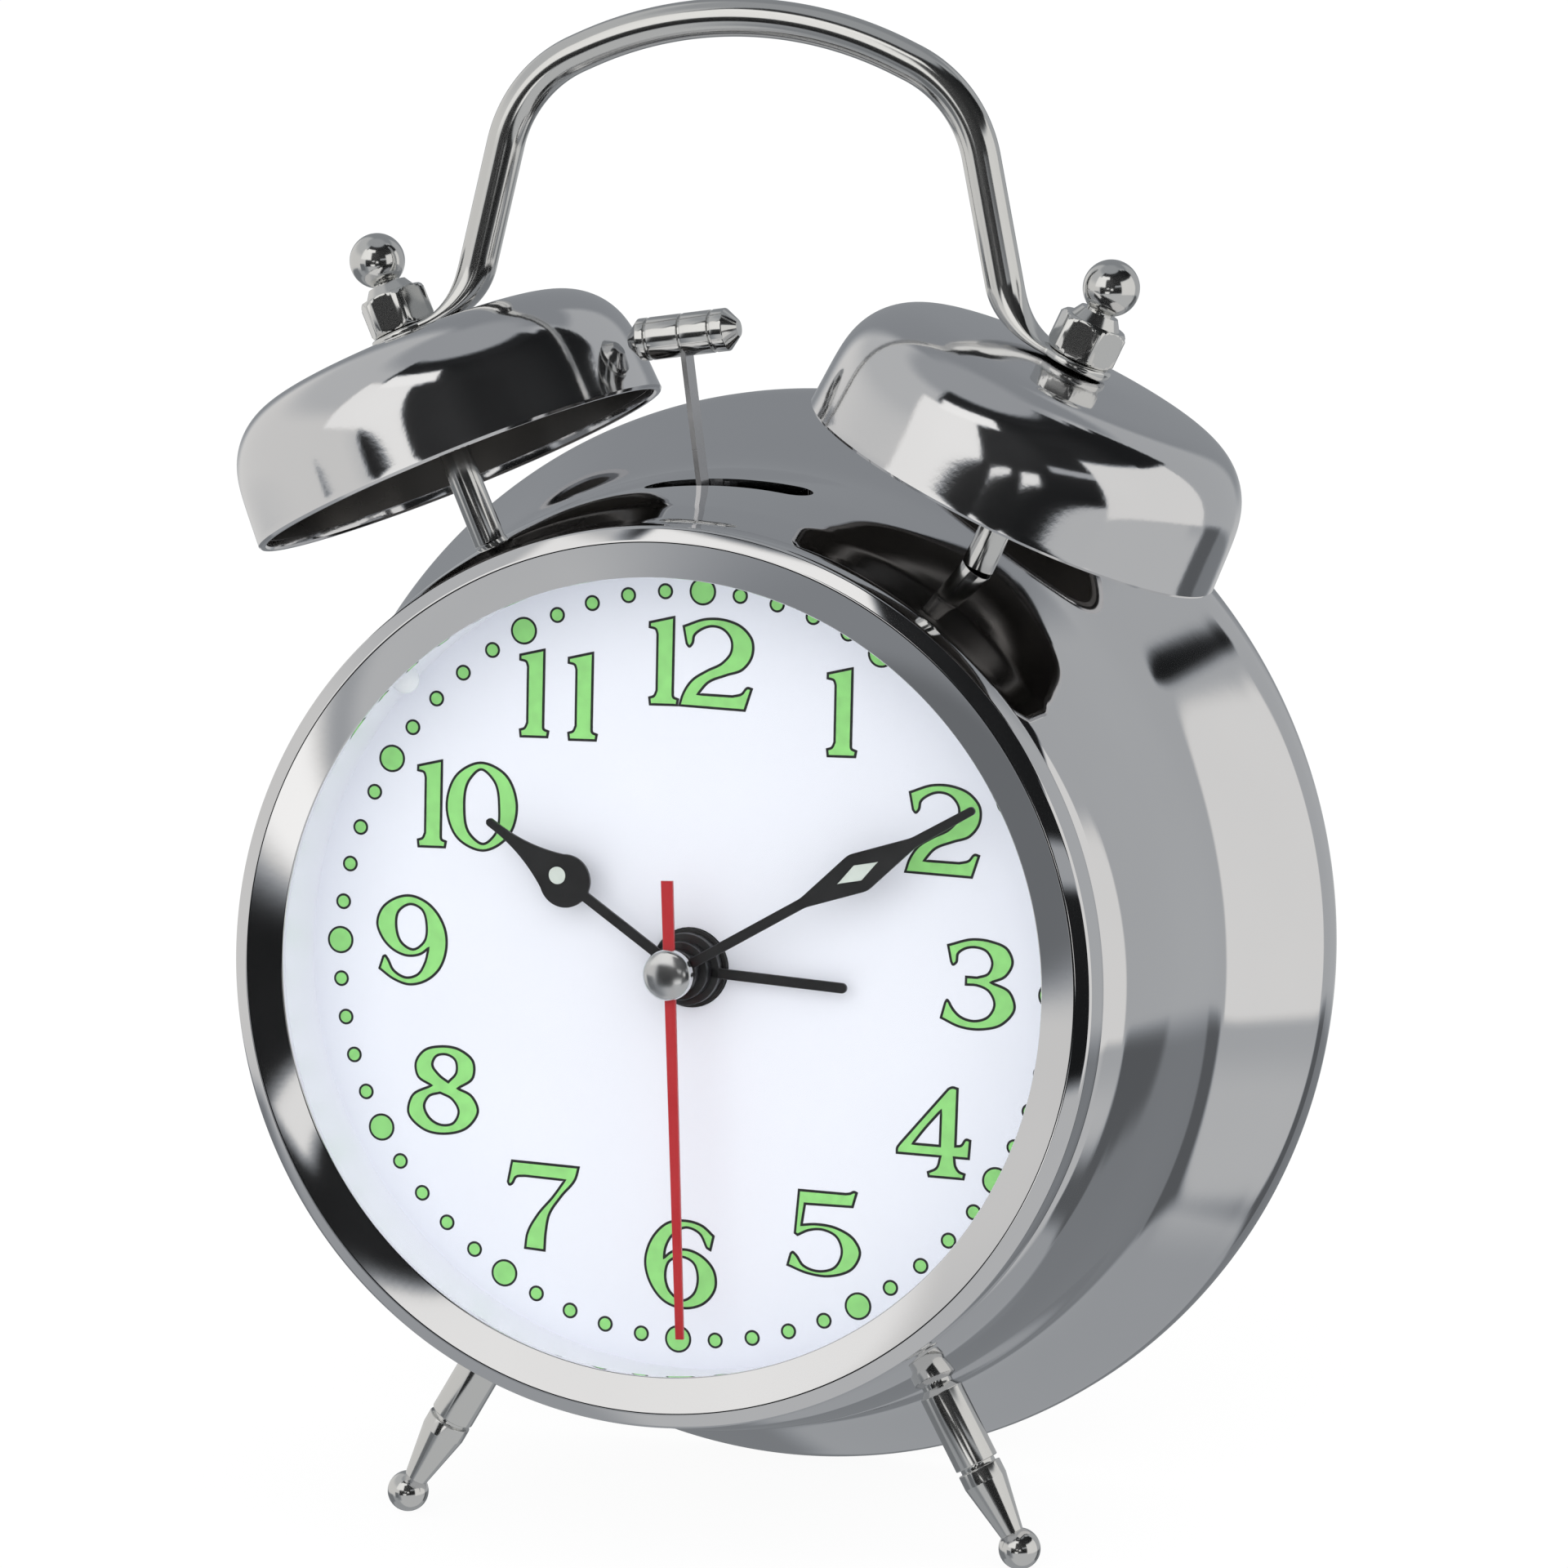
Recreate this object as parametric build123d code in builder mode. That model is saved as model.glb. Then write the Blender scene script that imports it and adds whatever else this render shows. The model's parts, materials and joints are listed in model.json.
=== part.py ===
from build123d import *
import os
from math import acos, atan2, cos, degrees, hypot, radians, sin, sqrt, tan

# Twin-bell alarm clock with a quartz movement and a motor-driven bell hammer.
# Every piece is drawn in the clock's own frame: dial centre at the origin, +X to the
# reader's right, +Y into the clock, +Z towards twelve o'clock. At the end the whole clock
# is leaned back onto its two feet and rear rim, with the floor at Z = 0. Millimetres.

# Fits
RUNNING_GAP = 0.05
FREE_GAP = 0.3
SEAT_GAP = 0.1

# Dial, light ring, lens and bezel
DIAL_RADIUS = 45.6
DIAL_THICK = 1.0
RING_WALL = 2.5
RING_DEPTH = 9.0
LENS_THICK = 1.4
BEZEL_WALL = 1.1
BEZEL_LIP_COVER = 1.0
BEZEL_LIP_EDGE = 0.7
BEZEL_DISH = 0.9
BEZEL_EDGE_ROUND = 1.35

# Case: a drum that flares into a wide rear rim
CASE_WALL = 0.8
SHOULDER_DEPTH = 7.0
SHOULDER_ROUND = 2.6
SHOULDER_STEP = 3.2
DRUM_SLOPE = 0.0885
FLARE_START = 20.85
FLARE_SLOPE = 0.4135
FLARE_ROUND = 30.0
RIM_STEP = 7.5353
RIM_ROUND = 14.0
RIM_LAND = 4.327
RIM_CURL = 1.2
RIM_TURN_IN = 2.1

# The hammer swings in one plane behind the dial
STRIKE_DEPTH = 8.6

# Bells: the axes of their posts meet below the dial's centre
BELL_DEPTH = 10.0
BELL_ANGLE = 24.75
BELL_CROSS_DROP = 16.4
BELL_STAND = 8.2
BELL_MOUTH_RADIUS = 23.4
BELL_HEIGHT = 15.2
BELL_DRAFT = 3.0
BELL_DOME = 3.0
BELL_SHOULDER_ROUND = 8.0
BELL_WALL = 0.9
POST_RADIUS = 1.75
STUD_RADIUS = 1.5
STUD_INSIDE = 4.6
NUT_FLATS = 5.5
NUT_HEIGHT = 2.4

# Finials: a hexagon nut with a ball on top
FINIAL_FLATS = 6.2
FINIAL_HEX_HEIGHT = 4.1
FINIAL_COLLAR_RADIUS = 2.5
FINIAL_COLLAR_HEIGHT = 0.8
FINIAL_BALL_RADIUS = 3.0
FINIAL_BALL_RISE = 3.1
FINIAL_THREAD_DEPTH = 3.0

# Handle: a bent rod, flattened to an eye at each end
HANDLE_ROD_RADIUS = 2.05
HANDLE_RISE = 39.15
HANDLE_SLOPE = 24.3
HANDLE_INSET = 12.5
HANDLE_LEG_LEAN = 12.5
HANDLE_TOP_ROUND = 43.0
HANDLE_CORNER_ROUND = 14.0
HANDLE_FOOT_ROUND = 9.4
EYE_RADIUS = 3.9
EYE_THICK = 1.2

# Feet: turned pegs with a ball end
FOOT_ANGLE = 29.7
FOOT_DEPTH = 10.6
FOOT_RADIUS = 2.42
FOOT_CHAMFER = 0.7
FOOT_BODY_LENGTH = 9.2
FOOT_GROOVE_WIDTH = 0.5
FOOT_GROOVE_DEPTH = 0.45
FOOT_TAPER_LENGTH = 7.8
FOOT_TAPER_STRAIGHT = 1.6
FOOT_NECK_RADIUS = 1.3
FOOT_BALL_RADIUS = 2.25
FOOT_FLAT = 0.12

# Hammer and its drive
HAMMER_HEAD_RISE = 16.0
HAMMER_GAP = 0.3
HAMMER_STRIP_THICK = 0.55
HAMMER_STRIP_WIDTH = 2.6
HAMMER_STRIP_GRIP = 5.0
HAMMER_HEAD_LENGTH = 12.4
HAMMER_HEAD_RADIUS = 2.3
HAMMER_HEAD_CONE = 1.3
HAMMER_HEAD_TIP_RADIUS = 0.9
HAMMER_GROOVE = 0.3
HAMMER_BOSS_RADIUS = 2.8
HAMMER_TAIL = 10.0
HAMMER_TAIL_WIDTH = 4.4
HAMMER_FORK = 2.6
PIVOT_RADIUS = 1.0
SLOT_LENGTH = 18.8
SLOT_WIDTH = 4.6
CRANK_DROP = 8.0
CRANK_THROW = 0.75
CRANK_PIN_RADIUS = 0.8
CRANK_PIN_LENGTH = 1.0
CRANK_MODULE = 0.4
CRANK_TEETH = 30
MOTOR_TEETH = 10
MOTOR_RADIUS = 5.8
MOTOR_LENGTH = 14.5
MOTOR_SHAFT_RADIUS = 0.75
STRIKER_THICK = 1.2
STRIKER_SCREW_X = 14.0
STRIKER_SCREW_RISE = 3.5
STRIKER_MARGIN = 3.6

# Movement box and the frame plate that carries it
FRAME_THICK = 2.0
FRAME_LIP = 2.5
PILLAR_RADIUS = 3.4
PILLAR_INSET = 4.6
PILLAR_ANGLES = (72, 180, 288)
BOX_WALL = 1.4
BOX_PLATE = 1.6
BOX_MIDDLE = 0.6
BOX_CORNER = 4.4
BUSH_WALL = 1.2
BUSH_STANDOUT = 0.4

# Arbors, wheels and hands
SECONDS_ARBOR_RADIUS = 0.70
TUBE_WALL = 0.70
PIVOT_ARBOR_RADIUS = 0.50
SET_SHAFT_RADIUS = 1.5
WHEEL_THICK = 1.0
THICK_WHEEL = 1.2
PINION_OVERLAP = 0.15
LEVEL_GAP = 0.5
TRAIN_MODULE = 0.30
MOTION_MODULE = 0.50
HAND_THICK = 0.4
HAND_PITCH = 1.6
COLLET_WALL = 0.9
COLLET_LENGTH = 0.8
STEM_WIDTH = 1.1
TIP_WIDTH = 0.9
ALARM_HAND_LENGTH = 18.1
HOUR_HAND_LENGTH = 26.6
HOUR_BODY_AT = 15.8
HOUR_BODY_RADIUS = 2.85
MINUTE_HAND_LENGTH = 37.8
MINUTE_BLADE_START = 16.3
MINUTE_BLADE_END = 30.2
MINUTE_BLADE_WIDTH = 4.3
SECONDS_HAND_LENGTH = 38.8
SECONDS_HAND_TAIL = 9.9
SECONDS_HAND_WIDTH = 1.3
CAP_RADIUS = 2.7
CAP_HEIGHT = 1.4
ALARM_HAND_ANGLE = 92.8
HOUR_HAND_ANGLE = 303.7
MINUTE_HAND_ANGLE = 59.4
SECONDS_HAND_ANGLE = 176.9

# Step motor and circuit board
ROTOR_RADIUS = 1.7
STATOR_GAP = 0.5
STATOR_THICK = 1.0
STATOR_BAR = 5.0
STATOR_LEG = 2.4
COIL_WIDTH = 4.4
COIL_DEPTH = 4.0
COIL_LENGTH = 17.0
BOARD_THICK = 1.0
BOARD_WIDTH = 14.0
CRYSTAL_RADIUS = 1.0
CRYSTAL_LENGTH = 6.0

# Back cover, batteries and controls
COVER_THICK = 2.2
COVER_RECESS = 1.0
CELL_RADIUS = 7.25
CELL_LENGTH = 50.5
CELL_PITCH = 15.0
CELL_TOP_Z = -8.4
TRAY_WALL = 1.4
CONTACT_ROOM = 2.4
CONTACT_THICK = 0.5
DOOR_THICK = 1.6
DOOR_REBATE = 1.6
HINGE_PIN_RADIUS = 0.7
HINGE_PIN_LENGTH = 1.2
KNOB_RADIUS = 5.2
KNOB_HEIGHT = 5.6
KNOB_RIBS = 24
KNOB_RIB_DEPTH = 0.35
SWITCH_Z = 27.0
SWITCH_TRAVEL = 4.0
SWITCH_CAP_WIDTH = 4.0
SWITCH_CAP_HEIGHT = 3.4
SWITCH_STANDOUT = 1.6
SWITCH_PLATE = 1.0
BUTTON_X = 19.0
BUTTON_RADIUS = 3.4
BUTTON_FLANGE = 1.0
BUTTON_TRAVEL = 1.4
BUTTON_PROUD = 0.8
SCREW_RADIUS = 1.2
SCREW_HEAD_RADIUS = 2.2
SCREW_HEAD_HEIGHT = 1.2
SCREW_SLOT_LENGTH = 3.0
SCREW_SLOT_WIDTH = 0.6
SCREW_GRIP = 8.0

# Lamp in the light ring's wall
LAMP_ANGLE = -46.8
LAMP_DEPTH = -4.6
LAMP_RADIUS = 1.5
LAMP_STANDOUT = 1.7
LAMP_FLANGE = 1.0
LEAD_WIDTH = 0.5
LEAD_SPACING = 1.3

# Gear teeth: thin, straight-sided, with generous backlash
TOOTH_TIP_SHARE = 0.18
TOOTH_ROOT_SHARE = 0.42
TOOTH_RISE = 0.75
TOOTH_FALL = 1.10


# Helpers


def front(depth):
    """Plane facing the reader at a depth: local x to the right, local y up."""
    return Plane.XZ.offset(-depth)


def radial_plane(angle, depth, height=0.0):
    """Plane facing the reader whose local y runs outwards at a clock angle."""
    turn = radians(angle)
    return Plane(origin=(0, depth, height), x_dir=(cos(turn), 0, -sin(turn)), z_dir=(0, -1, 0))


def radial_axis(angle, depth, height=0.0):
    """Axis from the clock's middle plane outwards at a clock angle."""
    turn = radians(angle)
    return Axis((0, depth, height), (sin(turn), 0, cos(turn)))


def across_plane(angle, depth, radius, height=0.0):
    """Plane square to a radial axis, facing outwards at a radius."""
    turn = radians(angle)
    place = (radius * sin(turn), depth, height + radius * cos(turn))
    return Plane(origin=place, x_dir=(cos(turn), 0, -sin(turn)), z_dir=(sin(turn), 0, cos(turn)))


def add_shaft(at, radius, near, far, mode=Mode.ADD):
    """Add or cut a round bar along the depth at a place (x, z) on the dial."""
    with Locations((at[0], near, at[1])):
        Cylinder(radius, far - near, rotation=(-90, 0, 0),
                 align=(Align.CENTER, Align.CENTER, Align.MIN), mode=mode)


def add_block(low, high, mode=Mode.ADD):
    """Add or cut a block between two opposite corners."""
    with Locations(low):
        Box(*(b - a for a, b in zip(low, high)), align=(Align.MIN,) * 3, mode=mode)


def gear_points(teeth, module, phase):
    """Outline of a gear whose first tooth points at the phase angle, in degrees."""
    pitch = 360 / teeth
    root = module * (teeth / 2 - TOOTH_FALL)
    tip = module * (teeth / 2 + TOOTH_RISE)
    corners = ((-TOOTH_ROOT_SHARE, root), (-TOOTH_TIP_SHARE, tip),
               (TOOTH_TIP_SHARE, tip), (TOOTH_ROOT_SHARE, root))
    outline = []
    for tooth in range(teeth):
        for share, radius in corners:
            turn = radians(phase + pitch * (tooth + share / 2))
            outline.append((radius * cos(turn), radius * sin(turn)))
    return outline


def add_gear(at, near, width, teeth, module, phase):
    """Add a gear to the piece being built, its front face at a depth."""
    with BuildSketch(front(near), mode=Mode.PRIVATE) as outline:
        with Locations(at):
            Polygon(*gear_points(teeth, module, phase), align=None)
    extrude(outline.sketch, amount=-width)


def direction(start, end):
    """Angle in degrees of the line between two places (x, z)."""
    return degrees(atan2(end[1] - start[1], end[0] - start[0]))


def meshing_phase(start, phase, teeth, end, other_teeth):
    """Phase of a second gear whose gap faces a tooth of the first."""
    line = direction(start, end)
    past = ((line - phase) * teeth / 360) % 1
    return line + 180 + (past - 0.5) * 360 / other_teeth


def polar(radius, angle):
    """Place (x, z) at a radius and an angle counted from +X."""
    return (radius * cos(radians(angle)), radius * sin(radians(angle)))


def clock_polar(radius, angle):
    """Place (x, z) at a radius and a clock angle."""
    return polar(radius, 90 - angle)


def hexagon_radius(flats):
    """Corner radius of a hexagon from its width across flats."""
    return flats / sqrt(3)


# Depths, counted from the dial's face

LENS_BACK = -RING_DEPTH
LENS_FRONT = LENS_BACK - LENS_THICK
BEZEL_FRONT = LENS_FRONT - BEZEL_LIP_EDGE - BEZEL_DISH
FRAME_FRONT = DIAL_THICK
FRAME_BACK = FRAME_FRONT + FRAME_THICK
BOX_INSIDE = FRAME_BACK + BOX_PLATE
SHOULDER_FRONT = -SHOULDER_DEPTH

# Radii that stack from the dial outwards

RING_INNER_RADIUS = DIAL_RADIUS - RING_WALL
BEZEL_LIP_RADIUS = RING_INNER_RADIUS - BEZEL_LIP_COVER
NECK_INNER = DIAL_RADIUS + SEAT_GAP
NECK_OUTER = NECK_INNER + CASE_WALL
BEZEL_INNER = NECK_OUTER + RUNNING_GAP
BEZEL_OUTER = BEZEL_INNER + BEZEL_WALL
DRUM_FRONT_RADIUS = NECK_OUTER + SHOULDER_STEP
FRAME_RADIUS = DRUM_FRONT_RADIUS - CASE_WALL - FREE_GAP
PILLAR_RING = FRAME_RADIUS - PILLAR_INSET


def drum_radius(depth):
    """Outside radius of the case's drum at a depth in front of the flare."""
    return DRUM_FRONT_RADIUS + DRUM_SLOPE * (depth - SHOULDER_FRONT)


def seat_radius(depth, half_width):
    """Radius at which a flat collar rests on the outside of the drum."""
    return drum_radius(depth + half_width)


def nut_seat_radius(depth, half_width):
    """Radius at which a flat nut rests on the inside of the drum."""
    inside = drum_radius(depth - half_width) - CASE_WALL
    return sqrt(inside ** 2 - half_width ** 2)


BELL_TURN = radians(BELL_ANGLE)


def post_reach(radius, beside):
    """Length along a post's axis, from where both axes meet, to a drum radius beside it."""
    aside = BELL_CROSS_DROP * sin(BELL_TURN) + beside
    return BELL_CROSS_DROP * cos(BELL_TURN) + sqrt(radius ** 2 - aside ** 2)


def bell_plane(angle):
    """Plane facing the reader whose local y runs along a bell's axis."""
    return radial_plane(angle, BELL_DEPTH, -BELL_CROSS_DROP)


def bell_axis(angle):
    """Axis of a bell and its post."""
    return radial_axis(angle, BELL_DEPTH, -BELL_CROSS_DROP)


def bell_across(angle, along):
    """Plane square to a bell's axis."""
    return across_plane(angle, BELL_DEPTH, along, -BELL_CROSS_DROP)


# Rear rim and cover, then the bells' height above the drum

RIM_RADIUS = drum_radius(FLARE_START) + RIM_STEP
RIM_FLARE_END = FLARE_START + RIM_STEP / FLARE_SLOPE
RIM_BACK = RIM_FLARE_END + RIM_LAND
COVER_RADIUS = RIM_RADIUS - RIM_TURN_IN - FREE_GAP
COVER_BACK = RIM_BACK - COVER_RECESS
COVER_FRONT = COVER_BACK - COVER_THICK
POST_BASE = post_reach(seat_radius(BELL_DEPTH, POST_RADIUS), -POST_RADIUS)
POST_INNER_END = POST_BASE - CASE_WALL - STUD_INSIDE
BELL_MOUTH_AT = POST_BASE + BELL_STAND
HAMMER_HEAD_AT = BELL_MOUTH_AT * cos(BELL_TURN) - BELL_CROSS_DROP + HAMMER_HEAD_RISE

# Coaxial tubes at the centre, from the inside out

MINUTE_BORE = SECONDS_ARBOR_RADIUS + RUNNING_GAP
MINUTE_TUBE = MINUTE_BORE + TUBE_WALL
HOUR_BORE = MINUTE_TUBE + RUNNING_GAP
HOUR_TUBE = HOUR_BORE + TUBE_WALL
ALARM_BORE = HOUR_TUBE + RUNNING_GAP
ALARM_TUBE = ALARM_BORE + TUBE_WALL
BUSH_BORE = ALARM_TUBE + RUNNING_GAP
BUSH_RADIUS = BUSH_BORE + BUSH_WALL

# Hands stand one pitch apart in front of the dial

ALARM_HAND_BACK = -HAND_PITCH
HOUR_HAND_BACK = ALARM_HAND_BACK - HAND_PITCH
MINUTE_HAND_BACK = HOUR_HAND_BACK - HAND_PITCH
SECONDS_HAND_BACK = MINUTE_HAND_BACK - HAND_PITCH

# Wheel levels behind the dial

ALARM_WHEEL_FRONT = BOX_INSIDE + LEVEL_GAP
HOUR_WHEEL_FRONT = ALARM_WHEEL_FRONT + THICK_WHEEL + LEVEL_GAP
CANNON_FRONT = HOUR_WHEEL_FRONT + THICK_WHEEL + LEVEL_GAP
CENTRE_WHEEL_FRONT = CANNON_FRONT + THICK_WHEEL + LEVEL_GAP
MIDDLE_FRONT = CENTRE_WHEEL_FRONT + WHEEL_THICK + LEVEL_GAP
MIDDLE_BACK = MIDDLE_FRONT + BOX_MIDDLE
SECONDS_WHEEL_FRONT = MIDDLE_BACK + LEVEL_GAP
THIRD_WHEEL_FRONT = SECONDS_WHEEL_FRONT + WHEEL_THICK + LEVEL_GAP
STEP_WHEEL_FRONT = THIRD_WHEEL_FRONT + WHEEL_THICK + LEVEL_GAP
BOX_REAR_INSIDE = STEP_WHEEL_FRONT + WHEEL_THICK + LEVEL_GAP
BOX_BACK = BOX_REAR_INSIDE + BOX_PLATE
ARBOR_END = BOX_REAR_INSIDE + BOX_PLATE / 2

# Tooth counts: rotor to seconds 1:30, seconds to centre 1:60, cannon to hour 1:12

ROTOR_TEETH = 8
STEP_TEETH = 48
STEP_PINION = 10
SECONDS_TEETH = 50
SECONDS_PINION = 8
THIRD_TEETH = 60
THIRD_PINION = 8
CENTRE_TEETH = 64
CANNON_TEETH = 12
MINUTE_TEETH = 36
MINUTE_PINION = 10
HOUR_TEETH = 40
SET_TEETH = 18
ALARM_TEETH = 50
ALARM_SET_TEETH = 30


def mesh_distance(first, second, module):
    """Centre distance of two meshing gears."""
    return module * (first + second) / 2


def tip_radius(teeth, module):
    """Radius over a gear's tooth tips."""
    return module * (teeth / 2 + TOOTH_RISE)


# Wheel places on the dial plane, found from the tooth counts

CENTRE = (0.0, 0.0)
STEP_AT = polar(mesh_distance(STEP_PINION, SECONDS_TEETH, TRAIN_MODULE), 120)
STEP_TO_ROTOR = mesh_distance(ROTOR_TEETH, STEP_TEETH, TRAIN_MODULE)
ROTOR_AT = (STEP_AT[0] + STEP_TO_ROTOR * cos(radians(150)), STEP_AT[1] + STEP_TO_ROTOR * sin(radians(150)))
THIRD_DISTANCE = mesh_distance(SECONDS_PINION, THIRD_TEETH, TRAIN_MODULE)
THIRD_AT = polar(THIRD_DISTANCE, 290)
CENTRE_MODULE = 2 * THIRD_DISTANCE / (THIRD_PINION + CENTRE_TEETH)
MOTION_DISTANCE = mesh_distance(CANNON_TEETH, MINUTE_TEETH, MOTION_MODULE)
HOUR_MODULE = 2 * MOTION_DISTANCE / (MINUTE_PINION + HOUR_TEETH)
SET_DISTANCE = mesh_distance(MINUTE_TEETH, SET_TEETH, MOTION_MODULE)
ALARM_DISTANCE = mesh_distance(ALARM_TEETH, ALARM_SET_TEETH, MOTION_MODULE)
ALARM_SET_AT = polar(ALARM_DISTANCE, 18)
TIME_SET_AT = (-ALARM_SET_AT[0], ALARM_SET_AT[1])
MOTION_SPREAD = degrees(acos((MOTION_DISTANCE ** 2 + ALARM_DISTANCE ** 2 - SET_DISTANCE ** 2)
                             / (2 * MOTION_DISTANCE * ALARM_DISTANCE)))
MINUTE_AT = polar(MOTION_DISTANCE, 162 + MOTION_SPREAD)

# Movement box around the wheels, then the striker above it

BOX_HALF_WIDTH = ALARM_SET_AT[0] + tip_radius(ALARM_SET_TEETH, MOTION_MODULE) + LEVEL_GAP + BOX_WALL
BOX_TOP = STEP_AT[1] + tip_radius(STEP_TEETH, TRAIN_MODULE) + LEVEL_GAP + BOX_WALL
BOX_BOTTOM = THIRD_AT[1] - tip_radius(THIRD_TEETH, TRAIN_MODULE) - LEVEL_GAP - BOX_WALL
CRANK_AT = (0.0, BOX_TOP + LEVEL_GAP + tip_radius(CRANK_TEETH, CRANK_MODULE))
HAMMER_PIVOT_Z = CRANK_AT[1] + CRANK_DROP
HAMMER_REACH = HAMMER_HEAD_AT - HAMMER_PIVOT_Z

# Front: bezel, lens, light ring, lamp and dial

BEZEL_FACE_RADIUS = BEZEL_OUTER - BEZEL_EDGE_ROUND

with BuildPart() as front_bezel:
    with BuildSketch(Plane.XY) as bezel_section:
        Polygon(
            (BEZEL_LIP_RADIUS, LENS_FRONT),
            (BEZEL_LIP_RADIUS, LENS_FRONT - BEZEL_LIP_EDGE),
            (BEZEL_FACE_RADIUS, BEZEL_FRONT),
            (BEZEL_OUTER, BEZEL_FRONT),
            (BEZEL_OUTER, SHOULDER_FRONT - SEAT_GAP),
            (BEZEL_INNER, SHOULDER_FRONT - SEAT_GAP),
            (BEZEL_INNER, LENS_FRONT),
            align=None,
        )
        face_edge = bezel_section.vertices().sort_by_distance((BEZEL_OUTER, BEZEL_FRONT))[0]
        fillet(face_edge, BEZEL_EDGE_ROUND * 0.98)
    revolve(axis=Axis.Y)

with BuildPart() as lens:
    add_shaft(CENTRE, DIAL_RADIUS, LENS_FRONT, LENS_BACK)
    chamfer(lens.edges().filter_by(GeomType.CIRCLE), LENS_THICK / 6)

LAMP_SEAT = RING_INNER_RADIUS + LAMP_FLANGE
LAMP_PLANE = across_plane(LAMP_ANGLE, LAMP_DEPTH, RING_INNER_RADIUS)
LEAD_CHANNEL = LEAD_SPACING + 2 * LEAD_WIDTH
LEAD_END = FRAME_BACK + BOX_PLATE


def lead_channel_corners(near, far):
    """Corners, in the lamp's upright frame, of the channel its leads run in."""
    half = LEAD_CHANNEL / 2
    return (-half, near, LAMP_SEAT - LEAD_WIDTH), (half, far, NECK_OUTER)


with BuildPart() as dial_ring:
    add_shaft(CENTRE, DIAL_RADIUS, LENS_BACK, 0)
    add_shaft(CENTRE, RING_INNER_RADIUS, LENS_BACK, 0, mode=Mode.SUBTRACT)
    with BuildSketch(LAMP_PLANE.offset(-RING_INNER_RADIUS / 8)):
        Circle(LAMP_RADIUS + RUNNING_GAP)
    extrude(amount=RING_INNER_RADIUS / 4, mode=Mode.SUBTRACT)
    with Locations(Location((0, 0, 0), (0, LAMP_ANGLE, 0))):
        add_block(*lead_channel_corners(LAMP_DEPTH - LEAD_WIDTH, 0), mode=Mode.SUBTRACT)

with BuildPart() as dial_lamp:
    with BuildSketch(radial_plane(LAMP_ANGLE, LAMP_DEPTH)):
        with BuildLine():
            dome = RING_INNER_RADIUS - LAMP_STANDOUT
            Polyline((0, dome), (0, LAMP_SEAT), (LAMP_RADIUS, LAMP_SEAT), (LAMP_RADIUS, dome + LAMP_RADIUS))
            RadiusArc((LAMP_RADIUS, dome + LAMP_RADIUS), (0, dome), LAMP_RADIUS)
        make_face()
    revolve(axis=radial_axis(LAMP_ANGLE, LAMP_DEPTH))
    for side in (-1, 1):
        lead = side * LEAD_SPACING / 2
        with Locations(Location((0, 0, 0), (0, LAMP_ANGLE, 0))):
            add_block((lead - LEAD_WIDTH / 2, LAMP_DEPTH - LEAD_WIDTH / 2, LAMP_SEAT - LEAD_WIDTH / 2),
                      (lead + LEAD_WIDTH / 2, LEAD_END, LAMP_SEAT + LEAD_WIDTH / 2))

with BuildPart() as dial_plate:
    add_shaft(CENTRE, DIAL_RADIUS, 0, DIAL_THICK)
    add_shaft(CENTRE, BUSH_RADIUS + SEAT_GAP, 0, DIAL_THICK, mode=Mode.SUBTRACT)
    with Locations(Location((0, 0, 0), (0, LAMP_ANGLE, 0))):
        add_block(*lead_channel_corners(0, DIAL_THICK), mode=Mode.SUBTRACT)

# Case shell: one drawn sheet, from the bezel's neck to the curled rear rim

NECK_FRONT = LENS_FRONT + SEAT_GAP

with BuildPart() as case_shell:
    with BuildSketch(Plane.XY):
        with BuildLine():
            FilletPolyline(
                (NECK_OUTER, NECK_FRONT),
                (NECK_OUTER, SHOULDER_FRONT),
                (DRUM_FRONT_RADIUS, SHOULDER_FRONT),
                (drum_radius(FLARE_START), FLARE_START),
                (RIM_RADIUS, RIM_FLARE_END),
                (RIM_RADIUS, RIM_BACK),
                (RIM_RADIUS - RIM_TURN_IN, RIM_BACK),
                radius=[CASE_WALL / 8, SHOULDER_ROUND, FLARE_ROUND, RIM_ROUND, RIM_CURL],
            )
            offset(amount=CASE_WALL, side=Side.LEFT)
        make_face()
    revolve(axis=Axis.Y)
    with BuildSketch(across_plane(0, STRIKE_DEPTH, NECK_INNER)):
        SlotOverall(SLOT_LENGTH, SLOT_WIDTH)
    for side in (-1, 1):
        with BuildSketch(bell_across(side * BELL_ANGLE, POST_INNER_END)):
            Circle(STUD_RADIUS + SEAT_GAP)
        with BuildSketch(across_plane(180 - side * FOOT_ANGLE, FOOT_DEPTH, NECK_INNER)):
            Circle(STUD_RADIUS + SEAT_GAP)
    extrude(amount=RIM_RADIUS - NECK_INNER, mode=Mode.SUBTRACT)

# Frame plate behind the dial, with pillars for the back screws and bosses for the striker

STRIKER_FRONT = STRIKE_DEPTH + HAMMER_STRIP_WIDTH / 2 + FREE_GAP + CRANK_PIN_LENGTH + WHEEL_THICK + LEVEL_GAP
STRIKER_BACK = STRIKER_FRONT + STRIKER_THICK
STRIKER_SCREWS = [(side * STRIKER_SCREW_X, HAMMER_PIVOT_Z + STRIKER_SCREW_RISE) for side in (-1, 1)]
PILLARS = [clock_polar(PILLAR_RING, angle) for angle in PILLAR_ANGLES]
BOX_SCREWS = [(x, z) for x in (-BOX_HALF_WIDTH + BOX_CORNER / 2, BOX_HALF_WIDTH - BOX_CORNER / 2)
              for z in (BOX_BOTTOM + BOX_CORNER / 2, BOX_TOP - BOX_CORNER / 2)]
PIVOT_AT = (0.0, HAMMER_PIVOT_Z)
PIVOT_FRONT = FRAME_FRONT + FRAME_THICK / 2

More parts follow.
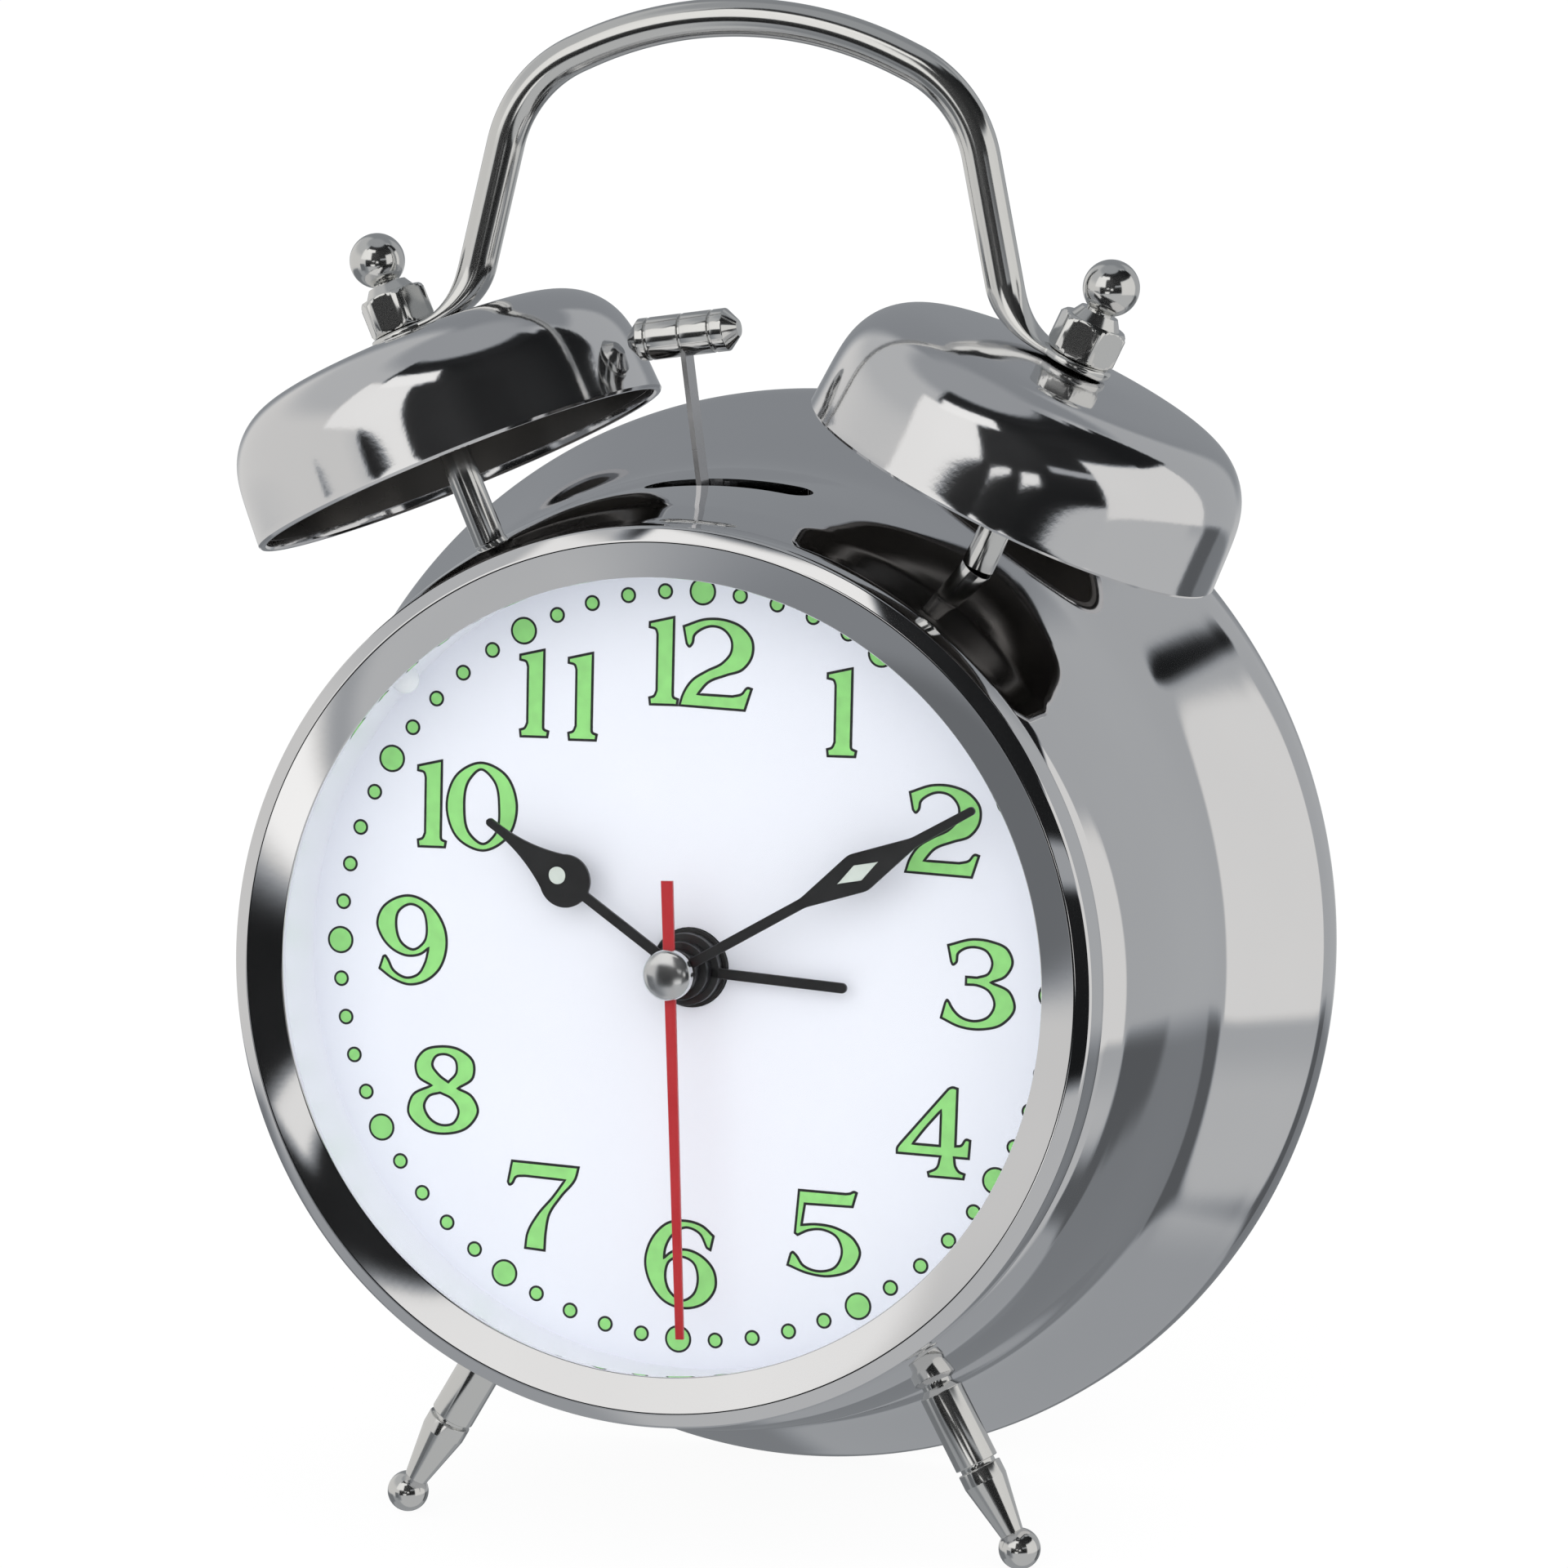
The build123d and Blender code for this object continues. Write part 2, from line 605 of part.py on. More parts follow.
with BuildPart() as inner_frame:
    add_shaft(CENTRE, FRAME_RADIUS, FRAME_FRONT - FRAME_LIP, FRAME_BACK)
    add_shaft(CENTRE, NECK_INNER, FRAME_FRONT - FRAME_LIP, FRAME_FRONT, mode=Mode.SUBTRACT)
    add_shaft(CENTRE, BUSH_RADIUS + SEAT_GAP, FRAME_FRONT, FRAME_BACK, mode=Mode.SUBTRACT)
    for pillar in PILLARS:
        add_shaft(pillar, PILLAR_RADIUS, FRAME_BACK, COVER_FRONT)
        add_shaft(pillar, SCREW_RADIUS, COVER_FRONT - SCREW_GRIP, COVER_FRONT, mode=Mode.SUBTRACT)
    for screw in STRIKER_SCREWS:
        add_shaft(screw, SCREW_HEAD_RADIUS, FRAME_BACK, STRIKER_FRONT)
        add_shaft(screw, SCREW_RADIUS, FRAME_BACK, STRIKER_FRONT, mode=Mode.SUBTRACT)
    for screw in BOX_SCREWS:
        add_shaft(screw, SCREW_RADIUS, PIVOT_FRONT, FRAME_BACK, mode=Mode.SUBTRACT)
    add_shaft(PIVOT_AT, PIVOT_RADIUS, PIVOT_FRONT, FRAME_BACK, mode=Mode.SUBTRACT)
    with Locations(Location((0, 0, 0), (0, LAMP_ANGLE, 0))):
        add_block(*lead_channel_corners(FRAME_FRONT - FRAME_LIP, FRAME_BACK), mode=Mode.SUBTRACT)

# Movement box: front shell with the centre bush, a middle plate and a rear shell

with BuildPart() as movement_front:
    add_block((-BOX_HALF_WIDTH, FRAME_BACK, BOX_BOTTOM), (BOX_HALF_WIDTH, MIDDLE_FRONT, BOX_TOP))
    add_block((-BOX_HALF_WIDTH + BOX_WALL, BOX_INSIDE, BOX_BOTTOM + BOX_WALL),
              (BOX_HALF_WIDTH - BOX_WALL, MIDDLE_FRONT, BOX_TOP - BOX_WALL), mode=Mode.SUBTRACT)
    for x, z in BOX_SCREWS:
        add_block((x - BOX_CORNER / 2, BOX_INSIDE, z - BOX_CORNER / 2),
                  (x + BOX_CORNER / 2, MIDDLE_FRONT, z + BOX_CORNER / 2))
        add_shaft((x, z), SCREW_RADIUS, FRAME_BACK, MIDDLE_FRONT, mode=Mode.SUBTRACT)
    add_shaft(CENTRE, BUSH_RADIUS, -BUSH_STANDOUT, FRAME_BACK)
    add_shaft(CENTRE, BUSH_BORE, -BUSH_STANDOUT, BOX_INSIDE, mode=Mode.SUBTRACT)
    fillet(movement_front.edges().filter_by(Axis.Y).group_by(SortBy.LENGTH)[-1], BOX_WALL / 2)

MINUTE_STUD_RADIUS = 1.5 * PIVOT_ARBOR_RADIUS
MINUTE_STUD_FRONT = HOUR_WHEEL_FRONT - LEVEL_GAP / 2

with BuildPart() as middle_plate:
    add_block((-BOX_HALF_WIDTH, MIDDLE_FRONT, BOX_BOTTOM), (BOX_HALF_WIDTH, MIDDLE_BACK, BOX_TOP))
    add_shaft(MINUTE_AT, MINUTE_STUD_RADIUS, MINUTE_STUD_FRONT, MIDDLE_FRONT)
    for screw in BOX_SCREWS:
        add_shaft(screw, SCREW_RADIUS, MIDDLE_FRONT, MIDDLE_BACK, mode=Mode.SUBTRACT)
    add_shaft(CENTRE, MINUTE_BORE, MIDDLE_FRONT, MIDDLE_BACK, mode=Mode.SUBTRACT)
    for arbor in (STEP_AT, ROTOR_AT, THIRD_AT):
        add_shaft(arbor, PIVOT_ARBOR_RADIUS + RUNNING_GAP, MIDDLE_FRONT, MIDDLE_BACK, mode=Mode.SUBTRACT)
    for shaft in (TIME_SET_AT, ALARM_SET_AT):
        add_shaft(shaft, SET_SHAFT_RADIUS + RUNNING_GAP, MIDDLE_FRONT, MIDDLE_BACK, mode=Mode.SUBTRACT)

STATOR_FRONT = STEP_WHEEL_FRONT - LEVEL_GAP - STATOR_THICK
COIL_AT_X = TIME_SET_AT[0] - SET_SHAFT_RADIUS - FREE_GAP - COIL_WIDTH / 2
COIL_FRONT = STATOR_FRONT + STATOR_THICK / 2 - COIL_DEPTH / 2
COIL_TOP = ROTOR_AT[1] - STATOR_BAR / 2 - LEVEL_GAP
BOARD_FRONT = STEP_WHEEL_FRONT
BOARD_LEFT = BOX_HALF_WIDTH - BOX_WALL - LEVEL_GAP - BOARD_WIDTH
BOARD_BOTTOM = BOX_BOTTOM + BOX_CORNER + LEVEL_GAP
BOARD_HEIGHT = ALARM_SET_AT[1] - SET_SHAFT_RADIUS - LEVEL_GAP - BOARD_BOTTOM
BOARD_POSTS = [(BOARD_LEFT + BOARD_WIDTH / 8, BOARD_BOTTOM + BOARD_HEIGHT / 8),
               (BOARD_LEFT + BOARD_WIDTH * 7 / 8, BOARD_BOTTOM + BOARD_HEIGHT / 8)]
COIL_POSTS = [(COIL_AT_X, COIL_TOP - COIL_LENGTH - STATOR_LEG / 2)]

with BuildPart() as movement_rear:
    add_block((-BOX_HALF_WIDTH, MIDDLE_BACK, BOX_BOTTOM), (BOX_HALF_WIDTH, BOX_BACK, BOX_TOP))
    add_block((-BOX_HALF_WIDTH + BOX_WALL, MIDDLE_BACK, BOX_BOTTOM + BOX_WALL),
              (BOX_HALF_WIDTH - BOX_WALL, BOX_REAR_INSIDE, BOX_TOP - BOX_WALL), mode=Mode.SUBTRACT)
    for x, z in BOX_SCREWS:
        add_block((x - BOX_CORNER / 2, MIDDLE_BACK, z - BOX_CORNER / 2),
                  (x + BOX_CORNER / 2, BOX_REAR_INSIDE, z + BOX_CORNER / 2))
        add_shaft((x, z), SCREW_RADIUS, MIDDLE_BACK, BOX_BACK, mode=Mode.SUBTRACT)
    for post in BOARD_POSTS:
        add_shaft(post, SCREW_RADIUS, BOARD_FRONT + BOARD_THICK, BOX_REAR_INSIDE)
    for post in COIL_POSTS:
        add_shaft(post, SCREW_RADIUS, STATOR_FRONT + STATOR_THICK, BOX_REAR_INSIDE)
    add_shaft(CENTRE, MINUTE_BORE, BOX_REAR_INSIDE, ARBOR_END, mode=Mode.SUBTRACT)
    for arbor in (STEP_AT, ROTOR_AT, THIRD_AT):
        add_shaft(arbor, PIVOT_ARBOR_RADIUS + RUNNING_GAP, BOX_REAR_INSIDE, ARBOR_END, mode=Mode.SUBTRACT)
    for shaft in (TIME_SET_AT, ALARM_SET_AT):
        add_shaft(shaft, SET_SHAFT_RADIUS + RUNNING_GAP, BOX_REAR_INSIDE, BOX_BACK, mode=Mode.SUBTRACT)

with BuildPart() as movement_screws:
    for screw in BOX_SCREWS:
        add_shaft(screw, SCREW_RADIUS, PIVOT_FRONT, BOX_BACK)
        add_shaft(screw, SCREW_HEAD_RADIUS, BOX_BACK, BOX_BACK + SCREW_HEAD_HEIGHT)

# Step motor and circuit board

with BuildPart() as step_stator:
    with BuildSketch(front(STATOR_FRONT)):
        left = COIL_AT_X - STATOR_LEG / 2
        right = ROTOR_AT[0] + ROTOR_RADIUS + STATOR_GAP + STATOR_LEG / 2
        top = ROTOR_AT[1] + STATOR_BAR / 2
        bar = ROTOR_AT[1] - STATOR_BAR / 2
        foot = COIL_TOP - COIL_LENGTH - STATOR_LEG
        Polygon((left, top), (left, foot), (left + STATOR_LEG, foot), (left + STATOR_LEG, bar),
                (right, bar), (right, top), align=None)
        with Locations(ROTOR_AT):
            Circle(ROTOR_RADIUS + STATOR_GAP, mode=Mode.SUBTRACT)
    extrude(amount=-STATOR_THICK)

with BuildPart() as step_coil:
    add_block((COIL_AT_X - COIL_WIDTH / 2, COIL_FRONT, COIL_TOP - COIL_LENGTH),
              (COIL_AT_X + COIL_WIDTH / 2, COIL_FRONT + COIL_DEPTH, COIL_TOP))
    fillet(step_coil.edges().filter_by(Axis.Z), COIL_DEPTH / 4)
    add_block((COIL_AT_X - STATOR_LEG / 2, STATOR_FRONT, COIL_TOP - COIL_LENGTH),
              (COIL_AT_X + STATOR_LEG / 2, STATOR_FRONT + STATOR_THICK, COIL_TOP), mode=Mode.SUBTRACT)

with BuildPart() as circuit_board:
    add_block((BOARD_LEFT, BOARD_FRONT, BOARD_BOTTOM),
              (BOARD_LEFT + BOARD_WIDTH, BOARD_FRONT + BOARD_THICK, BOARD_BOTTOM + BOARD_HEIGHT))

with BuildPart() as quartz_crystal:
    crystal_x = BOARD_LEFT + BOARD_WIDTH * 3 / 4
    with Locations((crystal_x, BOARD_FRONT - CRYSTAL_RADIUS, BOARD_BOTTOM + BOARD_HEIGHT / 2)):
        Cylinder(CRYSTAL_RADIUS, CRYSTAL_LENGTH)
    fillet(quartz_crystal.edges().filter_by(GeomType.CIRCLE), CRYSTAL_RADIUS / 4)

# Going train, from the step rotor to the centre wheel

STEP_PHASE = direction(STEP_AT, ROTOR_AT)
ROTOR_PHASE = meshing_phase(STEP_AT, STEP_PHASE, STEP_TEETH, ROTOR_AT, ROTOR_TEETH)
STEP_PINION_PHASE = direction(STEP_AT, CENTRE)
SECONDS_PHASE = meshing_phase(STEP_AT, STEP_PINION_PHASE, STEP_PINION, CENTRE, SECONDS_TEETH)
SECONDS_PINION_PHASE = direction(CENTRE, THIRD_AT)
THIRD_PHASE = meshing_phase(CENTRE, SECONDS_PINION_PHASE, SECONDS_PINION, THIRD_AT, THIRD_TEETH)
THIRD_PINION_PHASE = direction(THIRD_AT, CENTRE)
CENTRE_PHASE = meshing_phase(THIRD_AT, THIRD_PINION_PHASE, THIRD_PINION, CENTRE, CENTRE_TEETH)

with BuildPart() as step_rotor:
    add_shaft(ROTOR_AT, PIVOT_ARBOR_RADIUS, MIDDLE_FRONT, ARBOR_END)
    add_shaft(ROTOR_AT, ROTOR_RADIUS, SECONDS_WHEEL_FRONT, STEP_WHEEL_FRONT - LEVEL_GAP / 2)
    add_gear(ROTOR_AT, STEP_WHEEL_FRONT - PINION_OVERLAP, WHEEL_THICK + 2 * PINION_OVERLAP,
             ROTOR_TEETH, TRAIN_MODULE, ROTOR_PHASE)

with BuildPart() as step_wheel:
    add_shaft(STEP_AT, PIVOT_ARBOR_RADIUS, MIDDLE_FRONT, ARBOR_END)
    add_gear(STEP_AT, STEP_WHEEL_FRONT, WHEEL_THICK, STEP_TEETH, TRAIN_MODULE, STEP_PHASE)
    add_gear(STEP_AT, SECONDS_WHEEL_FRONT - PINION_OVERLAP, WHEEL_THICK + 2 * PINION_OVERLAP,
             STEP_PINION, TRAIN_MODULE, STEP_PINION_PHASE)

with BuildPart() as seconds_arbor:
    add_shaft(CENTRE, SECONDS_ARBOR_RADIUS, SECONDS_HAND_BACK - HAND_THICK, ARBOR_END)
    add_gear(CENTRE, SECONDS_WHEEL_FRONT, WHEEL_THICK, SECONDS_TEETH, TRAIN_MODULE, SECONDS_PHASE)
    add_gear(CENTRE, THIRD_WHEEL_FRONT - PINION_OVERLAP, WHEEL_THICK + 2 * PINION_OVERLAP,
             SECONDS_PINION, TRAIN_MODULE, SECONDS_PINION_PHASE)

with BuildPart() as third_wheel:
    add_shaft(THIRD_AT, PIVOT_ARBOR_RADIUS, CENTRE_WHEEL_FRONT - PINION_OVERLAP, ARBOR_END)
    add_gear(THIRD_AT, THIRD_WHEEL_FRONT, WHEEL_THICK, THIRD_TEETH, TRAIN_MODULE, THIRD_PHASE)
    add_gear(THIRD_AT, CENTRE_WHEEL_FRONT - PINION_OVERLAP, WHEEL_THICK + 2 * PINION_OVERLAP,
             THIRD_PINION, CENTRE_MODULE, THIRD_PINION_PHASE)

with BuildPart() as centre_wheel:
    add_gear(CENTRE, CENTRE_WHEEL_FRONT, WHEEL_THICK, CENTRE_TEETH, CENTRE_MODULE, CENTRE_PHASE)
    add_shaft(CENTRE, MINUTE_TUBE + RUNNING_GAP, CENTRE_WHEEL_FRONT, CENTRE_WHEEL_FRONT + WHEEL_THICK,
              mode=Mode.SUBTRACT)

# Motion work and setting shafts

CANNON_PHASE = direction(CENTRE, MINUTE_AT)
MINUTE_PHASE = meshing_phase(CENTRE, CANNON_PHASE, CANNON_TEETH, MINUTE_AT, MINUTE_TEETH)
MINUTE_PINION_PHASE = direction(MINUTE_AT, CENTRE)
HOUR_PHASE = meshing_phase(MINUTE_AT, MINUTE_PINION_PHASE, MINUTE_PINION, CENTRE, HOUR_TEETH)
SET_PHASE = meshing_phase(MINUTE_AT, MINUTE_PHASE, MINUTE_TEETH, TIME_SET_AT, SET_TEETH)
ALARM_PHASE = direction(CENTRE, ALARM_SET_AT)
ALARM_SET_PHASE = meshing_phase(CENTRE, ALARM_PHASE, ALARM_TEETH, ALARM_SET_AT, ALARM_SET_TEETH)
KNOB_FRONT = COVER_BACK + FREE_GAP
SHAFT_BACK = KNOB_FRONT + KNOB_HEIGHT / 2

with BuildPart() as minute_arbor:
    add_shaft(CENTRE, MINUTE_TUBE, MINUTE_HAND_BACK - HAND_THICK, CENTRE_WHEEL_FRONT + WHEEL_THICK)
    add_gear(CENTRE, CANNON_FRONT, THICK_WHEEL, CANNON_TEETH, MOTION_MODULE, CANNON_PHASE)
    add_shaft(CENTRE, MINUTE_BORE, MINUTE_HAND_BACK - HAND_THICK, CENTRE_WHEEL_FRONT + WHEEL_THICK,
              mode=Mode.SUBTRACT)

with BuildPart() as minute_wheel:
    add_gear(MINUTE_AT, CANNON_FRONT, THICK_WHEEL, MINUTE_TEETH, MOTION_MODULE, MINUTE_PHASE)
    add_gear(MINUTE_AT, HOUR_WHEEL_FRONT, CANNON_FRONT - HOUR_WHEEL_FRONT, MINUTE_PINION, HOUR_MODULE,
             MINUTE_PINION_PHASE)
    add_shaft(MINUTE_AT, MINUTE_STUD_RADIUS + RUNNING_GAP, HOUR_WHEEL_FRONT, CANNON_FRONT + THICK_WHEEL,
              mode=Mode.SUBTRACT)

with BuildPart() as hour_wheel:
    add_shaft(CENTRE, HOUR_TUBE, HOUR_HAND_BACK - HAND_THICK, HOUR_WHEEL_FRONT + THICK_WHEEL)
    add_gear(CENTRE, HOUR_WHEEL_FRONT, THICK_WHEEL, HOUR_TEETH, HOUR_MODULE, HOUR_PHASE)
    add_shaft(CENTRE, HOUR_BORE, HOUR_HAND_BACK - HAND_THICK, HOUR_WHEEL_FRONT + THICK_WHEEL,
              mode=Mode.SUBTRACT)

with BuildPart() as alarm_wheel:
    add_shaft(CENTRE, ALARM_TUBE, ALARM_HAND_BACK - HAND_THICK, ALARM_WHEEL_FRONT + THICK_WHEEL)
    add_gear(CENTRE, ALARM_WHEEL_FRONT, THICK_WHEEL, ALARM_TEETH, MOTION_MODULE, ALARM_PHASE)
    add_shaft(CENTRE, ALARM_BORE, ALARM_HAND_BACK - HAND_THICK, ALARM_WHEEL_FRONT + THICK_WHEEL,
              mode=Mode.SUBTRACT)

with BuildPart() as time_set_shaft:
    add_shaft(TIME_SET_AT, SET_SHAFT_RADIUS, CANNON_FRONT, SHAFT_BACK)
    add_gear(TIME_SET_AT, CANNON_FRONT, THICK_WHEEL, SET_TEETH, MOTION_MODULE, SET_PHASE)

with BuildPart() as alarm_set_shaft:
    add_shaft(ALARM_SET_AT, SET_SHAFT_RADIUS, ALARM_WHEEL_FRONT, SHAFT_BACK)
    add_gear(ALARM_SET_AT, ALARM_WHEEL_FRONT, THICK_WHEEL, ALARM_SET_TEETH, MOTION_MODULE, ALARM_SET_PHASE)


def knob_points():
    """Outline of a ribbed knob: one shallow rib for each share of the turn."""
    outline = []
    for step in range(2 * KNOB_RIBS):
        radius = KNOB_RADIUS - KNOB_RIB_DEPTH * (step % 2)
        outline.append(polar(radius, 180 * step / KNOB_RIBS))
    return outline


with BuildPart() as time_set_knob:
    with BuildSketch(front(KNOB_FRONT)):
        with Locations(TIME_SET_AT):
            Polygon(*knob_points(), align=None)
    extrude(amount=-KNOB_HEIGHT)
    add_shaft(TIME_SET_AT, SET_SHAFT_RADIUS, KNOB_FRONT, SHAFT_BACK, mode=Mode.SUBTRACT)

with BuildPart() as alarm_set_knob:
    with BuildSketch(front(KNOB_FRONT)):
        with Locations(ALARM_SET_AT):
            Polygon(*knob_points(), align=None)
    extrude(amount=-KNOB_HEIGHT)
    add_shaft(ALARM_SET_AT, SET_SHAFT_RADIUS, KNOB_FRONT, SHAFT_BACK, mode=Mode.SUBTRACT)

# Hands

with BuildPart() as alarm_hand:
    with BuildSketch(radial_plane(ALARM_HAND_ANGLE, ALARM_HAND_BACK)):
        Circle(ALARM_TUBE + COLLET_WALL)
        with Locations((0, ALARM_HAND_LENGTH / 2)):
            SlotCenterToCenter(ALARM_HAND_LENGTH - STEM_WIDTH, STEM_WIDTH, rotation=90)
    extrude(amount=HAND_THICK)
    add_shaft(CENTRE, ALARM_TUBE + COLLET_WALL, ALARM_HAND_BACK, ALARM_HAND_BACK + COLLET_LENGTH)
    add_shaft(CENTRE, ALARM_TUBE, ALARM_HAND_BACK - HAND_THICK, ALARM_HAND_BACK + COLLET_LENGTH,
              mode=Mode.SUBTRACT)

HOUR_SHOULDER_AT = HOUR_BODY_AT + 0.7 * HOUR_BODY_RADIUS
HOUR_WAIST_AT = HOUR_SHOULDER_AT + 0.45 * (HOUR_HAND_LENGTH - HOUR_SHOULDER_AT)

with BuildPart() as hour_hand:
    with BuildSketch(radial_plane(HOUR_HAND_ANGLE, HOUR_HAND_BACK)):
        Circle(HOUR_TUBE + COLLET_WALL)
        with Locations((0, HOUR_BODY_AT / 2)):
            Rectangle(STEM_WIDTH, HOUR_BODY_AT)
        with Locations((0, HOUR_BODY_AT)):
            Circle(HOUR_BODY_RADIUS)
        shoulder = 0.714 * HOUR_BODY_RADIUS
        Polygon((-shoulder, HOUR_SHOULDER_AT), (shoulder, HOUR_SHOULDER_AT), (TIP_WIDTH * 0.7, HOUR_WAIST_AT),
                (TIP_WIDTH / 2, HOUR_HAND_LENGTH), (-TIP_WIDTH / 2, HOUR_HAND_LENGTH),
                (-TIP_WIDTH * 0.7, HOUR_WAIST_AT), align=None)
    extrude(amount=HAND_THICK)
    add_shaft(CENTRE, HOUR_TUBE + COLLET_WALL, HOUR_HAND_BACK, HOUR_HAND_BACK + COLLET_LENGTH)
    add_shaft(CENTRE, HOUR_TUBE, HOUR_HAND_BACK - HAND_THICK, HOUR_HAND_BACK + COLLET_LENGTH,
              mode=Mode.SUBTRACT)

MINUTE_BLADE_MIDDLE = (MINUTE_BLADE_START + MINUTE_BLADE_END) / 2

with BuildPart() as minute_hand:
    with BuildSketch(radial_plane(MINUTE_HAND_ANGLE, MINUTE_HAND_BACK)):
        Circle(MINUTE_TUBE + COLLET_WALL)
        with Locations((0, MINUTE_BLADE_MIDDLE / 2)):
            Rectangle(STEM_WIDTH, MINUTE_BLADE_MIDDLE)
        Polygon((-STEM_WIDTH / 2, MINUTE_BLADE_START), (STEM_WIDTH / 2, MINUTE_BLADE_START),
                (MINUTE_BLADE_WIDTH / 2, MINUTE_BLADE_MIDDLE), (STEM_WIDTH / 2, MINUTE_BLADE_END),
                (TIP_WIDTH / 2, MINUTE_HAND_LENGTH), (-TIP_WIDTH / 2, MINUTE_HAND_LENGTH),
                (-STEM_WIDTH / 2, MINUTE_BLADE_END), (-MINUTE_BLADE_WIDTH / 2, MINUTE_BLADE_MIDDLE),
                align=None)
    extrude(amount=HAND_THICK)
    add_shaft(CENTRE, MINUTE_TUBE + COLLET_WALL, MINUTE_HAND_BACK, MINUTE_HAND_BACK + COLLET_LENGTH)
    add_shaft(CENTRE, MINUTE_TUBE, MINUTE_HAND_BACK - HAND_THICK, MINUTE_HAND_BACK + COLLET_LENGTH,
              mode=Mode.SUBTRACT)

with BuildPart() as seconds_hand:
    with BuildSketch(radial_plane(SECONDS_HAND_ANGLE, SECONDS_HAND_BACK)):
        Circle(SECONDS_ARBOR_RADIUS + COLLET_WALL)
        Polygon((-SECONDS_HAND_WIDTH / 2, -SECONDS_HAND_TAIL), (SECONDS_HAND_WIDTH / 2, -SECONDS_HAND_TAIL),
                (TIP_WIDTH / 2, SECONDS_HAND_LENGTH), (-TIP_WIDTH / 2, SECONDS_HAND_LENGTH), align=None)
    extrude(amount=HAND_THICK)
    add_shaft(CENTRE, SECONDS_ARBOR_RADIUS + COLLET_WALL, SECONDS_HAND_BACK,
              SECONDS_HAND_BACK + COLLET_LENGTH)
    add_shaft(CENTRE, SECONDS_ARBOR_RADIUS, SECONDS_HAND_BACK - HAND_THICK, SECONDS_HAND_BACK + COLLET_LENGTH,
              mode=Mode.SUBTRACT)

CAP_BACK = SECONDS_HAND_BACK - HAND_THICK

with BuildPart() as seconds_cap:
    with BuildSketch(Plane.XY):
        with BuildLine():
            Polyline((0, CAP_BACK - CAP_HEIGHT), (0, CAP_BACK), (CAP_RADIUS, CAP_BACK))
            TangentArc((0, CAP_BACK - CAP_HEIGHT), (CAP_RADIUS, CAP_BACK), tangent=(1, 0))
        make_face()
    revolve(axis=Axis.Y)

# Bells, posts, nuts and finials

BELL_CROWN_AT = BELL_MOUTH_AT + BELL_HEIGHT
EYE_TOP = BELL_CROWN_AT + EYE_THICK
STUD_TOP = EYE_TOP + FINIAL_THREAD_DEPTH - FREE_GAP
FINIAL_BALL_AT = EYE_TOP + FINIAL_HEX_HEIGHT + FINIAL_COLLAR_HEIGHT + FINIAL_BALL_RISE
CROWN_RISE = BELL_MOUTH_RADIUS * tan(radians(BELL_DOME))
CROWN_CORNER_DROP = BELL_HEIGHT - CROWN_RISE
CROWN_CORNER = (BELL_MOUTH_RADIUS - CROWN_CORNER_DROP * tan(radians(BELL_DRAFT)), BELL_CROWN_AT - CROWN_RISE)


def build_bell(angle):
    """Drawn bell: drafted skirt, round shoulder, low crown with a hole for the stud."""
    with BuildPart() as bell:
        with BuildSketch(bell_plane(angle)):
            with BuildLine():
                FilletPolyline((BELL_MOUTH_RADIUS, BELL_MOUTH_AT), CROWN_CORNER,
                               (STUD_RADIUS + SEAT_GAP, BELL_CROWN_AT), radius=BELL_SHOULDER_ROUND)
                offset(amount=BELL_WALL, side=Side.LEFT)
            make_face()
        revolve(axis=bell_axis(angle))
    return bell


def build_post(angle):
    """Bell post: a rod between case and bell, threaded at both ends."""
    crown_inside = BELL_CROWN_AT - BELL_WALL / cos(radians(BELL_DOME))
    crown_inside -= POST_RADIUS * tan(radians(BELL_DOME))
    with BuildPart() as post:
        with BuildSketch(bell_plane(angle)):
            Polygon((0, POST_INNER_END), (STUD_RADIUS, POST_INNER_END), (STUD_RADIUS, POST_BASE),
                    (POST_RADIUS, POST_BASE), (POST_RADIUS, crown_inside), (STUD_RADIUS, crown_inside),
                    (STUD_RADIUS, STUD_TOP), (0, STUD_TOP), align=None)
        revolve(axis=bell_axis(angle))
    return post


def build_finial(angle):
    """Finial: hexagon nut, collar and ball, with a blind thread below."""
    corner = hexagon_radius(FINIAL_FLATS)
    hex_top = EYE_TOP + FINIAL_HEX_HEIGHT
    collar_top = hex_top + FINIAL_COLLAR_HEIGHT
    with BuildPart() as finial:
        with BuildSketch(bell_across(angle, EYE_TOP)):
            RegularPolygon(corner, 6)
        extrude(amount=FINIAL_HEX_HEIGHT)
        bevel = corner - FINIAL_FLATS / 2
        with BuildSketch(bell_plane(angle)):
            Polygon((0, EYE_TOP), (corner - bevel, EYE_TOP), (corner, EYE_TOP + bevel),
                    (corner, hex_top - bevel), (corner - bevel, hex_top), (0, hex_top), align=None)
        revolve(axis=bell_axis(angle), mode=Mode.INTERSECT)
        with BuildSketch(bell_across(angle, hex_top)):
            Circle(FINIAL_COLLAR_RADIUS)
        extrude(amount=FINIAL_COLLAR_HEIGHT, taper=12)
        with BuildSketch(bell_across(angle, collar_top)):
            Circle(FINIAL_BALL_RADIUS / 2)
        extrude(amount=FINIAL_BALL_RISE)
        with Locations(bell_across(angle, FINIAL_BALL_AT).origin):
            Sphere(FINIAL_BALL_RADIUS)
        with BuildSketch(bell_across(angle, EYE_TOP)):
            Circle(STUD_RADIUS)
        extrude(amount=FINIAL_THREAD_DEPTH, mode=Mode.SUBTRACT)
    return finial


left_bell, right_bell = (build_bell(side * BELL_ANGLE) for side in (-1, 1))
left_post, right_post = (build_post(side * BELL_ANGLE) for side in (-1, 1))
left_finial, right_finial = (build_finial(side * BELL_ANGLE) for side in (-1, 1))

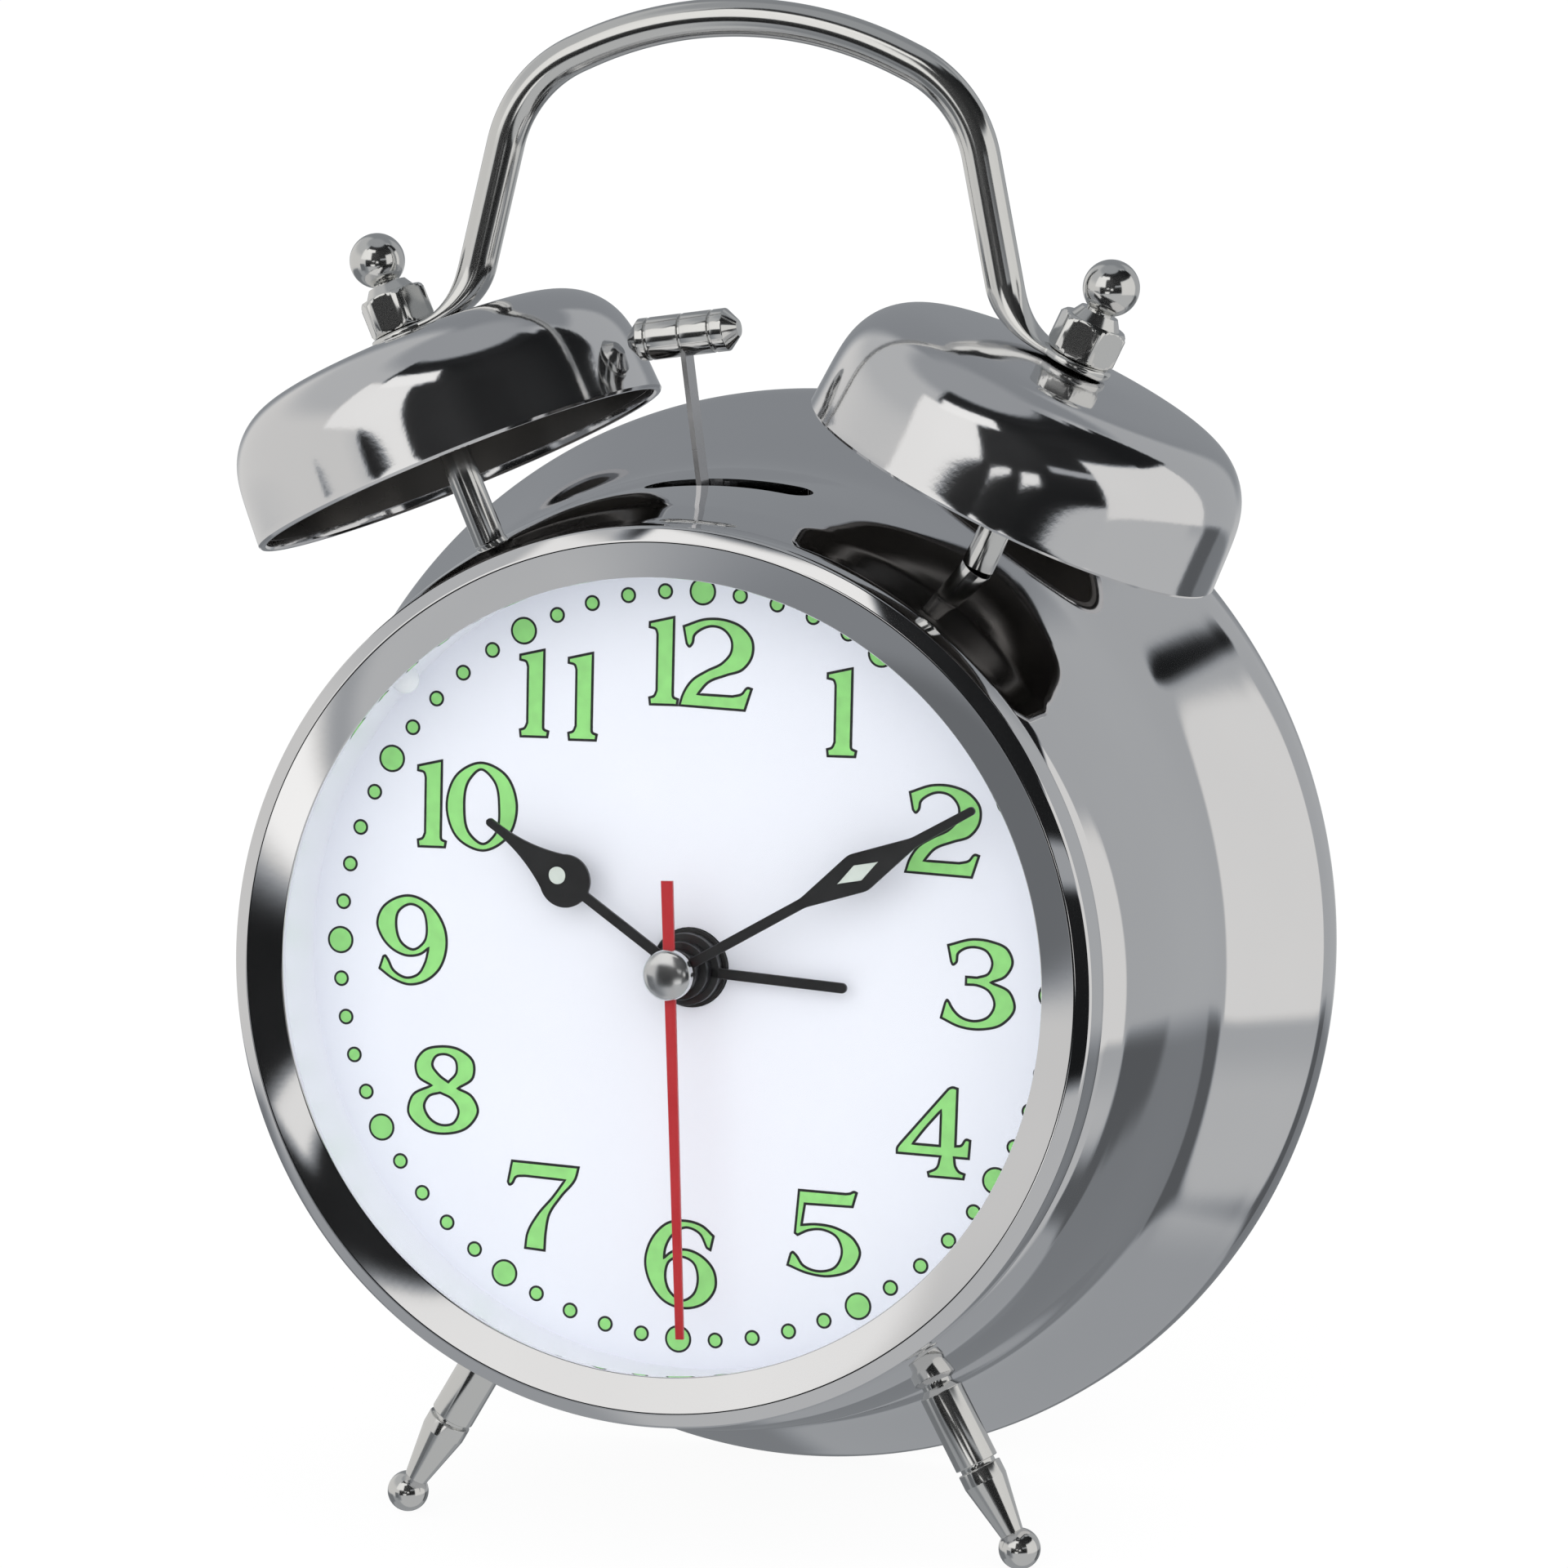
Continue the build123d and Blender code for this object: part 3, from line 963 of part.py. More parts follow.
NUT_CORNER = hexagon_radius(NUT_FLATS)
POST_NUT_FACE = post_reach(drum_radius(BELL_DEPTH - NUT_CORNER) - CASE_WALL, NUT_CORNER)
FOOT_NUT_FACE = nut_seat_radius(FOOT_DEPTH, NUT_CORNER)
NUT_PLANES = [bell_across(side * BELL_ANGLE, POST_NUT_FACE) for side in (-1, 1)]
NUT_PLANES += [across_plane(180 - side * FOOT_ANGLE, FOOT_DEPTH, FOOT_NUT_FACE) for side in (-1, 1)]

with BuildPart() as stud_nuts:
    for nut_plane in NUT_PLANES:
        with BuildSketch(nut_plane):
            RegularPolygon(NUT_CORNER, 6)
            Circle(STUD_RADIUS, mode=Mode.SUBTRACT)
    extrude(amount=-NUT_HEIGHT)

# Handle

EYE_MIDDLE = BELL_CROWN_AT + EYE_THICK / 2
EYE_AT = (EYE_MIDDLE * sin(BELL_TURN), EYE_MIDDLE * cos(BELL_TURN) - BELL_CROSS_DROP)
HANDLE_TOP = EYE_AT[1] + HANDLE_RISE
HANDLE_CORNER_X = EYE_AT[0] - HANDLE_INSET
HANDLE_CORNER = (HANDLE_CORNER_X, HANDLE_TOP - HANDLE_CORNER_X * tan(radians(HANDLE_SLOPE)))
LEG_SLOPE = tan(radians(HANDLE_LEG_LEAN))
CROWN_SLOPE = tan(BELL_TURN)
HANDLE_FOOT_Z = ((EYE_AT[0] - HANDLE_CORNER[0] + EYE_AT[1] / CROWN_SLOPE - HANDLE_CORNER[1] * LEG_SLOPE)
                 / (1 / CROWN_SLOPE - LEG_SLOPE))
HANDLE_FOOT = (HANDLE_CORNER[0] + (HANDLE_CORNER[1] - HANDLE_FOOT_Z) * LEG_SLOPE, HANDLE_FOOT_Z)
HANDLE_FOOT_TURN = 90 - HANDLE_LEG_LEAN - BELL_ANGLE
FOOT_TANGENT = HANDLE_FOOT_ROUND * tan(radians(HANDLE_FOOT_TURN / 2))
EYE_SPAN = hypot(EYE_AT[0] - HANDLE_FOOT[0], EYE_AT[1] - HANDLE_FOOT[1])
BEND_START = EYE_SPAN - FOOT_TANGENT

with BuildPart() as handle:
    with BuildLine(front(BELL_DEPTH)) as arch:
        legs = [(side * (HANDLE_FOOT[0] - FOOT_TANGENT * sin(radians(HANDLE_LEG_LEAN))),
                 HANDLE_FOOT[1] + FOOT_TANGENT * cos(radians(HANDLE_LEG_LEAN))) for side in (-1, 1)]
        far_corner = (-HANDLE_CORNER[0], HANDLE_CORNER[1])
        FilletPolyline(legs[0], far_corner, (0, HANDLE_TOP), HANDLE_CORNER, legs[1],
                       radius=[HANDLE_CORNER_ROUND, HANDLE_TOP_ROUND, HANDLE_CORNER_ROUND])
    with BuildSketch(Plane(arch.line @ 0, z_dir=arch.line % 0)):
        Circle(HANDLE_ROD_RADIUS)
    sweep()
    for side in (-1, 1):
        crown = (-side * cos(BELL_TURN), sin(BELL_TURN))
        bend_start = (side * EYE_AT[0] + crown[0] * BEND_START, EYE_AT[1] + crown[1] * BEND_START)
        with BuildLine(front(BELL_DEPTH)) as bend:
            TangentArc(bend_start, legs[(side + 1) // 2], tangent=crown)
        with BuildSketch(Plane(bend.line @ 0, x_dir=(0, 1, 0), z_dir=bend.line % 0)):
            Ellipse(HANDLE_ROD_RADIUS * 1.4, EYE_THICK / 2)
        with BuildSketch(Plane(bend.line @ 1, x_dir=(0, 1, 0), z_dir=bend.line % 1)):
            Circle(HANDLE_ROD_RADIUS)
        sweep(path=bend.line, multisection=True)
        with BuildSketch(bell_across(side * BELL_ANGLE, BELL_CROWN_AT)):
            Circle(EYE_RADIUS)
        extrude(amount=EYE_THICK)
        with BuildSketch(bell_across(side * BELL_ANGLE, BELL_CROWN_AT - EYE_THICK)):
            Circle(STUD_RADIUS)
        extrude(amount=3 * EYE_THICK, mode=Mode.SUBTRACT)
        with BuildSketch(bell_across(side * BELL_ANGLE, EYE_TOP)):
            Circle(hexagon_radius(FINIAL_FLATS) + SEAT_GAP)
        extrude(amount=FINIAL_HEX_HEIGHT, mode=Mode.SUBTRACT)

# Feet, and the lean of the clock on its feet and rear rim

FOOT_BASE = seat_radius(FOOT_DEPTH, FOOT_RADIUS)
FOOT_GROOVE_AT = FOOT_BASE + FOOT_BODY_LENGTH
FOOT_TAPER_AT = FOOT_GROOVE_AT + FOOT_GROOVE_WIDTH
FOOT_NECK_AT = FOOT_TAPER_AT + FOOT_TAPER_LENGTH
FOOT_BALL_AT = FOOT_NECK_AT + sqrt(FOOT_BALL_RADIUS ** 2 - FOOT_NECK_RADIUS ** 2)
FOOT_BALL_Z = -FOOT_BALL_AT * cos(radians(FOOT_ANGLE))
CURL_RADIUS = RIM_RADIUS - RIM_CURL
CURL_DEPTH = RIM_BACK - RIM_CURL
STANCE_RUN = CURL_DEPTH - FOOT_DEPTH
STANCE_DROP = FOOT_BALL_Z + CURL_RADIUS
STANCE_LIFT = FOOT_BALL_RADIUS - FOOT_FLAT - RIM_CURL
LEAN = degrees(atan2(STANCE_RUN, STANCE_DROP) - acos(STANCE_LIFT / hypot(STANCE_RUN, STANCE_DROP)))


def build_foot(angle):
    """Foot: collar on the drum, groove, tapered shank and a ball with a small worn flat."""
    turn = radians(angle)
    ball = (FOOT_BALL_AT * sin(turn), FOOT_DEPTH, FOOT_BALL_AT * cos(turn))
    inner_end = FOOT_BASE - CASE_WALL - STUD_INSIDE
    groove = FOOT_RADIUS - FOOT_GROOVE_DEPTH
    with BuildPart() as foot:
        with BuildSketch(radial_plane(angle, FOOT_DEPTH)):
            Polygon((0, inner_end), (STUD_RADIUS, inner_end), (STUD_RADIUS, FOOT_BASE),
                    (FOOT_RADIUS - FOOT_CHAMFER, FOOT_BASE), (FOOT_RADIUS, FOOT_BASE + FOOT_CHAMFER),
                    (FOOT_RADIUS, FOOT_GROOVE_AT), (groove, FOOT_GROOVE_AT), (groove, FOOT_TAPER_AT),
                    (FOOT_RADIUS, FOOT_TAPER_AT), (FOOT_RADIUS, FOOT_TAPER_AT + FOOT_TAPER_STRAIGHT),
                    (FOOT_NECK_RADIUS, FOOT_NECK_AT), (FOOT_NECK_RADIUS, FOOT_BALL_AT), (0, FOOT_BALL_AT),
                    align=None)
        revolve(axis=radial_axis(angle, FOOT_DEPTH))
        with Locations(ball):
            Sphere(FOOT_BALL_RADIUS)
        floor_way = (0, sin(radians(LEAN)), -cos(radians(LEAN)))
        floor_point = tuple(c + (FOOT_BALL_RADIUS - FOOT_FLAT) * w for c, w in zip(ball, floor_way))
        split(bisect_by=Plane(floor_point, z_dir=floor_way), keep=Keep.BOTTOM)
    return foot


right_foot, left_foot = (build_foot(180 - side * FOOT_ANGLE) for side in (1, -1))

# Hammer, in its own plane leaned until its head stands just clear of the left bell

HEAD_HALF = HAMMER_HEAD_LENGTH / 2


def head_to_bell(lean):
    """Gap between the tip of the leaned hammer head and the skirt of the left bell."""
    turn = radians(lean)
    tip_x = -HAMMER_REACH * sin(turn) - HEAD_HALF * cos(turn)
    tip_z = HAMMER_PIVOT_Z + HAMMER_REACH * cos(turn) - HEAD_HALF * sin(turn)
    rise = tip_z + BELL_CROSS_DROP
    along = -tip_x * sin(BELL_TURN) + rise * cos(BELL_TURN)
    across = tip_x * cos(BELL_TURN) + rise * sin(BELL_TURN)
    skirt = BELL_MOUTH_RADIUS - (along - BELL_MOUTH_AT) * tan(radians(BELL_DRAFT))
    return across - skirt


HAMMER_LEAN = 0.0
for step in (2.0, 0.5, 0.1, 0.02):
    while head_to_bell(HAMMER_LEAN + step) > HAMMER_HEAD_TIP_RADIUS / 2 + HAMMER_GAP:
        HAMMER_LEAN += step

HAMMER_PLANE = radial_plane(-HAMMER_LEAN, STRIKE_DEPTH, HAMMER_PIVOT_Z)
HAMMER_HALF = HAMMER_STRIP_WIDTH / 2
LEVER_TOP = HAMMER_BOSS_RADIUS + HAMMER_STRIP_GRIP

with BuildPart() as hammer_pivot:
    add_shaft(PIVOT_AT, PIVOT_RADIUS, PIVOT_FRONT, STRIKER_BACK)

with BuildPart() as hammer_lever:
    with BuildSketch(HAMMER_PLANE):
        Circle(HAMMER_BOSS_RADIUS)
        with Locations((0, -HAMMER_TAIL / 2)):
            Rectangle(HAMMER_TAIL_WIDTH, HAMMER_TAIL)
        with Locations((0, LEVER_TOP / 2)):
            Rectangle(HAMMER_TAIL_WIDTH * 0.7, LEVER_TOP)
        with Locations((0, -HAMMER_TAIL)):
            Rectangle(HAMMER_FORK, HAMMER_TAIL - HAMMER_BOSS_RADIUS, mode=Mode.SUBTRACT)
        with Locations((0, LEVER_TOP)):
            Rectangle(HAMMER_STRIP_THICK, 2 * HAMMER_STRIP_GRIP, mode=Mode.SUBTRACT)
        Circle(PIVOT_RADIUS + RUNNING_GAP, mode=Mode.SUBTRACT)
    extrude(amount=HAMMER_HALF, both=True)

with BuildPart() as hammer_arm:
    with BuildSketch(HAMMER_PLANE):
        with Locations((0, (HAMMER_BOSS_RADIUS + HAMMER_REACH) / 2)):
            Rectangle(HAMMER_STRIP_THICK, HAMMER_REACH - HAMMER_BOSS_RADIUS)
    extrude(amount=HAMMER_HALF, both=True)

HEAD_GROOVES = (-0.62 * HEAD_HALF, 0.0, 0.55 * HEAD_HALF)

with BuildPart() as hammer_head:
    with BuildSketch(HAMMER_PLANE):
        with Locations((0, HAMMER_REACH)):
            Polygon((-HEAD_HALF, 0), (-HEAD_HALF, HAMMER_HEAD_TIP_RADIUS),
                    (-HEAD_HALF + HAMMER_HEAD_CONE, HAMMER_HEAD_RADIUS),
                    (HEAD_HALF - HAMMER_HEAD_CONE, HAMMER_HEAD_RADIUS),
                    (HEAD_HALF, HAMMER_HEAD_TIP_RADIUS), (HEAD_HALF, 0), align=None)
        for groove in HEAD_GROOVES:
            with Locations((groove, HAMMER_REACH + HAMMER_HEAD_RADIUS)):
                Rectangle(HAMMER_GROOVE, HAMMER_GROOVE, mode=Mode.SUBTRACT)
    revolve(axis=Axis(HAMMER_PLANE.from_local_coords(Vector(0, HAMMER_REACH, 0)), HAMMER_PLANE.x_dir))
    with BuildSketch(HAMMER_PLANE):
        with Locations((0, HAMMER_REACH - HAMMER_HEAD_RADIUS)):
            Rectangle(HAMMER_STRIP_THICK, 2 * HAMMER_HEAD_RADIUS)
    extrude(amount=HAMMER_HALF, both=True, mode=Mode.SUBTRACT)

# Hammer drive: plate, motor, pinion and crank wheel

STRIKER_TOP = STRIKER_SCREWS[0][1] + STRIKER_MARGIN
STRIKER_BOTTOM = BOX_TOP + STRIKER_MARGIN / 2
STRIKER_WIDTH = 2 * (STRIKER_SCREW_X + STRIKER_MARGIN)
MOTOR_AT = (mesh_distance(CRANK_TEETH, MOTOR_TEETH, CRANK_MODULE), CRANK_AT[1])
CRANK_PHASE = direction(CRANK_AT, MOTOR_AT)
MOTOR_PHASE = meshing_phase(CRANK_AT, CRANK_PHASE, CRANK_TEETH, MOTOR_AT, MOTOR_TEETH)
CRANK_FRONT = STRIKER_FRONT - LEVEL_GAP - WHEEL_THICK
CRANK_SHAFT_BACK = STRIKER_BACK + LEVEL_GAP
CRANK_PIN_AT = (CRANK_AT[0] + CRANK_THROW, CRANK_AT[1])
MOTOR_BACK = STRIKER_BACK + MOTOR_LENGTH

with BuildPart() as striker_plate:
    with BuildSketch(front(STRIKER_FRONT)):
        with Locations((0, (STRIKER_TOP + STRIKER_BOTTOM) / 2)):
            RectangleRounded(STRIKER_WIDTH, STRIKER_TOP - STRIKER_BOTTOM, SCREW_HEAD_RADIUS)
        with Locations(*STRIKER_SCREWS):
            Circle(SCREW_RADIUS, mode=Mode.SUBTRACT)
        with Locations(PIVOT_AT):
            Circle(PIVOT_RADIUS, mode=Mode.SUBTRACT)
        with Locations(CRANK_AT):
            Circle(PIVOT_RADIUS + RUNNING_GAP, mode=Mode.SUBTRACT)
        with Locations(MOTOR_AT):
            Circle(MOTOR_SHAFT_RADIUS * 2, mode=Mode.SUBTRACT)
    extrude(amount=-STRIKER_THICK)

with BuildPart() as striker_screws:
    for screw in STRIKER_SCREWS:
        add_shaft(screw, SCREW_RADIUS, FRAME_BACK, STRIKER_BACK)
        add_shaft(screw, SCREW_HEAD_RADIUS, STRIKER_BACK, STRIKER_BACK + SCREW_HEAD_HEIGHT)

with BuildPart() as bell_motor:
    add_shaft(MOTOR_AT, MOTOR_RADIUS, STRIKER_BACK, MOTOR_BACK)
    fillet(bell_motor.edges().sort_by(Axis.Y)[-1], MOTOR_RADIUS / 8)
    add_shaft(MOTOR_AT, MOTOR_SHAFT_RADIUS * 2, MOTOR_BACK, MOTOR_BACK + MOTOR_SHAFT_RADIUS * 2)
    add_shaft(MOTOR_AT, MOTOR_SHAFT_RADIUS + RUNNING_GAP, STRIKER_BACK, STRIKER_BACK + MOTOR_LENGTH / 2,
              mode=Mode.SUBTRACT)

with BuildPart() as motor_pinion:
    add_shaft(MOTOR_AT, MOTOR_SHAFT_RADIUS, CRANK_FRONT, STRIKER_BACK + MOTOR_LENGTH / 2 - LEVEL_GAP)
    add_gear(MOTOR_AT, CRANK_FRONT, WHEEL_THICK, MOTOR_TEETH, CRANK_MODULE, MOTOR_PHASE)

with BuildPart() as crank_wheel:
    add_gear(CRANK_AT, CRANK_FRONT, WHEEL_THICK, CRANK_TEETH, CRANK_MODULE, CRANK_PHASE)
    add_shaft(CRANK_AT, PIVOT_RADIUS, CRANK_FRONT, CRANK_SHAFT_BACK)
    add_shaft(CRANK_PIN_AT, CRANK_PIN_RADIUS, CRANK_FRONT - CRANK_PIN_LENGTH, CRANK_FRONT)

# Back cover with its battery tray, cells, contacts and door

TRAY_HALF = CELL_LENGTH / 2 + CONTACT_ROOM
TRAY_TOP = CELL_TOP_Z + SEAT_GAP
TRAY_BOTTOM = CELL_TOP_Z - CELL_PITCH - 2 * CELL_RADIUS - SEAT_GAP
DOOR_FRONT = COVER_BACK - DOOR_THICK
CELL_DEPTH = DOOR_FRONT - FREE_GAP - CELL_RADIUS
TRAY_FRONT = CELL_DEPTH - CELL_RADIUS - SEAT_GAP
CELL_ROWS = [CELL_TOP_Z - CELL_RADIUS, CELL_TOP_Z - CELL_RADIUS - CELL_PITCH]
DOOR_HALF = TRAY_HALF + DOOR_REBATE - SEAT_GAP
DOOR_TOP = TRAY_TOP + DOOR_REBATE
HINGE_Z = TRAY_BOTTOM - DOOR_REBATE
HINGE_DEPTH = COVER_BACK - DOOR_THICK / 2
SWITCH_SLOT = SWITCH_CAP_WIDTH + SWITCH_TRAVEL + 2 * SEAT_GAP
SWITCH_AT_X = -SWITCH_TRAVEL / 2
SWITCH_BACKING = COVER_FRONT - SWITCH_PLATE - SEAT_GAP
BUTTON_AT = (BUTTON_X, SWITCH_Z)
BUTTON_FACE = COVER_FRONT - BUTTON_FLANGE
BUTTON_BACK = COVER_BACK + BUTTON_TRAVEL + BUTTON_PROUD

with BuildPart() as back_cover:
    add_shaft(CENTRE, COVER_RADIUS, COVER_FRONT, COVER_BACK)
    fillet(back_cover.edges().filter_by(GeomType.CIRCLE).sort_by(Axis.Y)[-1], COVER_THICK / 4)
    add_block((-TRAY_HALF - TRAY_WALL, TRAY_FRONT - TRAY_WALL, TRAY_BOTTOM - TRAY_WALL),
              (TRAY_HALF + TRAY_WALL, COVER_FRONT, TRAY_TOP + TRAY_WALL))
    add_block((-TRAY_HALF, TRAY_FRONT, TRAY_BOTTOM), (TRAY_HALF, COVER_BACK, TRAY_TOP), mode=Mode.SUBTRACT)
    add_block((-DOOR_HALF - SEAT_GAP, DOOR_FRONT - SEAT_GAP, HINGE_Z - DOOR_THICK / 2 - SEAT_GAP),
              (DOOR_HALF + SEAT_GAP, COVER_BACK, DOOR_TOP + SEAT_GAP), mode=Mode.SUBTRACT)
    with Locations((0, HINGE_DEPTH, HINGE_Z)):
        hinge_hole = 2 * (DOOR_HALF + HINGE_PIN_LENGTH + SEAT_GAP)
        Cylinder(HINGE_PIN_RADIUS + RUNNING_GAP, hinge_hole, rotation=(0, 90, 0), mode=Mode.SUBTRACT)
    for pillar in PILLARS:
        add_shaft(pillar, SCREW_RADIUS, COVER_FRONT, COVER_BACK, mode=Mode.SUBTRACT)
    for shaft in (TIME_SET_AT, ALARM_SET_AT):
        add_shaft(shaft, SET_SHAFT_RADIUS + FREE_GAP, COVER_FRONT, COVER_BACK, mode=Mode.SUBTRACT)
    add_block((-SWITCH_SLOT / 2, COVER_FRONT, SWITCH_Z - SWITCH_CAP_HEIGHT / 2 - SEAT_GAP),
              (SWITCH_SLOT / 2, COVER_BACK, SWITCH_Z + SWITCH_CAP_HEIGHT / 2 + SEAT_GAP), mode=Mode.SUBTRACT)
    for side in (-1, 1):
        rail = SWITCH_Z + side * SWITCH_CAP_HEIGHT
        add_block((-SWITCH_SLOT, SWITCH_BACKING - SWITCH_PLATE, rail - SWITCH_PLATE / 2),
                  (SWITCH_SLOT, COVER_FRONT, rail + SWITCH_PLATE / 2))
    add_shaft(BUTTON_AT, BUTTON_RADIUS + SEAT_GAP, COVER_FRONT, COVER_BACK, mode=Mode.SUBTRACT)

with BuildPart() as battery_cells:
    for row, sign in zip(CELL_ROWS, (1, -1)):
        with Locations((0, CELL_DEPTH, row)):
            Cylinder(CELL_RADIUS, CELL_LENGTH - CONTACT_THICK * 2, rotation=(0, 90, 0))
        with Locations((sign * (CELL_LENGTH / 2 - CONTACT_THICK), CELL_DEPTH, row)):
            Cylinder(CELL_RADIUS * 0.38, CONTACT_THICK * 2, rotation=(0, sign * 90, 0),
                     align=(Align.CENTER, Align.CENTER, Align.MIN))

CONTACT_HALF = CELL_RADIUS * 0.7

with BuildPart() as battery_contacts:
    for row, sign in zip(CELL_ROWS, (1, -1)):
        for end in (-1, 1):
            wall = end * TRAY_HALF
            cell_end = end * (CELL_LENGTH / 2 + (CONTACT_THICK if end == sign else -CONTACT_THICK))
            inner = wall - end * CONTACT_THICK
            add_block((min(wall, inner), CELL_DEPTH - CONTACT_HALF, row - CONTACT_HALF),
                      (max(wall, inner), CELL_DEPTH + CONTACT_HALF, row + CONTACT_HALF))
            with Locations((inner, CELL_DEPTH, row)):
                Cone(CELL_RADIUS * 0.4, CELL_RADIUS * 0.25, abs(inner - cell_end), rotation=(0, -end * 90, 0),
                     align=(Align.CENTER, Align.CENTER, Align.MIN))

with BuildPart() as battery_door:
    add_block((-DOOR_HALF, DOOR_FRONT, HINGE_Z), (DOOR_HALF, COVER_BACK, DOOR_TOP))
    with Locations((0, HINGE_DEPTH, HINGE_Z)):
        Cylinder(DOOR_THICK / 2, 2 * DOOR_HALF, rotation=(0, 90, 0))
        Cylinder(HINGE_PIN_RADIUS, 2 * (DOOR_HALF + HINGE_PIN_LENGTH), rotation=(0, 90, 0))
    with Locations((0, COVER_BACK, DOOR_TOP - KNOB_RADIUS)):
        Box(KNOB_RADIUS * 3, DOOR_THICK, DOOR_THICK, mode=Mode.SUBTRACT)

with BuildPart() as back_screws:
    for pillar in PILLARS:
        add_shaft(pillar, SCREW_RADIUS, COVER_FRONT - SCREW_GRIP + FREE_GAP, COVER_BACK)
        add_shaft(pillar, SCREW_HEAD_RADIUS, COVER_BACK, COVER_BACK + SCREW_HEAD_HEIGHT)
        with Locations((pillar[0], COVER_BACK + SCREW_HEAD_HEIGHT, pillar[1])):
            Box(SCREW_SLOT_LENGTH, SCREW_HEAD_HEIGHT, SCREW_SLOT_WIDTH, mode=Mode.SUBTRACT)
            Box(SCREW_SLOT_WIDTH, SCREW_HEAD_HEIGHT, SCREW_SLOT_LENGTH, mode=Mode.SUBTRACT)

# Alarm switch with its retainer, and the light button

with BuildPart() as alarm_switch:
    cap_left = SWITCH_AT_X - SWITCH_CAP_WIDTH / 2
    cap_low = SWITCH_Z - SWITCH_CAP_HEIGHT / 2
    add_block((cap_left, COVER_FRONT - SWITCH_PLATE, cap_low),
              (cap_left + SWITCH_CAP_WIDTH, COVER_BACK + SWITCH_STANDOUT, cap_low + SWITCH_CAP_HEIGHT))
    plate_half = SWITCH_CAP_HEIGHT - SWITCH_PLATE / 2 - SEAT_GAP
    add_block((SWITCH_AT_X - SWITCH_SLOT / 2, COVER_FRONT - SWITCH_PLATE, SWITCH_Z - plate_half),
              (SWITCH_AT_X + SWITCH_SLOT / 2, COVER_FRONT - RUNNING_GAP, SWITCH_Z + plate_half))

with BuildPart() as switch_retainer:
    for side in (-1, 1):
        rail = SWITCH_Z + side * SWITCH_CAP_HEIGHT
        add_block((-SWITCH_SLOT, SWITCH_BACKING - 2 * SWITCH_PLATE, rail - SWITCH_PLATE / 2),
                  (SWITCH_SLOT, SWITCH_BACKING - SWITCH_PLATE, rail + SWITCH_PLATE / 2))
    add_block((-SWITCH_SLOT, SWITCH_BACKING - 2 * SWITCH_PLATE, SWITCH_Z - SWITCH_CAP_HEIGHT),
              (SWITCH_SLOT, SWITCH_BACKING - SWITCH_PLATE, SWITCH_Z + SWITCH_CAP_HEIGHT))
    add_block((-SWITCH_SLOT / 2, SWITCH_BACKING - SWITCH_PLATE, SWITCH_Z - SWITCH_CAP_HEIGHT / 2),
              (SWITCH_SLOT / 2, SWITCH_BACKING, SWITCH_Z + SWITCH_CAP_HEIGHT / 2))

with BuildPart() as light_button:
    add_shaft(BUTTON_AT, BUTTON_RADIUS, COVER_FRONT - BUTTON_FLANGE, BUTTON_BACK)
    fillet(light_button.edges().filter_by(GeomType.CIRCLE).sort_by(Axis.Y)[-1], BUTTON_RADIUS / 8)
    add_shaft(BUTTON_AT, BUTTON_RADIUS + BUTTON_FLANGE, BUTTON_FACE, COVER_FRONT - RUNNING_GAP)

# Stance: lean back onto feet and rim, floor at Z = 0, origin under the middle of the clock

PIECES = {
    "front_bezel": front_bezel, "lens": lens, "dial_ring": dial_ring, "dial_lamp": dial_lamp,
    "dial_plate": dial_plate, "case_shell": case_shell, "inner_frame": inner_frame,
    "movement_front": movement_front, "middle_plate": middle_plate, "movement_rear": movement_rear,
    "movement_screws": movement_screws, "step_stator": step_stator, "step_coil": step_coil,
    "circuit_board": circuit_board, "quartz_crystal": quartz_crystal, "step_rotor": step_rotor,
    "step_wheel": step_wheel, "seconds_arbor": seconds_arbor, "third_wheel": third_wheel,
    "centre_wheel": centre_wheel, "minute_arbor": minute_arbor, "minute_wheel": minute_wheel,
    "hour_wheel": hour_wheel, "alarm_wheel": alarm_wheel, "time_set_shaft": time_set_shaft,
    "time_set_knob": time_set_knob, "alarm_set_shaft": alarm_set_shaft, "alarm_set_knob": alarm_set_knob,
    "alarm_hand": alarm_hand, "hour_hand": hour_hand, "minute_hand": minute_hand,
    "seconds_hand": seconds_hand, "seconds_cap": seconds_cap, "left_bell": left_bell,
    "right_bell": right_bell, "left_post": left_post, "right_post": right_post,
    "left_finial": left_finial, "right_finial": right_finial, "stud_nuts": stud_nuts, "handle": handle,
    "left_foot": left_foot, "right_foot": right_foot, "hammer_pivot": hammer_pivot,
    "hammer_lever": hammer_lever, "hammer_arm": hammer_arm, "hammer_head": hammer_head,
    "striker_plate": striker_plate, "striker_screws": striker_screws, "bell_motor": bell_motor,
    "motor_pinion": motor_pinion, "crank_wheel": crank_wheel, "back_cover": back_cover,
    "battery_cells": battery_cells, "battery_contacts": battery_contacts, "battery_door": battery_door,
    "back_screws": back_screws, "alarm_switch": alarm_switch, "switch_retainer": switch_retainer,
    "light_button": light_button,
}

LEANED = Location((0, 0, 0), (-LEAN, 0, 0))
reach = Compound([piece.part.moved(LEANED) for piece in PIECES.values()]).bounding_box()
STANCE = Location((-reach.center().X, -reach.center().Y, -reach.min.Z)) * LEANED

os.makedirs("parts", exist_ok=True)
for name, piece in PIECES.items():
    placed = piece.part.moved(STANCE)
    placed.label = name
    export_step(placed, f"parts/{name}.step")
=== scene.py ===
"""Twin-bell alarm clock: polished case, bells, handle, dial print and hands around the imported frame.

Sizes are millimetres in the clock's own frame: dial centre at the origin, x to the reader's right,
y into the clock, z towards twelve. ClockFrame turns them into metres of the row frame.
"""
import json
import logging
from dataclasses import dataclass
from enum import Enum
from typing import Sequence

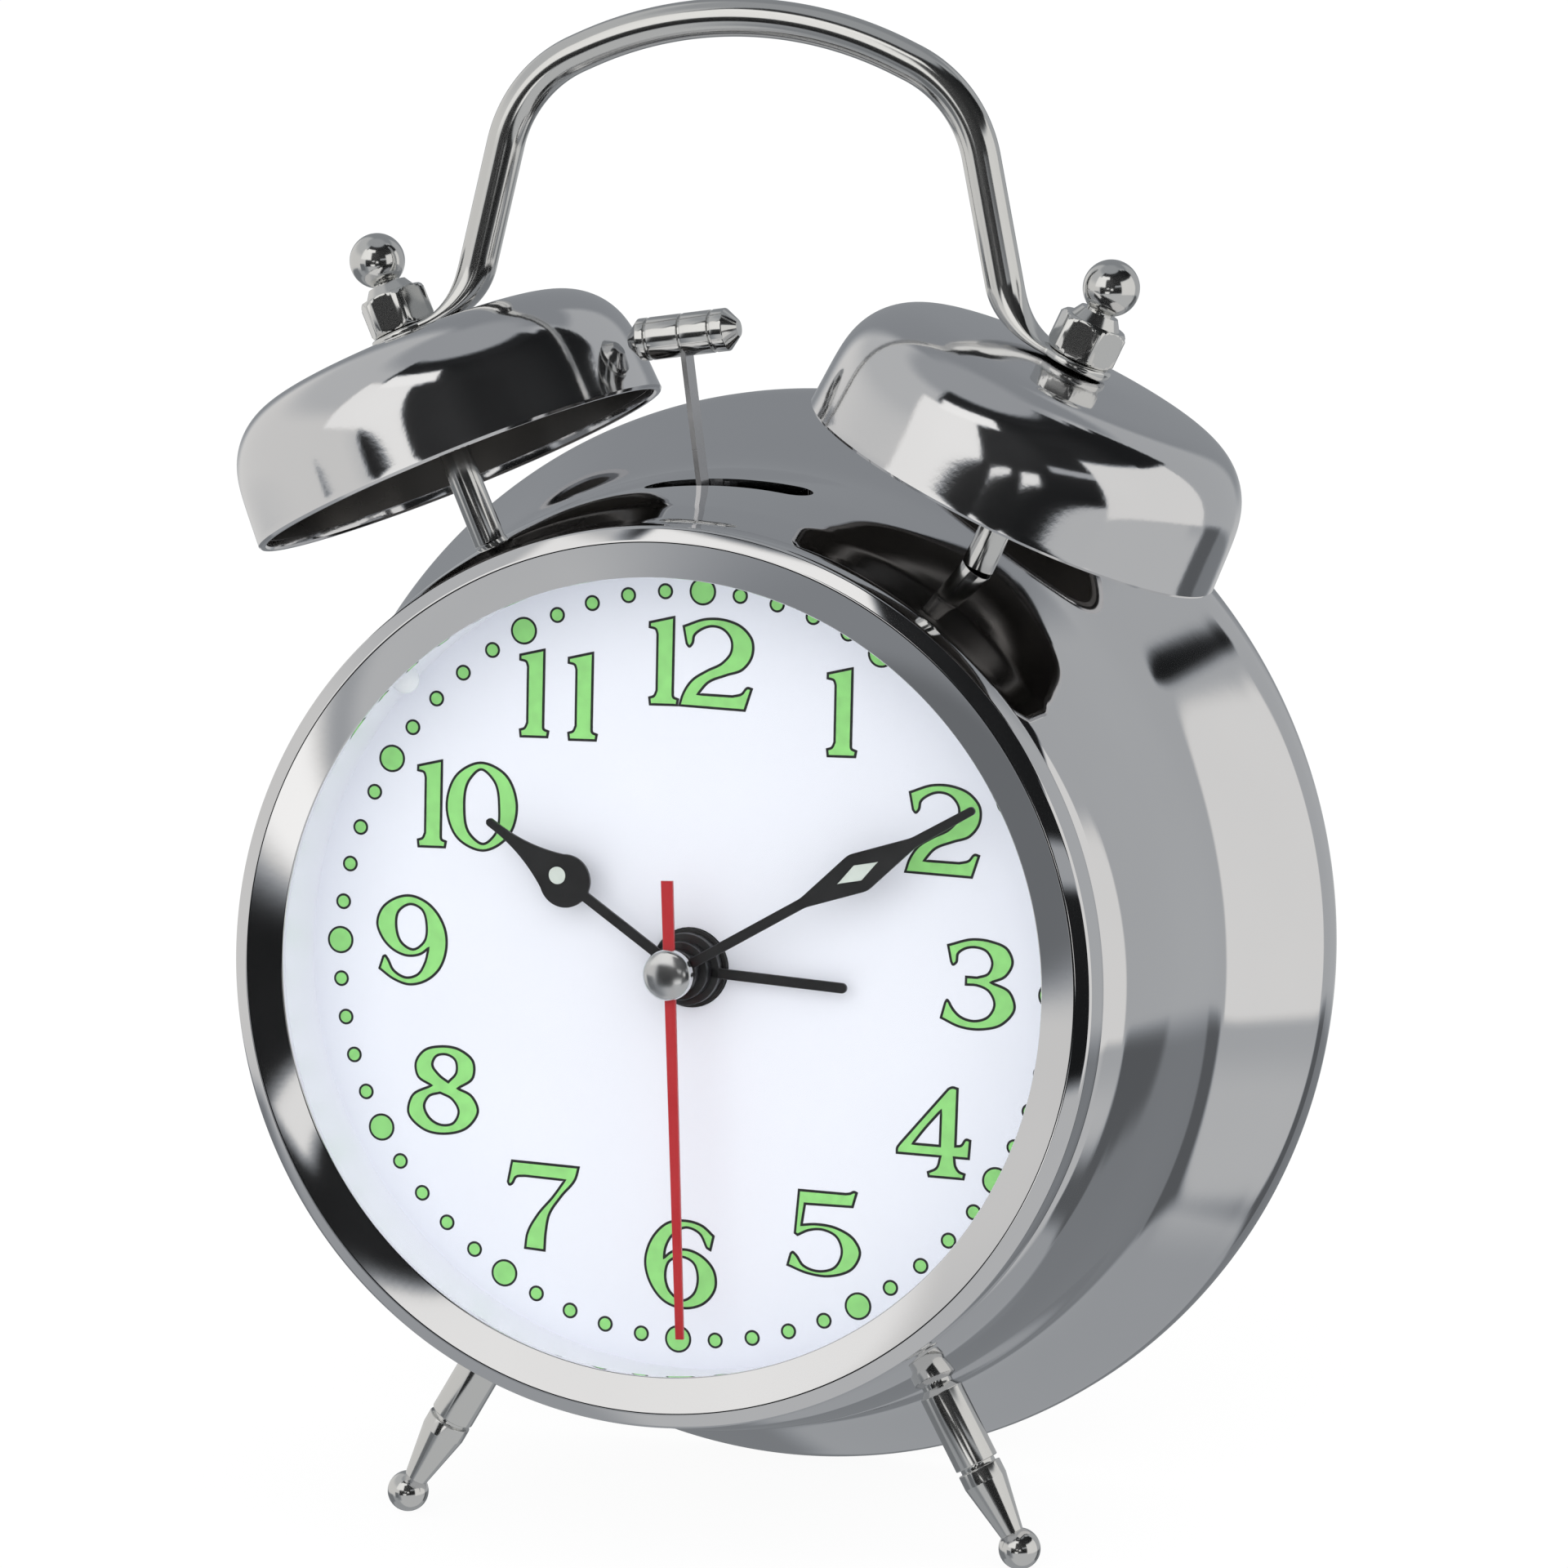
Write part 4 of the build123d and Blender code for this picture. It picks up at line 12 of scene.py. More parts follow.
import bmesh
import bpy
import numpy as np
from mathutils import Matrix
from mathutils.geometry import tessellate_polygon


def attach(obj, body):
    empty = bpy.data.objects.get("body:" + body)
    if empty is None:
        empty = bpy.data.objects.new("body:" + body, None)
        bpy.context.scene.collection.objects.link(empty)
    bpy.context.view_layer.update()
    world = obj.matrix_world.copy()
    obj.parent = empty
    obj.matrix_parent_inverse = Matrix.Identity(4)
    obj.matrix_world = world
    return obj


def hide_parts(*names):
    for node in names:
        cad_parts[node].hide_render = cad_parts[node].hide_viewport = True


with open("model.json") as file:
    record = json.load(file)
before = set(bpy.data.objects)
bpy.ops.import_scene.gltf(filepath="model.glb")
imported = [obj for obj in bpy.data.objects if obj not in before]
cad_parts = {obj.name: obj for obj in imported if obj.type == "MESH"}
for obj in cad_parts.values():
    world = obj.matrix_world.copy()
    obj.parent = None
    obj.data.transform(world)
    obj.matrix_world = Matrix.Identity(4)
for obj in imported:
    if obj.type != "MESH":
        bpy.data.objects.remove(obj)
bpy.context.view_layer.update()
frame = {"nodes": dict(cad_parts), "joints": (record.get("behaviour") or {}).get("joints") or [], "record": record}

log = logging.getLogger("alarm_clock")
Array = np.ndarray
Piece = bpy.types.Object
Material = bpy.types.Material
Socket = bpy.types.NodeSocket
Node = bpy.types.Node
Tree = bpy.types.NodeTree
Pair = tuple[float, float]
Triple = tuple[float, float, float]
MM = 0.001
SHARP = np.radians(32.0)
DIAL_TURN = 0.55
NOISE_SPAN = (0.3, 0.7)


class Body(str, Enum):
    """The CAD bodies that new pieces ride on."""

    CASE = "case"
    HAMMER = "hammer"
    SECONDS = "seconds"
    MINUTES = "minutes"
    HOURS = "hours"
    ALARM = "alarm_dial"


class Side(Enum):
    """Left and right of the clock, as the reader sees it."""

    LEFT = -1
    RIGHT = 1

    @property
    def word(self) -> str:
        """Lower-case name used in piece names."""
        return self.name.lower()


# Places and surfaces


@dataclass(frozen=True)
class ClockFrame:
    """The clock's leaning frame, read from the seconds joint.

    Row point = centre + turn of the clock point by the lean about x.
    """

    centre: Array
    lean: float

    @classmethod
    def from_joints(cls, joints: Sequence[dict], wheel_depth: float = 12.8) -> "ClockFrame":
        """Find the frame from the joint of the seconds arbor.

        Args:
            joints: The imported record's joints.
            wheel_depth: Depth of that joint behind the dial.

        Returns:
            The clock's frame.
        """
        spin = next(j for j in joints if j["name"] == "seconds_spin")
        back = np.array(spin["axis"], float)
        centre = np.array(spin["pos_m"], float) - back * wheel_depth * MM
        return cls(centre, float(np.arctan2(-back[2], back[1])))

    def turn(self, vectors: Array) -> Array:
        """Turn clock-frame vectors into the row frame: x stays, y and z turn by the lean.

        Args:
            vectors: Vectors (..., 3) in the clock's frame.

        Returns:
            The vectors in the row frame.
        """
        v = np.asarray(vectors, float)
        c, s = np.cos(self.lean), np.sin(self.lean)
        return np.stack([v[..., 0], v[..., 1] * c + v[..., 2] * s, v[..., 2] * c - v[..., 1] * s], -1)

    def place(self, points: Array) -> Array:
        """Row-frame metres of clock-frame millimetres."""
        return self.turn(points) * MM + self.centre


@dataclass(frozen=True)
class Spindle:
    """A turning axis in the clock's frame: origin, axis and the side that the turn starts from."""

    origin: Array
    axis: Array
    side: Array

    @classmethod
    def dial(cls) -> "Spindle":
        """The hands' axis: heights are depths behind the dial."""
        return cls(np.zeros(3), np.array([0.0, 1, 0]), np.array([0.0, 0, 1]))

    @classmethod
    def radial(cls, angle: float, depth: float, rise: float = 0.0) -> "Spindle":
        """Axis from the clock's middle line outwards at a clock angle in degrees, at a depth and rise."""
        a = np.radians(angle)
        return cls(np.array([0, depth, rise]), np.array([np.sin(a), 0, np.cos(a)]), np.array([0.0, -1, 0]))

    def at(self, radius: Array, height: Array, turn: Array) -> Array:
        """origin + height·axis + radius·(cos turn·side + sin turn·(axis × side)).

        Args:
            radius: Distances from the axis.
            height: Distances along it from the origin.
            turn: Angles from the side, in radians.

        Returns:
            Points (..., 3) in the clock's frame.
        """
        across = np.cross(self.axis, self.side)
        r, h, t = (np.asarray(block)[..., None] for block in (radius, height, turn))
        return self.origin + h * self.axis + r * (np.cos(t) * self.side + np.sin(t) * across)


@dataclass
class Shell:
    """Points (n, 3) and face index arrays of a surface, in the clock's frame."""

    points: Array
    faces: list[Array]

    def __add__(self, other: "Shell") -> "Shell":
        """Both surfaces in one."""
        shifted = [f + len(self.points) for f in other.faces]
        return Shell(np.vstack([self.points, other.points]), self.faces + shifted)


def full_turn(steps: int) -> Array:
    """Angles of one turn in equal steps."""
    return np.linspace(0, 2 * np.pi, steps, endpoint=False)


def turned(points: Array, degrees: float) -> Array:
    """Points turned clockwise in the dial's plane, as its reader sees it.

    Args:
        points: Points or vectors (n, 3).
        degrees: Angle of the turn.

    Returns:
        The turned points.
    """
    a = np.radians(degrees)
    x, y, z = np.asarray(points, float).T
    return np.stack([x * np.cos(a) + z * np.sin(a), y, z * np.cos(a) - x * np.sin(a)], -1)


def ball_arc(radius: float, height: float, neck: float, steps: int) -> Array:
    """Profile of a ball at a height: r·(sin t, cos t) from where a neck meets it to its top."""
    turn = np.linspace(np.pi - np.arcsin(neck / radius), 0, steps)
    return np.stack([radius * np.sin(turn), height + radius * np.cos(turn)], -1)


def domed(radius: float, rise: float, top: float, seat: float, steps: int, power: float = 1.0) -> Array:
    """Profile of a dome, (r·sin(t)^p, top + rise·(1 - cos t)), with a straight wall down to its seat.

    Args:
        radius: Radius at the dome's foot.
        rise: Height of the dome.
        top: Place of its top along the axis.
        seat: Place of the seat along the axis.
        steps: Points on the dome.
        power: Power p; below 1 the dome is fuller.

    Returns:
        Points (radius, height) from the top to the seat's middle.
    """
    turn = np.linspace(0, np.pi / 2, steps)
    dome = np.stack([radius * np.sin(turn) ** power, top + rise * (1 - np.cos(turn))], -1)
    return np.vstack([dome, [(radius, seat), (0, seat)]])


def unit_rows(vectors: Array) -> Array:
    """Vectors brought to length 1."""
    return vectors / np.linalg.norm(vectors, axis=1, keepdims=True)


def distances(line: Array) -> Array:
    """Way from a polyline's start to each of its points."""
    return np.r_[0, np.cumsum(np.linalg.norm(np.diff(line, axis=0), axis=1))]


def sampled(line: Array, run: Array) -> Array:
    """Points of a polyline at distances from its start."""
    return np.stack([np.interp(run, distances(line), column) for column in line.T], -1)


def loft(rows: Array, closed: bool = False, caps: bool = True) -> Shell:
    """Surface through rows of points; each row closes on itself.

    Point (i, j) joins (i, j+1), (i+1, j+1) and (i+1, j); the first and last rows are filled, or
    joined to each other when the rows close too.

    Args:
        rows: Points as (rows, columns, 3).
        closed: True if the last row joins the first.
        caps: True if open ends are filled.

    Returns:
        The surface, closed unless caps are left out.
    """
    n, m = rows.shape[:2]
    index = np.arange(n * m).reshape(n, m)
    near = index if closed else index[:-1]
    far = np.roll(index, -1, 0) if closed else index[1:]
    quads = np.stack([near, np.roll(near, -1, 1), np.roll(far, -1, 1), far], -1).reshape(-1, 4)
    faces = [quads]
    if caps and not closed:
        faces += [index[:1, ::-1], index[-1:]]
    return Shell(rows.reshape(-1, 3), faces)


def lathe(profile: Array, spindle: Spindle, steps: int = 192, closed: bool = False) -> Shell:
    """Profile (radius, height) turned round a spindle: p(i, t) = spindle.at(r_i, h_i, t)."""
    r, h = np.asarray(profile, float).T[..., None]
    return loft(spindle.at(*np.broadcast_arrays(r, h, full_turn(steps))), closed)


def rounded(corners: Array, radii: Sequence[float], steps: int = 10) -> Array:
    """Polyline whose inner corners are arcs: centre = corner + bisector·r/sin(half angle).

    Args:
        corners: Points (n, 2), open.
        radii: Radius at each of the n - 2 inner corners.
        steps: Points on each arc.

    Returns:
        Points (m, 2) without doubles.
    """
    p, r = np.asarray(corners, float), np.asarray(radii, float)[:, None] + 1e-9
    a, b = unit_rows(p[:-2] - p[1:-1]), unit_rows(p[2:] - p[1:-1])
    half = np.arccos(np.clip((a * b).sum(1, keepdims=True), -1, 1)) / 2
    centre = p[1:-1] + unit_rows(a + b) * r / np.sin(half)
    start, end = p[1:-1] + a * r / np.tan(half) - centre, p[1:-1] + b * r / np.tan(half) - centre
    sweep, s = np.pi - 2 * half[:, None], np.linspace(0, 1, steps)[None, :, None]
    arc = (np.sin((1 - s) * sweep) * start[:, None] + np.sin(s * sweep) * end[:, None]) / np.sin(sweep)
    line = np.vstack([p[:1], (arc + centre[:, None]).reshape(-1, 2), p[-1:]])
    return line[np.r_[True, np.linalg.norm(np.diff(line, axis=0), axis=1) > 1e-6]]


def evenly(line: Array, step: float) -> Array:
    """Points at equal distances along a polyline, ends kept."""
    length = distances(line)[-1]
    return sampled(line, np.linspace(0, length, int(np.ceil(length / step)) + 1))


def eased(line: Array, spread: float) -> Array:
    """Evenly spaced line, each point the bell-weighted mean of those near it, ends kept.

    Args:
        line: Points (n, 2).
        spread: Width of the weights, in points.

    Returns:
        The smoothed points.
    """
    reach = int(3 * spread)
    weight = np.exp(-0.5 * (np.arange(-reach, reach + 1) / spread) ** 2)
    longer = np.vstack([2 * line[0] - line[reach:0:-1], line, 2 * line[-1] - line[-2:-reach - 2:-1]])
    return np.stack([np.convolve(column, weight / weight.sum(), "valid") for column in longer.T], -1)


def walled(line: Array, wall: float) -> Array:
    """Closed section of a sheet: a polyline and its copy moved by the wall to the left of its run.

    Args:
        line: Points (n, 2).
        wall: Thickness of the sheet.

    Returns:
        Points (2n, 2), the copy running back.
    """
    run = unit_rows(np.gradient(line, axis=0))
    inner = line + wall * np.stack([-run[:, 1], run[:, 0]], -1)
    return np.vstack([line, inner[::-1]])


def smooth_step(value: Array, low: float, high: float) -> Array:
    """0 below low, 1 above high, 3s² - 2s³ between."""
    s = np.clip((np.asarray(value, float) - low) / (high - low), 0, 1)
    return s * s * (3 - 2 * s)


def linked(name: str, data: bpy.types.ID) -> Piece:
    """New object with that data, in the scene.

    Args:
        name: Object name.
        data: Mesh, lamp or camera.

    Returns:
        The object.
    """
    piece = bpy.data.objects.new(name, data)
    bpy.context.scene.collection.objects.link(piece)
    return piece


def raw_mesh(name: str, points: Array, faces: Sequence[Array]) -> bpy.types.Mesh:
    """Mesh from points in metres and blocks of face rows.

    Args:
        name: Mesh name.
        points: Points (n, 3).
        faces: Blocks of rows of point numbers.

    Returns:
        The mesh.
    """
    mesh = bpy.data.meshes.new(name)
    mesh.from_pydata(points.tolist(), [], [row for block in faces for row in block.tolist()])
    return mesh


def placement(axes: Array, spot: Array) -> Matrix:
    """World matrix of an object whose own axes are the rows of axes.

    Args:
        axes: The object's x, y and z axes, one a row.
        spot: Its place in metres.

    Returns:
        The matrix.
    """
    matrix = np.eye(4)
    matrix[:3, :3] = np.asarray(axes).T
    matrix[:3, 3] = spot
    return Matrix(matrix.tolist())


# Finishes


def wire(node: Node, inputs: dict) -> None:
    """Set a node's inputs: a socket is linked to its input, any other value is set on it.

    Args:
        node: The node.
        inputs: Values and sockets by the input's name or number.
    """
    for key, value in inputs.items():
        if isinstance(value, Socket):
            node.id_data.links.new(value, node.inputs[key])
        else:
            node.inputs[key].default_value = value


def added(tree: Tree, kind: str, inputs: dict, output: str = "", operation: str = "") -> Socket:
    """Add a shader node and set its inputs.

    Args:
        tree: Nodes of a material or world.
        kind: The node's type without its prefix.
        inputs: Values and sockets by the input's name or number.
        output: The output that is asked for, or else the first.
        operation: What a math node does.

    Returns:
        The output's socket.
    """
    node = tree.nodes.new("ShaderNode" + kind)
    if operation:
        node.operation = operation
    wire(node, inputs)
    return node.outputs[output or 0]


def new_material(name: str) -> tuple[Material, Tree, Node]:
    """Make a node material and return it with its tree and its Principled shader.

    Args:
        name: Material name.

    Returns:
        The material, its nodes and its shader.
    """
    material = bpy.data.materials.new(name)
    material.use_nodes = True
    return material, material.node_tree, material.node_tree.nodes["Principled BSDF"]


def show(tree: Tree, surface: Socket) -> None:
    """Let a material show a shader."""
    wire(tree.nodes["Material Output"], {"Surface": surface})


def object_noise(tree: Tree, scale: float, detail: float, stretch: Triple = (1, 1, 1)) -> Socket:
    """Noise on Object coordinates, stretched along the axes.

    Args:
        tree: The material's nodes.
        scale: Noise scale per metre.
        detail: Octaves.
        stretch: Factors on x, y and z before the noise.

    Returns:
        The noise factor's socket.
    """
    place = added(tree, "TexCoord", {}, "Object")
    mapped = added(tree, "Mapping", {"Vector": place, "Scale": stretch})
    return added(tree, "TexNoise", {"Vector": mapped, "Scale": scale, "Detail": detail}, "Fac")


def ranged(tree: Tree, factor: Socket, low: float, high: float, span: Pair = NOISE_SPAN) -> Socket:
    """Map a factor from a span to low..high."""
    limits = {"From Min": span[0], "From Max": span[1], "To Min": low, "To Max": high}
    return added(tree, "MapRange", {"Value": factor, **limits}, "Result")


def tinted(tree: Tree, factor: Socket, dark: Sequence[float], light: Sequence[float]) -> Socket:
    """Colour ramp from dark to light over the noise's span.

    Args:
        tree: The material's nodes.
        factor: Socket that picks the colour.
        dark: Colour at the span's start.
        light: Colour at its end.

    Returns:
        The colour's socket.
    """
    colour = added(tree, "ValToRGB", {"Fac": factor}, "Color")
    first, last = colour.node.color_ramp.elements
    first.position, last.position = NOISE_SPAN
    first.color, last.color = (*dark, 1), (*light, 1)
    return colour


@dataclass(frozen=True)
class Finish:
    """A surface finish: colour that varies a little, roughness range, fine bump and coat."""

    name: str
    colour: Triple
    variation: float = 0.04
    metallic: float = 0.0
    rough: Pair = (0.4, 0.5)
    patch_scale: float = 60.0
    grain_scale: float = 2500.0
    grain_height: float = 0.01
    grain_stretch: Triple = (1, 1, 1)
    coat: float = 0.0
    coat_rough: float = 0.08
    specular: float = 0.5
    grain_depth: float = 0.0001

    def material(self) -> Material:
        """Build the finish's material, or return it if it is there already.

        Returns:
            The material.
        """
        if self.name in bpy.data.materials:
            return bpy.data.materials[self.name]
        material, tree, shader = new_material(self.name)
        patches = object_noise(tree, self.patch_scale, detail=3)
        light = np.array(self.colour)
        dark, pale = light * (1 - self.variation), np.minimum(light * (1 + self.variation / 2), 1)
        wire(shader, {"Base Color": tinted(tree, patches, dark, pale), "Metallic": self.metallic,
                      "Roughness": ranged(tree, patches, *self.rough), "Specular IOR Level": self.specular,
                      "Coat Weight": self.coat, "Coat Roughness": self.coat_rough})
        if self.grain_height:
            grain = object_noise(tree, self.grain_scale, detail=2, stretch=self.grain_stretch)
            bump = {"Height": grain, "Strength": self.grain_height, "Distance": self.grain_depth}
            wire(shader, {"Normal": added(tree, "Bump", bump)})
        return material


@dataclass(frozen=True)
class ClearGlass:
    """Clear flat glass that lets lamps through: mirror share = head_on + (edge_on - head_on)·slant^power."""

    name: str = "lens_glass"
    tint: Triple = (0.995, 0.997, 0.998)
    head_on: float = 0.015
    edge_on: float = 0.6
    power: float = 5.0
    gloss: float = 0.01

    def material(self) -> Material:
        """Build the glass, or return it if it is there already.

        Returns:
            The material.
        """
        if self.name in bpy.data.materials:
            return bpy.data.materials[self.name]
        material, tree, shader = new_material(self.name)
        tree.nodes.remove(shader)
        slant = added(tree, "LayerWeight", {}, "Facing")
        steep = added(tree, "Math", {0: slant, 1: self.power}, operation="POWER")
        share = ranged(tree, steep, self.head_on, self.edge_on, (0, 1))
        clear = added(tree, "BsdfTransparent", {"Color": (*self.tint, 1)})
        gloss = added(tree, "BsdfGlossy", {"Roughness": self.gloss})
        show(tree, added(tree, "MixShader", {"Fac": share, 1: clear, 2: gloss}))
        return material


CHROME = Finish("polished_chrome", (0.78, 0.78, 0.79), 0.02, 1.0, (0.035, 0.06), 40.0, 700.0, 0.006)
SPUN_CHROME = Finish("spun_chrome", (0.78, 0.78, 0.79), 0.02, 1.0, (0.06, 0.10), 40.0, 1500.0, 0.035)
# Inside of the bells: rougher metal whose dark colour is painted shade in their hollows
BELL_PAINTED_SHADE = Finish("dull_bell_inside", (0.22, 0.21, 0.20), 0.1, 1.0, (0.26, 0.36), 60.0, 1500.0, 0.02)
NICKEL = Finish("bright_nickel", (0.70, 0.69, 0.67), 0.05, 1.0, (0.12, 0.20), 120.0, 1800.0, 0.012)
SPRING = Finish("spring_strip", (0.55, 0.55, 0.56), 0.06, 1.0, (0.22, 0.32), 150.0, 1200.0, 0.03,
                (1, 1, 0.08))
DIAL_WHITE = Finish("dial_white", (0.86, 0.88, 0.95), 0.01, 0.0, (0.42, 0.5), 80.0, 3500.0, 0.01)
RING_WHITE = Finish("light_ring", (0.92, 0.93, 0.99), 0.02, 0.0, (0.3, 0.4), 60.0, 2500.0, 0.01)
PRINT_GREEN = Finish("luminous_green", (0.30, 0.73, 0.22), 0.10, 0.0, (0.6, 0.75), 900.0, 5000.0, 0.05)
PRINT_BLACK = Finish("print_black", (0.012, 0.014, 0.013), 0.10, 0.0, (0.5, 0.6), 300.0, 4000.0, 0.02)
HAND_BLACK = Finish("black_lacquer", (0.012, 0.012, 0.013), 0.10, 0.0, (0.34, 0.44), 250.0, 3000.0, 0.02,
                    coat=0.2)
HAND_PALE = Finish("pale_insert", (0.60, 0.66, 0.61), 0.06, 0.0, (0.55, 0.7), 700.0, 4000.0, 0.03)
HAND_RED = Finish("red_lacquer", (0.45, 0.012, 0.018), 0.06, 0.0, (0.3, 0.4), 200.0, 3000.0, 0.01, coat=0.3)
CAP_SILVER = Finish("turned_cap", (0.72, 0.72, 0.72), 0.05, 1.0, (0.12, 0.2), 300.0, 1500.0, 0.02)
LAMP_CLEAR = Finish("clear_lamp", (0.66, 0.70, 0.80), 0.04, 0.0, (0.06, 0.1), 300.0, 2500.0, 0.0, coat=1.0)
COVER_BLACK = Finish("black_moulding", (0.020, 0.020, 0.022), 0.15, 0.0, (0.38, 0.5), 70.0, 1500.0, 0.10)
CONTROL_BLACK = Finish("gloss_control", (0.014, 0.014, 0.015), 0.10, 0.0, (0.22, 0.3), 90.0, 2200.0, 0.03)
PLAIN_STEEL = Finish("zinc_steel", (0.58, 0.58, 0.59), 0.10, 1.0, (0.26, 0.38), 160.0, 1500.0, 0.04)
GEAR_WHITE = Finish("gear_nylon", (0.80, 0.80, 0.77), 0.04, 0.0, (0.35, 0.45), 150.0, 2500.0, 0.02)
FRAME_GREY = Finish("grey_moulding", (0.30, 0.30, 0.31), 0.08, 0.0, (0.45, 0.6), 90.0, 1500.0, 0.06)
BOX_BLACK = Finish("box_moulding", (0.022, 0.022, 0.022), 0.12, 0.0, (0.4, 0.55), 90.0, 1500.0, 0.08)
COIL_COPPER = Finish("copper_winding", (0.60, 0.27, 0.12), 0.15, 1.0, (0.25, 0.4), 200.0, 4000.0, 0.2,
                     (1, 12, 1))
BOARD_GREEN = Finish("board_laminate", (0.04, 0.22, 0.09), 0.15, 0.0, (0.35, 0.5), 200.0, 3000.0, 0.04)
CELL_SLEEVE = Finish("cell_sleeve", (0.10, 0.10, 0.11), 0.06, 0.0, (0.25, 0.35), 100.0, 2500.0, 0.01)

SLOT_FINISHES = {
    "chrome_sheet": CHROME, "bright_nickel": NICKEL, "spring_steel": SPRING, "white_dial": DIAL_WHITE,
    "white_ring": RING_WHITE, "clear_lamp": LAMP_CLEAR, "black_hand": HAND_BLACK, "red_hand": HAND_RED,
    "silver_cap": CAP_SILVER, "grey_frame": FRAME_GREY, "black_box": BOX_BLACK, "white_gear": GEAR_WHITE,
    "plain_steel": PLAIN_STEEL, "copper_coil": COIL_COPPER, "green_board": BOARD_GREEN,
    "black_cover": COVER_BLACK, "black_control": CONTROL_BLACK, "cell_jacket": CELL_SLEEVE,
}


# Workshop


@dataclass
class Workshop:
    """Turns shells into finished objects that ride on the CAD bodies."""

    clock: ClockFrame
    doubles: float = 2e-7
    slivers: float = 1e-8

    def mesh(self, name: str, shell: Shell, sharp: float = SHARP) -> Piece:
        """Make a mesh object with merged doubles, outward faces and smooth shading.

        Args:
            name: Piece name.
            shell: Surface in the clock's frame.
            sharp: Edges with a larger angle stay sharp.

        Returns:
            The linked object, at the origin, its place in its mesh.
        """
        mesh = raw_mesh(name, self.clock.place(shell.points), shell.faces)
        work = bmesh.new()
        work.from_mesh(mesh)
        bmesh.ops.remove_doubles(work, verts=work.verts, dist=self.doubles)
        bmesh.ops.dissolve_degenerate(work, edges=work.edges, dist=self.slivers)
        bmesh.ops.recalc_face_normals(work, faces=work.faces)
        work.to_mesh(mesh)
        work.free()
        mesh.shade_smooth()
        mesh.set_sharp_from_angle(angle=sharp)
        return linked(name, mesh)

    def make(self, name: str, shell: Shell, finish: Finish, body: Body, slot: str, *nodes: str) -> None:
        """Make a mesh object of a shell and fit it."""
        self.fit(self.mesh(name, shell), finish, body, slot, *nodes)

    def fit(self, piece: Piece, finish: Finish, body: Body, slot: str, *nodes: str) -> None:
        """Dress a piece, let it ride on a body and stand for CAD nodes.

        Args:
            piece: The object.
            finish: Its finish.
            body: The body that it rides on.
            slot: The record's material slot; not used.
            nodes: CAD nodes that it replaces.
        """
        piece.data.materials.clear()
        piece.data.materials.append(finish.material())
        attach(piece, body.value)
        if nodes:
            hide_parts(*nodes)
        log.info("piece %s on %s: %d faces", piece.name, body.value, len(piece.data.polygons))

    def cut(self, piece: Piece, tool: Shell) -> None:
        """Cut a closed tool shape out of a piece and bake the result into its mesh.

        Args:
            piece: The object that is cut.
            tool: Closed surface in the clock's frame.
        """
        cutter = self.mesh(piece.name + "_tool", tool)
        modifier = piece.modifiers.new("opening", "BOOLEAN")
        modifier.operation, modifier.solver, modifier.object = "DIFFERENCE", "EXACT", cutter
        graph = bpy.context.evaluated_depsgraph_get()
        piece.data = bpy.data.meshes.new_from_object(piece.evaluated_get(graph))
        piece.modifiers.clear()
        bpy.data.objects.remove(cutter)
        piece.data.shade_smooth()
        piece.data.set_sharp_from_angle(angle=SHARP)


# Case and front


@dataclass
class CaseDrum:
    """Drum that flares into a wide rear rim, drawn from one sheet, with the hammer's slot on top."""

    corners: tuple = ((46.5, -10.3), (46.5, -7.05), (47.7, -7.05), (49.3, -2.4), (50.95, 7.0),
                      (52.165, 20.85), (59.7, 39.07), (59.7, 43.4), (57.6, 43.4))
    radii: tuple = (0.1, 0.3, 10.0, 40.0, 12.0, 7.0, 1.2)
    wall: float = 0.8
    slot_length: float = 18.8
    slot_width: float = 4.6
    slot_depth: float = 8.6
    eased_from: Pair = (-4.0, 0.0)
    eased_to: Pair = (33.0, 37.0)
    spread: float = 3.0
    neck_step: float = 2.0
    step: float = 0.6
    steps: int = 360

    def build(self, shop: Workshop) -> None:
        """Turn the sheet's section round the hands' axis and cut the slot.

        Args:
            shop: The workshop.
        """
        line = rounded(self.corners, self.radii, 14)
        fine = np.vstack([evenly(line[:2], self.neck_step), evenly(line[1:], self.step)[1:]])
        depth = fine[:, 1]
        between = smooth_step(depth, *self.eased_from) * (1 - smooth_step(depth, *self.eased_to))
        fine = fine + between[:, None] * (eased(fine, self.spread) - fine)
        shell = lathe(walled(fine, self.wall), Spindle.dial(), self.steps, True)
        piece = shop.mesh("case_drum", shell)
        shop.cut(piece, self.slot())
        shop.fit(piece, CHROME, Body.CASE, "chrome_sheet", "case_shell")

    def slot(self, low: float = 46.0, high: float = 56.0, steps: int = 24) -> Shell:
        """Stadium prism: two half circles joined by straight sides, carried up through the drum.

        Args:
            low: Height of its bottom.
            high: Height of its top.
            steps: Points on each half circle.

        Returns:
            The closed prism.
        """
        turn = np.linspace(-np.pi / 2, np.pi / 2, steps)
        half, r = (self.slot_length - self.slot_width) / 2, self.slot_width / 2
        right = np.stack([half + r * np.cos(turn), self.slot_depth + r * np.sin(turn)], -1)
        left = np.stack([-half - r * np.cos(turn), self.slot_depth - r * np.sin(turn)], -1)
        x, y = np.vstack([right, left]).T
        return loft(np.stack(np.broadcast_arrays(x, y, np.array([low, high])[:, None]), -1))


